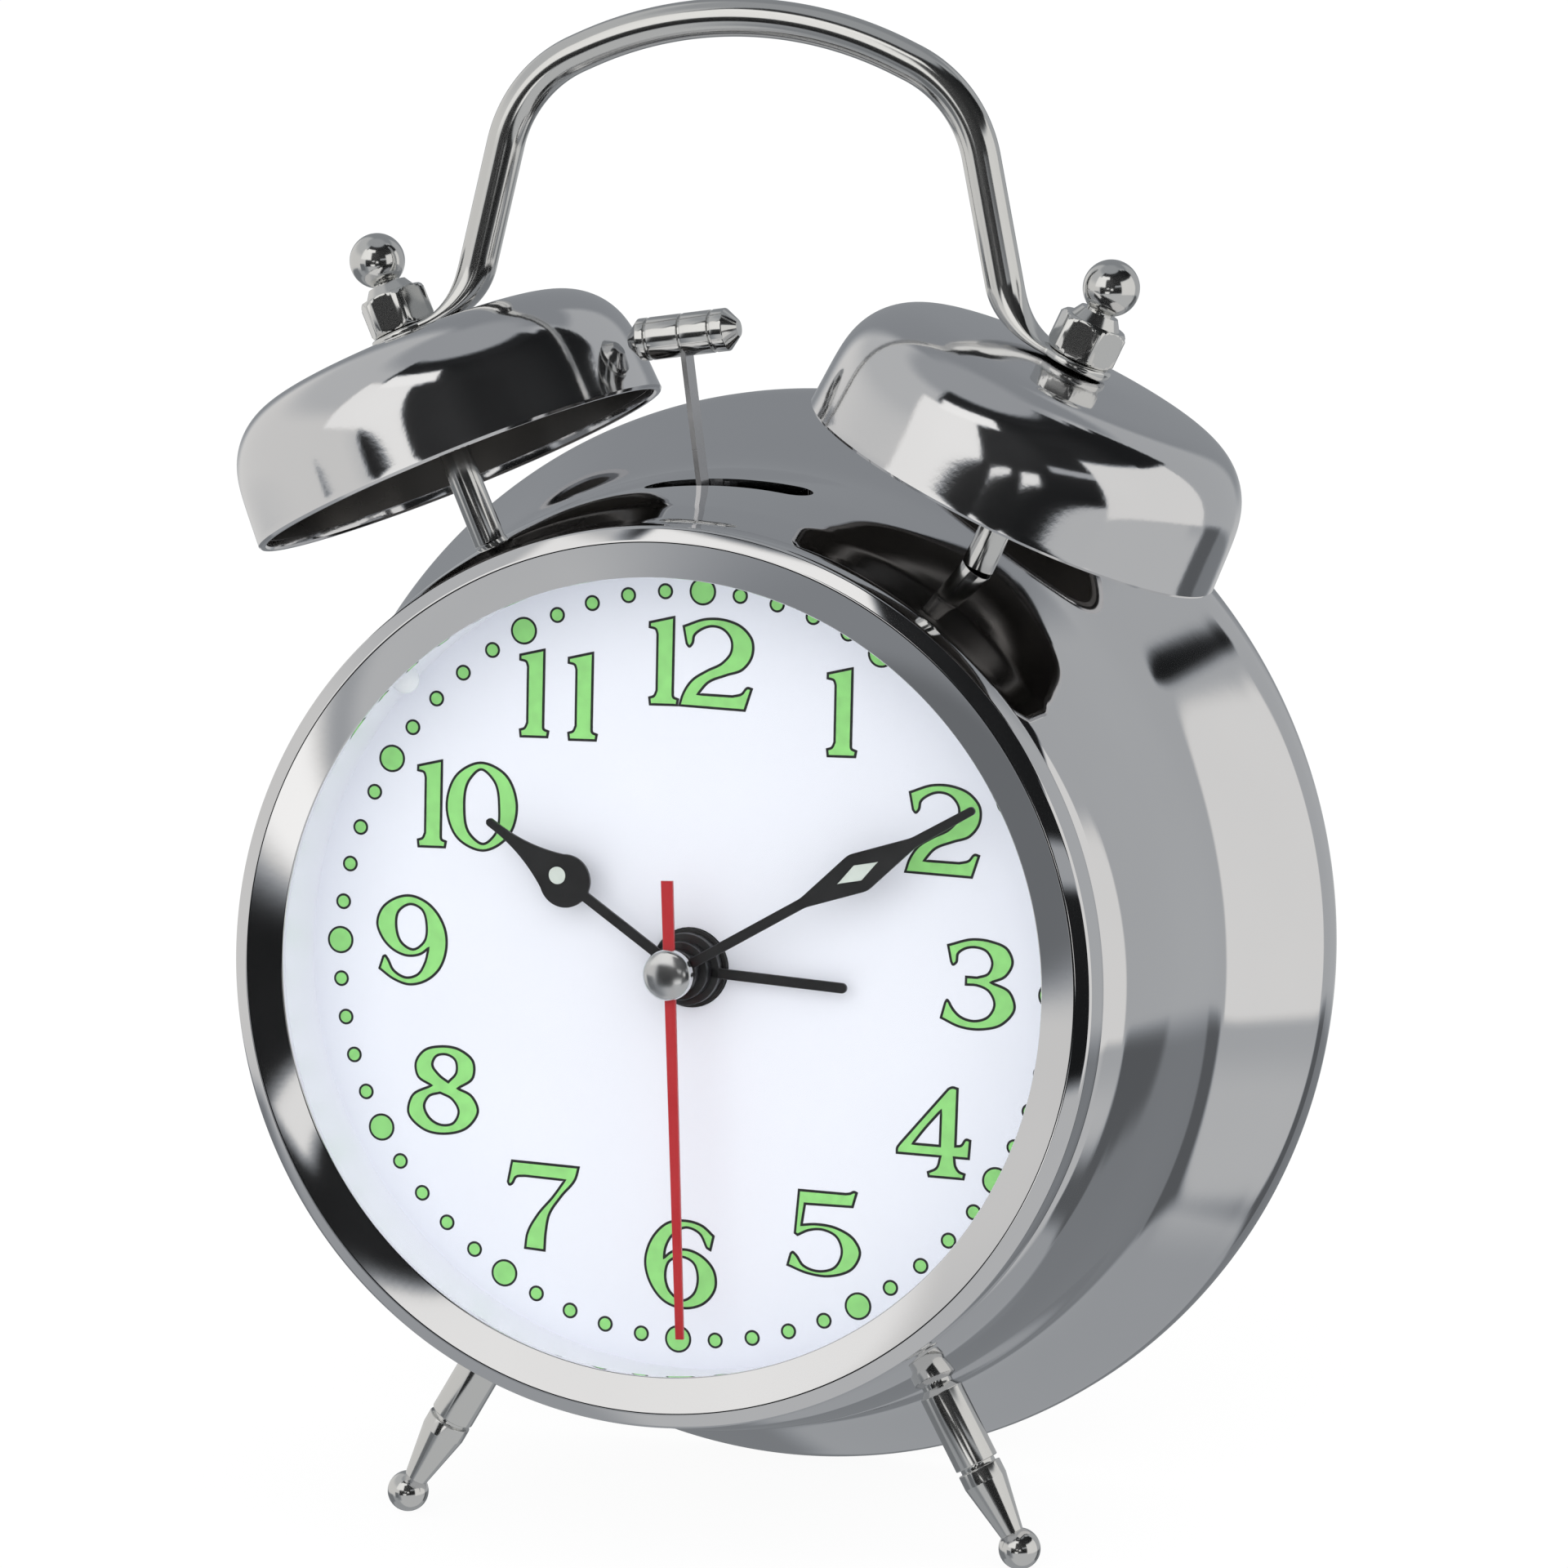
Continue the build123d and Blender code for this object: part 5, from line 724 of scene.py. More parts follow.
@dataclass
class FrontWindow:
    """Bezel, light ring and its lamp."""

    bezel: tuple = ((46.55, -10.4), (42.1, -10.4), (42.1, -11.1), (45.95, -12.0), (47.55, -11.2),
                    (47.65, -7.1), (46.55, -7.1), (46.55, -10.4))
    bezel_radii: tuple = (0.0, 0.22, 0.5, 0.6, 0.12, 0.1)
    ring_inner: float = 43.1
    ring_outer: float = 45.6
    ring_depth: float = 9.0
    ring_ease: float = 0.2
    lamp_angle: float = -46.8
    lamp_depth: float = -4.6
    lamp_radius: float = 1.5
    lamp_tip: float = 41.4
    lamp_seat: float = 44.1

    def build(self, shop: Workshop) -> None:
        """Turn the bezel and ring round the hands' axis, and the lamp round its own.

        Args:
            shop: The workshop.
        """
        dial = Spindle.dial()
        rim = rounded(self.bezel, self.bezel_radii, 16)[:-1]
        case, bezel = Body.CASE, lathe(rim, dial, 360, True)
        shop.make("bezel_ring", bezel, CHROME, case, "chrome_sheet", "front_bezel")
        inner, outer, front, ease = self.ring_inner, self.ring_outer, -self.ring_depth, self.ring_ease
        wall = [(outer, front), (inner + ease, front), (inner, front + ease), (inner, 0), (outer, 0)]
        shop.make("ring_wall", lathe(wall, dial, 256, True), RING_WHITE, case, "white_ring", "dial_ring")
        outline = domed(self.lamp_radius, self.lamp_radius, self.lamp_tip, self.lamp_seat, 14)
        lamp = lathe(outline, Spindle.radial(self.lamp_angle, self.lamp_depth), 40)
        shop.make("lamp_dome", lamp, LAMP_CLEAR, case, "clear_lamp", "dial_lamp")


# Bells, handle, feet and hammer


@dataclass(frozen=True)
class BellLine:
    """Axis of a bell, its post, finial and handle eye; heights count from where both axes meet."""

    angle: float = 24.75
    depth: float = 10.0
    meet: float = -16.4
    crown: float = 89.3975

    def spindle(self, side: Side) -> Spindle:
        """The axis on one side."""
        return Spindle.radial(side.value * self.angle, self.depth, self.meet)


@dataclass
class BellSet:
    """Bells on posts, each under a hexagon finial with a ball; heights count from the bell's crown."""

    line: BellLine = BellLine()
    mouth_radius: float = 23.4
    height: float = 15.2
    draft: float = 3.0
    dome: float = 3.0
    shoulder: float = 8.0
    spread: float = 3.4
    hole: float = 1.6
    wall: float = 0.9
    lip: float = 0.25
    post_radius: float = 1.75
    post_base: float = 23.75
    post_top: float = 1.05
    post_ease: float = 0.05
    hex_apothem: float = 3.4
    hex_low: float = 1.2
    hex_high: float = 5.3
    bevel: float = 0.55
    bevel_rows: tuple = (0.12, 0.24)
    collar: tuple = ((2.8, 5.3), (2.1, 6.4))
    sink: float = 0.3
    ball_radius: float = 3.0
    ball_at: float = 9.2
    neck_radius: float = 1.5

    def build(self, shop: Workshop) -> None:
        """Make both bells with their posts and finials.

        Args:
            shop: The workshop.
        """
        for side in Side:
            axis = self.line.spindle(side)
            spindle = Spindle(axis.origin + self.line.crown * axis.axis, axis.axis, axis.side)
            name, case, sheet, nickel = side.word, Body.CASE, "chrome_sheet", "bright_nickel"
            finial = self.nut(spindle) + self.knob(spindle)
            shop.make(name + "_bell_cup", self.cup(spindle), SPUN_CHROME, case, sheet, name + "_bell")
            # A dark film inside each bell is painted shade in its hollow
            shop.make(name + "_bell_lining", self.painted_shade_film(spindle), BELL_PAINTED_SHADE, case, sheet)
            shop.make(name + "_bell_post", self.post(spindle), NICKEL, case, nickel, name + "_post")
            shop.make(name + "_finial_nut", finial, NICKEL, case, nickel, name + "_finial")

    def post(self, spindle: Spindle) -> Shell:
        """Plain rod with eased edges, from the case up to the bell.

        Args:
            spindle: The bell's axis, from its crown.

        Returns:
            The closed rod.
        """
        low, high, r = -self.post_base, -self.post_top, self.post_radius
        corners = [(0, low), (r, low), (r, high), (0, high)]
        return lathe(rounded(corners, (self.post_ease, self.post_ease), 4), spindle, 64)

    def sheet(self) -> Array:
        """Outer line of a bell from its mouth to its hole: drafted skirt, round shoulder and low crown.

        Returns:
            Points (radius, height).
        """
        drop = self.mouth_radius * np.tan(np.radians(self.dome))
        corner = self.mouth_radius - (self.height - drop) * np.tan(np.radians(self.draft))
        skirt = [(self.mouth_radius, -self.height), (corner, -drop), (self.hole, 0)]
        return eased(evenly(rounded(skirt, (self.shoulder,), 24), 0.5), self.spread)

    def painted_shade_film(self, spindle: Spindle, gap: float = 0.01, film: float = 0.05) -> Shell:
        """Dark, rougher metal film on the inside of the bell's wall, 1 mm short of its mouth; its dark colour is
        painted shade in the bell's hollow.

        Args:
            spindle: The bell's axis, from its crown.
            gap: Space between wall and film.
            film: Thickness of the film.

        Returns:
            The closed film.
        """
        line = self.sheet()
        inside = walled(line, self.wall + gap)[len(line):][::-1]
        return lathe(walled(inside[2:], film), spindle, 128, True)

    def cup(self, spindle: Spindle) -> Shell:
        """The bell's line with the sheet's wall and a bevelled mouth.

        Args:
            spindle: The bell's axis, from its crown.

        Returns:
            The closed bell.
        """
        section = walled(self.sheet(), self.wall)
        edge = (section[0] + section[-1]) / 2
        section[[0, -1], 1] += self.lip
        mouth = edge + np.array([(-self.lip, 0), (self.lip, 0)])
        return lathe(np.vstack([section, mouth]), spindle, 256, True)

    def nut(self, spindle: Spindle, power: float = 60.0, steps: int = 216) -> Shell:
        """Hexagon with eased corners, r(t) = apothem·(sum |cos(t - k·60°)|^p)^(-1/p), cut by end cones.

        Args:
            spindle: The bell's axis, from its crown.
            power: Power p; a larger one makes sharper corners.
            steps: Points round the nut.

        Returns:
            The closed nut.
        """
        turn = full_turn(steps)
        faces = np.abs(np.cos(turn[:, None] - np.radians([0, 60, 120])))
        hexagon = self.hex_apothem * (faces ** power).sum(1) ** (-1 / power)
        low, high, b = self.hex_low, self.hex_high, self.bevel
        climb = np.array([0, 0, *self.bevel_rows, b])
        height = np.r_[low + climb, high - climb[::-1]]
        corner = self.hex_apothem / np.cos(np.radians(30))
        limit = corner - np.maximum(b - np.minimum(height - low, high - height), 0)
        radius = np.minimum(hexagon[None], limit[:, None])
        radius[[0, -1]] = 0
        h, t = np.broadcast_arrays(height[:, None], turn[None])
        return loft(spindle.at(radius, h, t))

    def knob(self, spindle: Spindle) -> Shell:
        """Collar, neck and ball: the ball is the arc from where the neck meets it to its top.

        Args:
            spindle: The bell's axis, from its crown.

        Returns:
            The closed knob.
        """
        (wide, low), (_, high) = self.collar
        sunk = low - self.sink
        foot = [(0, sunk), (wide, sunk), *self.collar, (self.neck_radius, high)]
        ball = ball_arc(self.ball_radius, self.ball_at, self.neck_radius, 40)
        return lathe(np.vstack([foot, ball]), spindle, 96)


@dataclass
class CarryHandle:
    """Bent rod that flattens into an eye at each end, under the finials."""

    bells: BellLine = BellLine()
    eye_radius: float = 3.9
    eye_half: float = 0.6
    neck_half: float = 2.87
    neck_run: float = 7.0
    bend_run: float = 8.65
    rod: float = 2.05
    top: float = 104.48
    corner_x: float = 25.178
    slope: float = 24.3
    leg_lean: float = 12.5
    radii: tuple = (9.4, 14.0, 43.0, 14.0, 9.4)
    sharp: float = 60.0

    def line(self) -> Array:
        """Centre line (x, z) from eye to eye, with corners at each leg's foot, shoulder and the top.

        Returns:
            Points (n, 2).
        """
        a, lean = np.radians(self.bells.angle), np.tan(np.radians(self.leg_lean))
        along = self.bells.crown + self.eye_half
        eye = along * np.array([np.sin(a), np.cos(a)]) + (0, self.bells.meet)
        corner = np.array([self.corner_x, self.top - self.corner_x * np.tan(np.radians(self.slope))])
        foot_z = ((eye[0] - corner[0] + eye[1] / np.tan(a) - corner[1] * lean) / (1 / np.tan(a) - lean))
        foot = np.array([corner[0] + (corner[1] - foot_z) * lean, foot_z])
        far = eye + self.eye_radius * np.array([np.cos(a), -np.sin(a)])
        half = np.array([far, foot, corner])
        mirror = np.array([-1, 1])
        return rounded(np.vstack([half * mirror, [(0, self.top)], half[::-1]]), self.radii, 40)

    def build(self, shop: Workshop, steps: int = 560, around: int = 48) -> None:
        """Carry a superellipse along the line.

        Its half-sizes, and its power from 4 at the eye to 2 on the rod, follow the way to the nearer end.

        Args:
            shop: The workshop.
            steps: Points along the rod.
            around: Points round it.
        """
        line = self.line()
        length = distances(line)[-1]
        run = length * (0.5 - 0.5 * np.cos(np.linspace(0, np.pi, steps)))
        path = sampled(line, run)
        near = np.minimum(run, length - run)
        tangent = unit_rows(np.gradient(path, run, axis=0))[:, None]
        full = self.neck_run + self.bend_run
        blend = smooth_step(near, self.neck_run, full)
        neck = self.neck_half + (self.rod - self.neck_half) * blend
        eye = np.sqrt(np.maximum(self.eye_radius ** 2 - (near - self.eye_radius) ** 2, 0))
        wide = np.where(near < self.eye_radius, eye, np.maximum(neck, eye))
        lip = np.sqrt(np.clip(1 - (1 - np.minimum(near / self.eye_half, 1)) ** 2, 0, 1))
        thick = (self.eye_half + (self.rod - self.eye_half) * blend) * lip
        power = (2 / (4 - 2 * smooth_step(near, self.eye_radius, full)))[:, None]
        turn = full_turn(around)
        across, up = (half[:, None] * np.sign(wave) * np.abs(wave) ** power
                      for half, wave in ((wide, np.cos(turn)), (thick, np.sin(turn))))
        rows = np.stack([path[:, None, 0] - up * tangent[..., 1], self.bells.depth + across,
                         path[:, None, 1] + up * tangent[..., 0]], -1)
        piece = shop.mesh("handle_rod", loft(rows), np.radians(self.sharp))
        shop.fit(piece, NICKEL, Body.CASE, "bright_nickel", "handle")


@dataclass
class Feet:
    """Turned pegs with a groove, a taper and a ball that rests on the floor."""

    angle: float = 29.7
    depth: float = 10.6
    outline: tuple = ((0, 50.9), (1.72, 50.9), (1.72, 51.47), (2.42, 52.17), (2.42, 60.67), (1.97, 60.67),
                      (1.97, 61.17), (2.42, 61.17), (2.42, 62.77), (1.3, 68.97))
    radii: tuple = (0.02, 0.02, 0.25, 0.12, 0.03, 0.03, 0.12, 0.3)
    ball_radius: float = 2.25
    ball_at: float = 70.81

    def build(self, shop: Workshop) -> None:
        """Make both feet; points below the floor are brought up to it, as the worn flat.

        Args:
            shop: The workshop.
        """
        ball = ball_arc(self.ball_radius, self.ball_at, self.outline[-1][0], 36)
        profile = np.vstack([rounded(self.outline, self.radii, 5), ball[1:]])
        for side in Side:
            spindle = Spindle.radial(180 - side.value * self.angle, self.depth)
            piece = shop.mesh(f"{side.word}_foot_peg", lathe(profile, spindle, 96))
            place = np.empty(len(piece.data.vertices) * 3)
            piece.data.vertices.foreach_get("co", place)
            place[2::3] = np.maximum(place[2::3], 0.0)
            piece.data.vertices.foreach_set("co", place)
            shop.fit(piece, NICKEL, Body.CASE, "bright_nickel", f"{side.word}_foot")


@dataclass
class HammerHead:
    """Grooved double-ended head on the spring strip."""

    lean: float
    pivot_z: float = 31.92
    depth: float = 8.6
    reach: float = 35.063
    half: float = 6.2
    radius: float = 2.3
    cone: float = 1.3
    tip: float = 0.9
    groove: float = 0.3
    grooves: tuple = (-0.62, 0.0, 0.55)
    end_radii: tuple = (0.12, 0.2)
    groove_radii: tuple = (0.08, 0.04, 0.04, 0.08)

    @classmethod
    def from_joints(cls, joints: Sequence[dict]) -> "HammerHead":
        """Head at rest against the left bell: it leans by half of the hammer joint's range.

        Args:
            joints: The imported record's joints.

        Returns:
            The head.
        """
        swing = next(j for j in joints if j["name"] == "hammer_swing")
        low, high = swing["range_deg"]
        return cls((high - low) / 2)

    def build(self, shop: Workshop) -> None:
        """Turn the head's outline round its own long axis.

        Args:
            shop: The workshop.
        """
        a = np.radians(self.lean)
        along = np.array([np.cos(a), 0, np.sin(a)])
        up = np.array([-np.sin(a), 0, np.cos(a)])
        spindle = Spindle(np.array([0, self.depth, self.pivot_z]) + self.reach * up, along, up)
        g, deep = self.groove / 2, self.radius - self.groove
        rings = [(r, k * self.half + s) for k in self.grooves
                 for r, s in ((self.radius, -g), (deep, -g), (deep, g), (self.radius, g))]
        outline = [(0, -self.half), (self.tip, -self.half), (self.radius, self.cone - self.half), *rings,
                   (self.radius, self.half - self.cone), (self.tip, self.half), (0, self.half)]
        radii = self.end_radii + self.groove_radii * len(self.grooves) + self.end_radii[::-1]
        head = lathe(rounded(outline, radii, 5), spindle, 96)
        shop.make("hammer_bob", head, NICKEL, Body.HAMMER, "bright_nickel", "hammer_head")


# Hands and dial print


@dataclass
class HandStack:
    """The four hands with their collets, pale inserts and the silver cap, from the dial outwards."""

    tubes: tuple = (2.95, 2.2, 1.45, 0.7)
    thick: float = 0.4
    pitch: float = 1.6
    collet: float = 1.12
    collet_wall: float = 0.9
    collet_radii: tuple = (0.1, 0.06)
    stem: float = 0.55
    tip: float = 0.45
    edge: float = 0.07
    inlay: float = 0.35
    inlay_thick: float = 0.1
    start: float = 0.5
    end: float = 0.5
    cap_radius: float = 2.7
    cap_rise: float = 0.75
    cap_top: float = -8.2
    cap_seat: float = -6.8
    cap_power: float = 0.9

    def ribbon(self, run: Array, half: Array, angle: float, back: float, thick: float) -> Shell:
        """Flat bar of half-width w(r) along a clock angle, its front edges eased: six points across.

        Args:
            run: Distances r from the hands' axis.
            half: Half-width at each distance.
            angle: Clock angle in degrees.
            back: Depth of its back face.
            thick: Its thickness.

        Returns:
            The closed bar.
        """
        a = np.radians(angle)
        out, across = np.array([np.sin(a), np.cos(a)]), np.array([np.cos(a), -np.sin(a)])
        ease = np.minimum(self.edge, half * 0.5)
        front, edge = back - thick, back - thick + self.edge
        w = np.stack([-half, -half, -half + ease, half - ease, half, half], 1)
        y = np.broadcast_to(np.array([back, edge, front, front, edge, back]), w.shape)
        flat = run[:, None, None] * out + w[..., None] * across
        return loft(np.stack([flat[..., 0], y, flat[..., 1]], -1))

    def hub(self, tube: float, back: float) -> Shell:
        """Ring round a hand's tube, from the hand's front face to the end of its collet.

        Args:
            tube: Radius of the tube that carries the hand.
            back: Depth of the hand's back face.

        Returns:
            The closed ring.
        """
        inner, outer = tube * 0.5, tube + self.collet_wall
        front, rear = back - self.thick, back + self.collet
        ring = rounded([(inner, front), (outer, front), (outer, rear), (inner, rear)], self.collet_radii, 4)
        return lathe(ring, Spindle.dial(), 72, True)

    def bar(self, order: int, run: Array, half: Array, angle: float) -> Shell:
        """A hand's bar with its collet ring; the order counts from the dial."""
        back = -order * self.pitch
        return self.ribbon(run, half, angle, back, self.thick) + self.hub(self.tubes[order - 1], back)

    def insert(self, order: int, run: Array, half: Array, angle: float) -> Shell:
        """Thin bar let halfway into the front of a hand."""
        return self.ribbon(run, half, angle, -order * self.pitch - self.inlay, self.inlay_thick)

    def point(self, length: float) -> Array:
        """Distances that crowd towards the end of a hand: length - end·cos(t)."""
        return length - self.end * np.cos(np.linspace(0, np.pi / 2, 14))

    def build(self, shop: Workshop) -> None:
        """Make the hands from the dial outwards.

        Args:
            shop: The workshop.
        """
        self.alarm(shop)
        self.hour(shop)
        self.minute(shop)
        self.seconds(shop)

    def ended(self, run: Array, half: Array, end: float) -> Array:
        """Half-widths with the outer end rounded: w·sqrt(1 - (1 - d/w)²) within w of it."""
        share = np.clip((end - run) / np.maximum(half, 1e-6), 0, 1)
        return half * np.sqrt(np.clip(1 - (1 - share) ** 2, 0.0004, 1))

    def alarm(self, shop: Workshop, length: float = 18.1, angle: float = 92.8) -> None:
        """Plain thin hand.

        Args:
            shop: The workshop.
            length: From the axis to the hand's end.
            angle: Clock angle in degrees.
        """
        run = self.start + (length - self.start) * np.sin(np.linspace(0, np.pi / 2, 60))
        half = self.ended(run, np.full_like(run, self.stem), length)
        hand = self.bar(1, run, half, angle)
        shop.make("alarm_pointer", hand, HAND_BLACK, Body.ALARM, "black_hand", "alarm_hand")

    def hour(self, shop: Workshop, length: float = 26.6, angle: float = 303.7, body: float = 15.8,
             body_radius: float = 2.85) -> None:
        """Spade hand: stem, round body, then a hollow taper, w = tip + (w0 - tip)·(1 - s)^2.1.

        Args:
            shop: The workshop.
            length: From the axis to the hand's end.
            angle: Clock angle in degrees.
            body: From the axis to the round body's middle.
            body_radius: Radius of that body.
        """
        stem = np.linspace(self.start, body - body_radius - 0.4, 20)
        blade = np.linspace(body - 3.2, length - self.end, 150)
        run = np.unique(np.r_[stem, blade, self.point(length)])
        shoulder = body + 0.62 * body_radius
        wide = np.sqrt(max(body_radius ** 2 - (shoulder - body) ** 2, 0))
        disc = np.sqrt(np.maximum(body_radius ** 2 - (run - body) ** 2, 0))
        slim = length - 2 * self.end
        s = np.clip((run - shoulder) / (slim - shoulder), 0, 1)
        taper = np.where(run > shoulder, self.tip + (wide - self.tip) * (1 - s) ** 2.1, 0)
        half = np.maximum(np.maximum(disc, taper), np.where(run < body, self.stem, 0))
        half = np.where(run > slim, self.ended(run, half, length), half)
        hand = self.bar(2, run, half, angle)
        shop.make("hour_pointer", hand, HAND_BLACK, Body.HOURS, "black_hand", "hour_hand")
        centre, r = body + 1.0, 0.95
        dot_run = centre - r * np.cos(np.linspace(0, np.pi, 30))
        dot = np.sqrt(np.maximum(r ** 2 - (dot_run - centre) ** 2, 1e-6))
        shop.make("hour_lume", self.insert(2, dot_run, dot, angle), HAND_PALE, Body.HOURS, "white_dial")

    def minute(self, shop: Workshop, length: float = 37.8, angle: float = 59.4) -> None:
        """Lozenge hand: straight stem, a lozenge with eased corners, and a slim point.

        Args:
            shop: The workshop.
            length: From the axis to the hand's end.
            angle: Clock angle in degrees.
        """
        slim = 36.9
        reach = (self.start, 16.3, 23.25, 30.2, slim, length)
        width = (self.stem, self.stem, 2.15, self.stem, self.tip, self.tip)
        run = np.unique(np.r_[np.linspace(self.start, 37.2, 180), self.point(length)])
        half = np.interp(run, reach, width)
        kernel = np.hanning(9) / np.hanning(9).sum()
        soft = np.convolve(np.pad(half, 4, "edge"), kernel, "valid")
        half = np.where((run > 14) & (run < 33), soft, half)
        half = np.where(run > slim, self.ended(run, half, length), half)
        hand = self.bar(3, run, half, angle)
        shop.make("minute_pointer", hand, HAND_BLACK, Body.MINUTES, "black_hand", "minute_hand")
        near, middle, far, wide = 20.7, 23.27, 25.85, 0.9
        lume_run = np.linspace(near, far, 41)
        lozenge = np.maximum(wide * (1 - np.abs(lume_run - middle) * 2 / (far - near)), 0.004)
        lume = self.insert(3, lume_run, lozenge, angle)
        shop.make("minute_lume", lume, HAND_PALE, Body.MINUTES, "white_dial")

    def seconds(self, shop: Workshop, length: float = 38.8, tail: float = 9.9, angle: float = 176.9) -> None:
        """Red sweep hand with a square tail, under a domed cap.

        Args:
            shop: The workshop.
            length: From the axis to the hand's end.
            tail: From the axis to the tail's end.
            angle: Clock angle in degrees.
        """
        run = np.linspace(-tail, length, 60)
        wide = 0.65
        half = wide + (self.tip - wide) * (run + tail) / (length + tail)
        hand = self.bar(4, run, half, angle)
        shop.make("seconds_pointer", hand, HAND_RED, Body.SECONDS, "red_hand", "seconds_hand")
        dome = domed(self.cap_radius, self.cap_rise, self.cap_top, self.cap_seat, 20, self.cap_power)
        cap = lathe(dome, Spindle.dial(), 96)
        shop.make("sweep_cap", cap, CAP_SILVER, Body.SECONDS, "silver_cap", "seconds_cap")


def print_pair(shop: Workshop, word: str, dark: Shell, green: Shell) -> None:
    """Lay a dark film on the dial and a luminous one on it."""
    shop.make(word + "_rims", dark, PRINT_BLACK, Body.CASE, "black_hand")
    shop.make(word + "_film", green, PRINT_GREEN, Body.CASE, "white_dial")


@dataclass
class DialPrint:
    """Luminous dots with dark rims on the minute circle."""

    circle: float = 40.0
    minute_radius: float = 0.62
    hour_radius: float = 1.25
    line: float = 0.24
    film: float = 0.03

    def build(self, shop: Workshop) -> None:
        """Print the rims first and the green film on them.

        Args:
            shop: The workshop.
        """
        hours = np.arange(60) % 5 == 0
        radius = np.where(hours, self.hour_radius, self.minute_radius)
        rims, film = self.discs(radius + self.line, self.film), self.discs(radius, 2 * self.film)
        print_pair(shop, "dot", rims, film)

    def discs(self, radius: Array, height: float, steps: int = 28) -> Shell:
        """Sixty low discs: disc k stands on the minute circle at k·6° plus the dial's turn, edge eased.

        Args:
            radius: Radius of each disc.
            height: How far it stands out of the dial.
            steps: Points round a disc.

        Returns:
            All discs as one surface.
        """
        a = np.radians(np.arange(60) * 6 + DIAL_TURN)
        centre = self.circle * np.stack([np.sin(a), np.cos(a)], -1)
        t = full_turn(steps)
        ring = np.stack([np.cos(t), np.sin(t)], -1)
        share = np.array([0, 1, 1, 0.97, 0])
        level = np.array([0, 0, -0.6, -1, -1]) * height
        reach = radius[:, None, None, None] * share[:, None, None]
        flat = centre[:, None, None] + reach * ring
        depth = np.broadcast_to(level[None, :, None], flat.shape[:3])
        rows = np.stack([flat[..., 0], depth, flat[..., 1]], -1)
        one = loft(rows[0], caps=False)
        shift = (np.arange(60) * len(one.points))[:, None, None]
        quads = (one.faces[0][None] + shift).reshape(-1, 4)
        return Shell(rows.reshape(-1, 3), [quads])
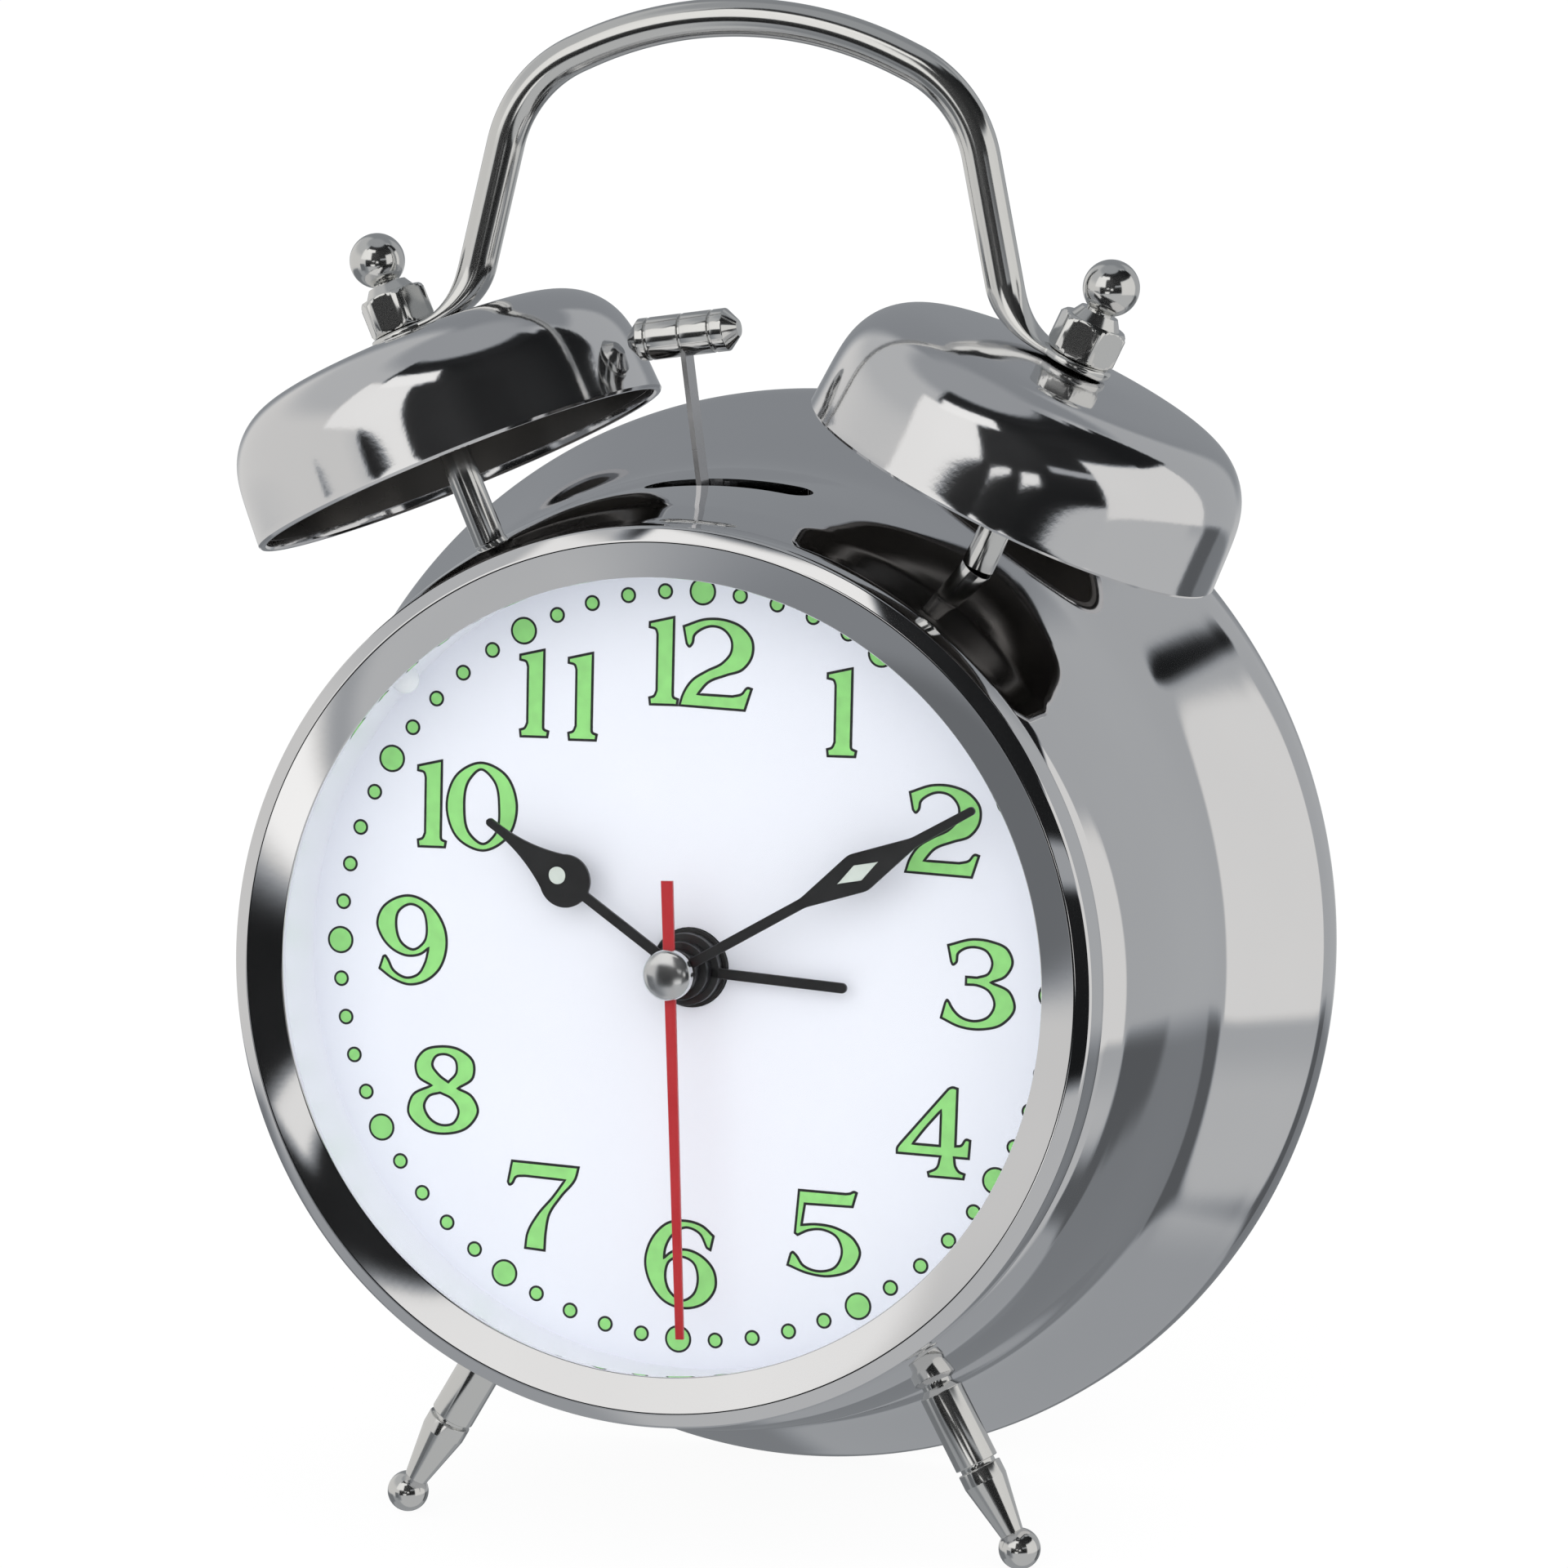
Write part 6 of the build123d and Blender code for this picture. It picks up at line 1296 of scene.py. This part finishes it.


# Hour figures

# Points picked on the photograph, converted through the fitted camera to millimetres from each
# figure's middle and rounded to a tenth; a star marks a corner
FIGURES = {
    "0": (
        "-4,-0.3 -2.9,3.3 -0.3,4.7 2.6,3.6 4,0.4 3.1,-3 0.3,-4.7 -2.6,-3.6",
        "-2,-0.2 -1.5,2.8 -0.2,4 1.3,2.9 2,0.1 1.6,-2.9 0.3,-4 -1.3,-3",
    ),
    "1": (
        "*-1.7,4 *1,4.7 *1.1,-3.1 1.2,-3.8 *1.7,-4 *1.6,-4.6 *-1.4,-4.7 *-1.5,-4 -1,-3.8 *-0.7,-3.2 "
        "*-0.8,2.8 -1,3.3 *-1.7,3.5",
    ),
    "2": (
        "*-3.8,3.8 *-3.4,2 -3.1,1.7 -2.8,2 -2.6,2.9 -1.8,3.6 -0.6,4 0.7,3.7 1.6,2.6 1.6,1.4 0.7,0.2 "
        "-1.1,-0.8 -2.7,-1.9 -3.6,-3.3 *-4,-4.6 *3.3,-4.7 *4,-2.4 3.6,-2.3 2.9,-3 *1.9,-3.3 *-2,-3.3 "
        "-0.9,-2 1.1,-1.1 2.9,-0.4 3.9,1 3.9,2.7 2.8,4 0.9,4.7 -1.3,4.7",
    ),
    "3": (
        "*-3.5,3.9 *-3.1,2.2 -2.9,1.9 -2.6,2.1 -2.4,3.1 -1.6,3.7 -0.6,3.9 0.8,3.5 1.4,2.3 1,1.2 "
        "*-0.2,0.7 *-1.4,0.7 *-1.4,-0.1 -0.2,-0.1 1.1,-0.6 1.8,-2 1.2,-3.3 -0.3,-3.9 -2,-3.5 "
        "-2.9,-2.6 *-3.2,-2.1 -3.4,-1.9 *-3.6,-2.2 *-4,-3.8 -1.9,-4.6 0.5,-4.7 2.7,-4 4,-2.2 3.4,-0.6 "
        "*1.3,0.3 2.9,1.1 3.6,2.6 3,3.9 1.2,4.6 -0.8,4.7",
    ),
    "4": (
        "*1.4,4.6 1.8,4.8 *2.4,4.7 *2.4,-1.4 3,-1.3 3.6,-0.6 *4,-0.7 *3.9,-2.6 *2.3,-2.6 2.5,-3.6 "
        "2.9,-4.1 *3.5,-4.3 *3.4,-4.8 *-0.4,-4.8 *-0.5,-4.4 0.4,-3.9 *0.8,-2.6 *-4,-2.6 -4,-2.1 "
        "*-3.7,-1.6",
        "*0.7,2.3 *0.7,-1.5 *-2.3,-1.5 -1.2,0",
    ),
    "5": (
        "*-3,4.3 *2.2,4.3 2.7,4.4 3.1,4.6 *3.4,4.5 *3,3 *-2.3,2.9 *-2.6,0.6 -1,0.8 1.5,0.5 3.3,-0.5 "
        "4,-1.8 3.4,-3.4 0.8,-4.6 -1.7,-4.5 *-4,-3.8 *-3.7,-2.6 -3.5,-2.4 -3.2,-2.6 -2.3,-3.7 "
        "-0.5,-4.2 1.3,-3.6 2,-2 1.4,-0.4 -0.3,0.3 -1.8,0.1 *-3,-0.5 *-3.3,-0.3",
    ),
    "6": (
        "*3.6,3.3 *3.3,1.8 *2.9,2 2,3.5 0.5,4 -1,3.1 -1.8,1.5 *-1.9,0.5 -1.1,1.2 0.4,1.6 2.4,1 "
        "3.8,-0.5 4,-2.2 2.9,-3.9 0.8,-4.7 -1.6,-4.2 -3.3,-2.4 -4,-0.1 -3.2,2.7 -1.6,4.3 0.4,4.7 "
        "2.3,4.3",
        "0.1,0.8 1.4,0.3 2,-1.4 1.5,-3.2 0.4,-3.9 -1,-3.2 -1.7,-1.3 -1.3,0.2",
    ),
    "7": (
        "*-3.6,4.7 *4,4.6 3.7,3.4 2.1,1.3 0.8,-0.8 0.5,-2.5 *0.4,-4.7 *-1.8,-4.6 -1.6,-3 -0.5,-0.9 "
        "1.2,1.2 *2.5,3.1 *-2.1,3.2 -3.1,3 -3.6,2.2 -3.8,2.1 *-4,2.4",
    ),
    "8": (
        "-0.5,4.7 1.7,4.5 3.3,3.3 3.3,1.6 *1.6,0.3 3.2,-0.4 4,-1.9 3,-3.7 0.4,-4.7 -2.2,-4.4 -4,-2.7 "
        "-3.6,-0.9 *-1.4,0.4 -3,1.3 -3.3,2.7 -2.4,4.1",
        "0.1,3.9 1.2,3.4 1.4,2 *0.5,0.9 -0.6,1.6 -1.4,2.7 -1,3.6",
        "*-0.4,-0.3 1,-0.9 1.8,-2.2 1.2,-3.5 -0.2,-3.8 -1.6,-3.1 -2.2,-1.8 -1.7,-0.8",
    ),
    "9": (
        "-0.4,4.8 1.6,4.2 3.1,2.8 3.9,1.1 4,-0.8 3.2,-3 1.7,-4.3 -0.1,-4.8 -2,-4.3 *-3.6,-3.3 "
        "*-3.2,-2 -3,-1.9 -2.8,-2.1 -2,-3.4 -0.4,-4.1 0.9,-3.6 1.6,-2.4 *2,-0.7 1.1,-1.4 -0.3,-1.7 "
        "-2,-1.2 -3.4,0.1 -4,1.6 -3.5,3.2 -2.2,4.3",
        "-0.2,3.9 1.1,3.4 1.7,1.7 1.5,0 0.2,-1 -1.1,-0.4 -1.8,1.3 -1.6,3",
    ),
}

HOUR_FIGURES = (
    ("1", -4.1, 32.4), ("2", 1.8, 32.4), ("1", 15.9, 28.2), ("2", 27.5, 16.5), ("3", 32.0, 0.6),
    ("4", 27.7, -15.3), ("5", 16.0, -27.1), ("6", 0.0, -31.9), ("7", -15.9, -27.1), ("8", -27.6, -15.4),
    ("9", -31.8, 0.55), ("1", -29.9, 15.45), ("0", -24.2, 15.5), ("1", -18.6, 28.05), ("1", -13.1, 28.05),
)


def traced(outline: str, steps: int = 8) -> Array:
    """Closed line through an outline's points: straight between two corners, else a Hermite curve.

    p(s) = (2s³ - 3s² + 1)·a + (s³ - 2s² + s)·u + (3s² - 2s³)·b + (s³ - s²)·v. A smooth point's slope is
    the mean of the ways to its neighbours, the nearer one counting more; a corner's is the straight way.

    Args:
        outline: Points "x,z" with blanks between them; a star in front marks a corner.
        steps: Points on each piece.

    Returns:
        Points (n, 2) without the closing one.
    """
    words = outline.split()
    corner = np.array([word.startswith("*") for word in words])[:, None]
    p = np.array([word.lstrip("*").split(",") for word in words], float)
    way = np.roll(p, -1, 0) - p
    ahead = np.linalg.norm(way, axis=1, keepdims=True)
    behind = np.roll(ahead, 1, 0)
    unit = way / ahead
    slope = (unit * behind + np.roll(unit, 1, 0) * ahead) / (ahead + behind)
    leave = np.where(corner, unit, slope) * ahead
    arrive = np.where(np.roll(corner, -1), unit, np.roll(slope, -1, 0)) * ahead
    s = np.linspace(0, 1, steps, endpoint=False)[None, :, None]
    a, b, u, v = (block[:, None] for block in (p, p + way, leave, arrive))
    line = (2 * s ** 3 - 3 * s ** 2 + 1) * a + (s ** 3 - 2 * s ** 2 + s) * u
    line = line + (3 * s ** 2 - 2 * s ** 3) * b + (s ** 3 - s ** 2) * v
    return line.reshape(-1, 2)


def grown(line: Array, amount: float, limit: float = 1.5, keep: float = 0.9) -> Array:
    """Closed line moved to the left of its run; corners move further, and points that come too near it go.

    Args:
        line: Points (n, 2) without the closing one.
        amount: How far the line moves.
        limit: How many times as far a corner may move.
        keep: Points nearer to the line than this share of the amount go.

    Returns:
        The moved points, without those inside a notch.
    """
    way = np.roll(line, -1, 0) - line
    way /= np.maximum(np.linalg.norm(way, axis=1, keepdims=True), 1e-9)
    left = np.stack([-way[:, 1], way[:, 0]], -1)
    both = left + np.roll(left, 1, 0)
    length = np.maximum(np.linalg.norm(both, axis=1, keepdims=True), 1e-6)
    moved = line + amount * both / length * np.minimum(2 / length, limit)
    gap = np.linalg.norm(moved[:, None] - line[None], axis=2).min(1)
    return moved[gap > keep * abs(amount)]


@dataclass
class Numerals:
    """Luminous hour figures with dark outlines, printed on the dial."""

    line: float = 0.14
    film: float = 0.03

    def build(self, shop: Workshop) -> None:
        """Print the dark figures first and the narrower green ones on them."""
        dark, green = self.print(self.line, self.film), self.print(-self.line, 2 * self.film)
        print_pair(shop, "figure", dark, green)

    def print(self, grow: float, height: float) -> Shell:
        """All figures as one film, moved outwards by grow and turned with the dial.

        Args:
            grow: How far the edges move outwards.
            height: How far the film stands out of the dial.

        Returns:
            The film.
        """
        film = Shell(np.empty((0, 3)), [])
        for figure, x, z in HOUR_FIGURES:
            film = film + self.slab(figure, (x, z), grow, height)
        return Shell(turned(film.points, DIAL_TURN), film.faces)

    def slab(self, figure: str, middle: Pair, grow: float, height: float) -> Shell:
        """One figure: its outlines filled in front and behind, with walls between.

        Args:
            figure: The figure's character.
            middle: Its middle (x, z) on the dial.
            grow: How far its edge moves outwards.
            height: How far it stands out of the dial.

        Returns:
            The closed slab.
        """
        loops = []
        for index, outline in enumerate(FIGURES[figure]):
            loop = traced(outline)
            x, z = loop.T
            clockwise = np.sum(x * np.roll(z, -1) - z * np.roll(x, -1)) < 0
            outwards = grow if clockwise == (index == 0) else -grow
            loops.append(grown(loop, outwards) + middle)
        flat = np.vstack(loops)
        count = len(flat)
        fill = np.array(tessellate_polygon([[(x, z, 0) for x, z in loop] for loop in loops]))
        first = np.r_[0, np.cumsum([len(loop) for loop in loops])]
        near = np.arange(count)
        far = np.concatenate([np.roll(near[i:j], -1) for i, j in zip(first[:-1], first[1:])])
        walls = np.stack([near, far, far + count, near + count], -1)
        depth = np.repeat([0.0, -height], count)
        points = np.stack([np.tile(flat[:, 0], 2), depth, np.tile(flat[:, 1], 2)], -1)
        return Shell(points, [fill, fill[:, ::-1] + count, walls])


# CAD nodes


@dataclass
class KeptNodes:
    """Finishes for all CAD nodes, also those that a piece replaces."""

    def build(self, nodes: dict, record: dict) -> None:
        """Give each node the finish of its slot; the lens, whose slot isn't listed, gets glass.

        Args:
            nodes: CAD objects by node name.
            record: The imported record.
        """
        for part in record["subparts"]:
            piece = nodes[part["node"]]
            finish = SLOT_FINISHES.get(part["material_slot"], ClearGlass())
            piece.data.materials.clear()
            piece.data.materials.append(finish.material())
            log.info("node %s: %s", part["node"], finish.name)


# Studio


@dataclass(frozen=True)
class Panel:
    """A soft patch of the studio's walls, by azimuth and elevation in degrees; azimuth 0 faces the dial."""

    azimuth: Pair
    elevation: Pair
    tone: float
    feather: float = 3.0

    def mask(self, azimuth: Array, elevation: Array) -> Array:
        """1 inside the patch, falling to 0 over the feather beyond its edges.

        Args:
            azimuth: Azimuths in degrees.
            elevation: Elevations in degrees.

        Returns:
            The patch's share at each.
        """
        (left, right), (low, high) = self.azimuth, self.elevation
        aside = np.abs((azimuth - (left + right) / 2 + 180) % 360 - 180) - (right - left) / 2
        above = np.abs(elevation - (low + high) / 2) - (high - low) / 2
        return (1 - smooth_step(aside, 0, self.feather)) * (1 - smooth_step(above, 0, self.feather))


@dataclass(frozen=True)
class Sun:
    """A soft lamp: the way its light goes, its power and its spread in degrees."""

    name: str
    way: Triple
    power: float
    angle: float


@dataclass
class Studio:
    """Floor, walls that show in reflections alone, lamps, world and camera."""

    clock: ClockFrame
    radius: float = 1.6
    middle: Triple = (0, 0, 0.08)
    floor_radius: float = 6.0
    wall_tone: float = 0.68
    metal: float = 0.78
    cool: tuple = (0.90, 0.945, 1.0)
    warm: tuple = (1.0, 0.99, 0.97)
    suns: tuple = (Sun("key", (0.08, 0.9, -0.42), 0.8, 60), Sun("fill", (-0.7, 0.5, -0.4), 0.64, 70))
    walls: tuple = (
        Panel((-180, 180), (66, 90), 0.58, 12),
        Panel((-180, 180), (-90, -26), 0.58, 10),
        Panel((-30, 126), (-90, -22), 0.68, 12),
        Panel((-140, -40), (-10, 14), 0.76, 18),
        Panel((140, 215), (0, 60), 0.52, 14),
        Panel((120, 165), (-20, 40), 0.63, 8),
        Panel((136, 285), (-40, -20), 0.46, 4),
        Panel((132, 146), (-40, -20), 0.34, 4),
        Panel((-37, -29), (-32, -16), 0.50, 14),
        Panel((-54, -36), (-26, -5.5), 0.41, 3),
        Panel((-50, -7), (14, 46), 0.87, 4),
        Panel((-36, 110), (52, 64), 0.15, 6),
        Panel((4, 122), (33, 56), 0.13, 4),
        Panel((104, 131), (30, 50), 0.13, 2),
        Panel((-34, 10), (45, 53), 0.90, 3),
        Panel((-4, 58), (-10, 40), 0.12, 3),
        Panel((-27, 14), (-11, 10), 0.10, 4),
        Panel((-5, 8), (-10, -7), 0.94, 5),
        Panel((0, 9), (6.5, 9), 0.85, 1.5),
        Panel((16, 24), (1, 7), 0.85, 2),
        Panel((34, 62), (13, 17), 0.60, 2),
        Panel((61, 126), (-17, 28), 0.80, 2),
    )

    def build(self) -> None:
        """Set up everything around the clock."""
        bpy.context.scene.view_settings.view_transform = "Standard"
        self.floor()
        self.dome()
        self.lamps()
        self.world()
        self.camera()

    def stage(self, name: str, rows: Array, caps: bool) -> Piece:
        """Stage object from rows of points in metres.

        Args:
            name: Object name.
            rows: Points (rows, columns, 3).
            caps: True if open ends are filled.

        Returns:
            The object.
        """
        shell = loft(rows, caps=caps)
        piece = linked(name, raw_mesh(name, shell.points, shell.faces))
        return piece

    def seen(self, tree: Tree, unseen: float, seen: float) -> Socket:
        """Socket that is one level for camera, glossy and transmission rays, and another for the rest.

        Args:
            tree: Nodes of the material or world.
            unseen: Level for rays that only carry light.
            seen: Level for rays that show the surface.

        Returns:
            The socket with the level.
        """
        path = tree.nodes.new("ShaderNodeLightPath").outputs
        direct = {0: path["Is Camera Ray"], 1: path["Is Glossy Ray"]}
        first = added(tree, "Math", direct, operation="MAXIMUM")
        both = added(tree, "Math", {0: first, 1: path["Is Transmission Ray"]}, operation="MAXIMUM")
        return ranged(tree, both, unseen, seen, (0, 1))

    def floor(self, white: float = 0.9, glow: float = 1.03, pale: float = 0.93, gap: float = 0.0001) -> None:
        """White round floor just under the feet: rings of growing radius, and a faint shadow of the clock.

        Args:
            white: Share of the floor that looks white whatever falls on it.
            glow: Brightness of that share.
            pale: Tone of the rest, which takes the shadow.
            gap: Metres from the feet down to the floor.
        """
        turn = full_turn(64)
        ring = np.array([0.0, 0.3, 1.0, self.floor_radius])[:, None]
        rows = np.stack(np.broadcast_arrays(ring * np.cos(turn), ring * np.sin(turn), -gap), -1)
        piece = self.stage("floor", rows, False)
        piece.visible_glossy = False
        material, tree, shader = new_material("pale_floor")
        wire(shader, {"Base Color": (pale, pale, pale, 1), "Roughness": 0.9, "Specular IOR Level": 0.0})
        shine = added(tree, "Emission", {"Strength": glow})
        share = self.seen(tree, 0.0, white)
        show(tree, added(tree, "MixShader", {"Fac": share, 1: shader.outputs["BSDF"], 2: shine}))
        material.cycles.emission_sampling = "NONE"
        piece.data.materials.append(material)

    def dome(self, columns: int = 540, rows: int = 270, pole: float = 89.9, gamma: float = 2.2) -> None:
        """Sphere round the clock: tone(az, el) = wall tone, then each panel blended over it by its mask.

        A patch glows with tone^gamma / metal, so that the metal shows about its tone.

        Args:
            columns: Points round the sphere.
            rows: Points from pole to pole.
            pole: Elevation of the first and last row, in degrees.
            gamma: Power from a tone in the picture to light.
        """
        az = np.linspace(-180, 180, columns, endpoint=False)
        el = np.linspace(-pole, pole, rows)
        e, a = np.meshgrid(np.radians(el), np.radians(az), indexing="ij")
        way = np.stack([np.sin(a) * np.cos(e), -np.cos(a) * np.cos(e), np.sin(e)], -1)
        piece = self.stage("studio_walls", self.radius * way + self.middle, True)
        tone = np.full(a.shape, self.wall_tone)
        for panel in self.walls:
            mask = panel.mask(np.degrees(a), np.degrees(e))
            tone = tone * (1 - mask) + panel.tone * mask
        glow_level = tone ** gamma / self.metal
        attribute = piece.data.attributes.new("level", "FLOAT", "POINT")
        attribute.data.foreach_set("value", glow_level.ravel().astype(np.float32))
        piece.data.materials.append(self.wall_paint(attribute.name))
        piece.visible_camera = piece.visible_diffuse = False
        piece.visible_shadow = piece.visible_transmission = False

    def wall_paint(self, attribute: str) -> Material:
        """Glow by an attribute's level, cool where it is dim and warm where it is bright.

        Args:
            attribute: Name of the mesh's attribute.

        Returns:
            The material.
        """
        material, tree, shader = new_material("studio_paint")
        tree.nodes.remove(shader)
        level = added(tree, "Attribute", {}, "Fac")
        level.node.attribute_name = attribute
        colour = tinted(tree, level, self.cool, self.warm)
        show(tree, added(tree, "Emission", {"Color": colour, "Strength": level}))
        material.cycles.emission_sampling = "NONE"
        return material

    def lamps(self) -> None:
        """Soft key from above in front, and a weaker fill from the right."""
        for sun in self.suns:
            light = bpy.data.lights.new(sun.name, "SUN")
            light.energy = sun.power
            light.angle = np.radians(sun.angle)
            light.specular_factor = 0.0
            back = -np.array(sun.way) / np.linalg.norm(sun.way)
            side = np.cross((0, 0, 1), back)
            side /= np.linalg.norm(side)
            linked(sun.name, light).matrix_world = placement((side, np.cross(back, side), back), (0, 0, 1))

    def world(self, ambient: float = 0.83) -> None:
        """White to camera, glossy and transmission rays, and a softer even light for the rest.

        Args:
            ambient: Level of that softer light.
        """
        world = bpy.data.worlds.new("studio_sky")
        world.use_nodes = True
        bpy.context.scene.world = world
        level = self.seen(world.node_tree, ambient, 1.0)
        wire(world.node_tree.nodes["Background"], {"Color": (1, 1, 1, 1), "Strength": level})

    def camera(self, azimuth: float = 18.51, elevation: float = 6.20, roll: float = 1.97,
               distance: float = 770.96, aim: Pair = (9.92, 19.44), lens: float = 166.9) -> None:
        """Camera of the photograph, given by its angles to the dial.

        Args:
            azimuth: Degrees to the reader's right of the dial's axis.
            elevation: Degrees above that axis.
            roll: Degrees about the view.
            distance: Millimetres from the dial's centre along the view.
            aim: Shift of the camera to its own right and up, in millimetres.
            lens: Focal length on a 36 mm sensor.
        """
        az, el, ro = np.radians([azimuth, elevation, roll])
        back = np.array([np.sin(az) * np.cos(el), -np.cos(az) * np.cos(el), np.sin(el)])
        right = np.array([np.cos(az), np.sin(az), 0])
        up = np.cross(back, right)
        basis = np.stack([np.cos(ro) * right + np.sin(ro) * up, np.cos(ro) * up - np.sin(ro) * right, back])
        spot = back * distance + aim[0] * basis[0] + aim[1] * basis[1]
        *axes, spot = turned(np.vstack([basis, spot]), DIAL_TURN)
        data = bpy.data.cameras.new("photo_camera")
        data.lens, data.sensor_width, data.sensor_fit = lens, 36.0, "HORIZONTAL"
        data.clip_start, data.clip_end = 0.01, 50
        camera = linked("photo_camera", data)
        camera.matrix_world = placement(self.clock.turn(axes), self.clock.place(spot))
        bpy.context.scene.camera = camera


def main(packed: dict) -> None:
    """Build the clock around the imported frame.
    """
    logging.basicConfig(level=logging.INFO, format="%(name)s %(message)s")
    clock = ClockFrame.from_joints(packed["joints"])
    shop = Workshop(clock)
    KeptNodes().build(packed["nodes"], packed["record"])
    hammer = HammerHead.from_joints(packed["joints"])
    makers = (CaseDrum(), FrontWindow(), BellSet(), CarryHandle(), Feet(), hammer, HandStack(), DialPrint(),
              Numerals())
    for maker in makers:
        maker.build(shop)
    Studio(clock).build()


if __name__ == "__main__":
    main(frame)
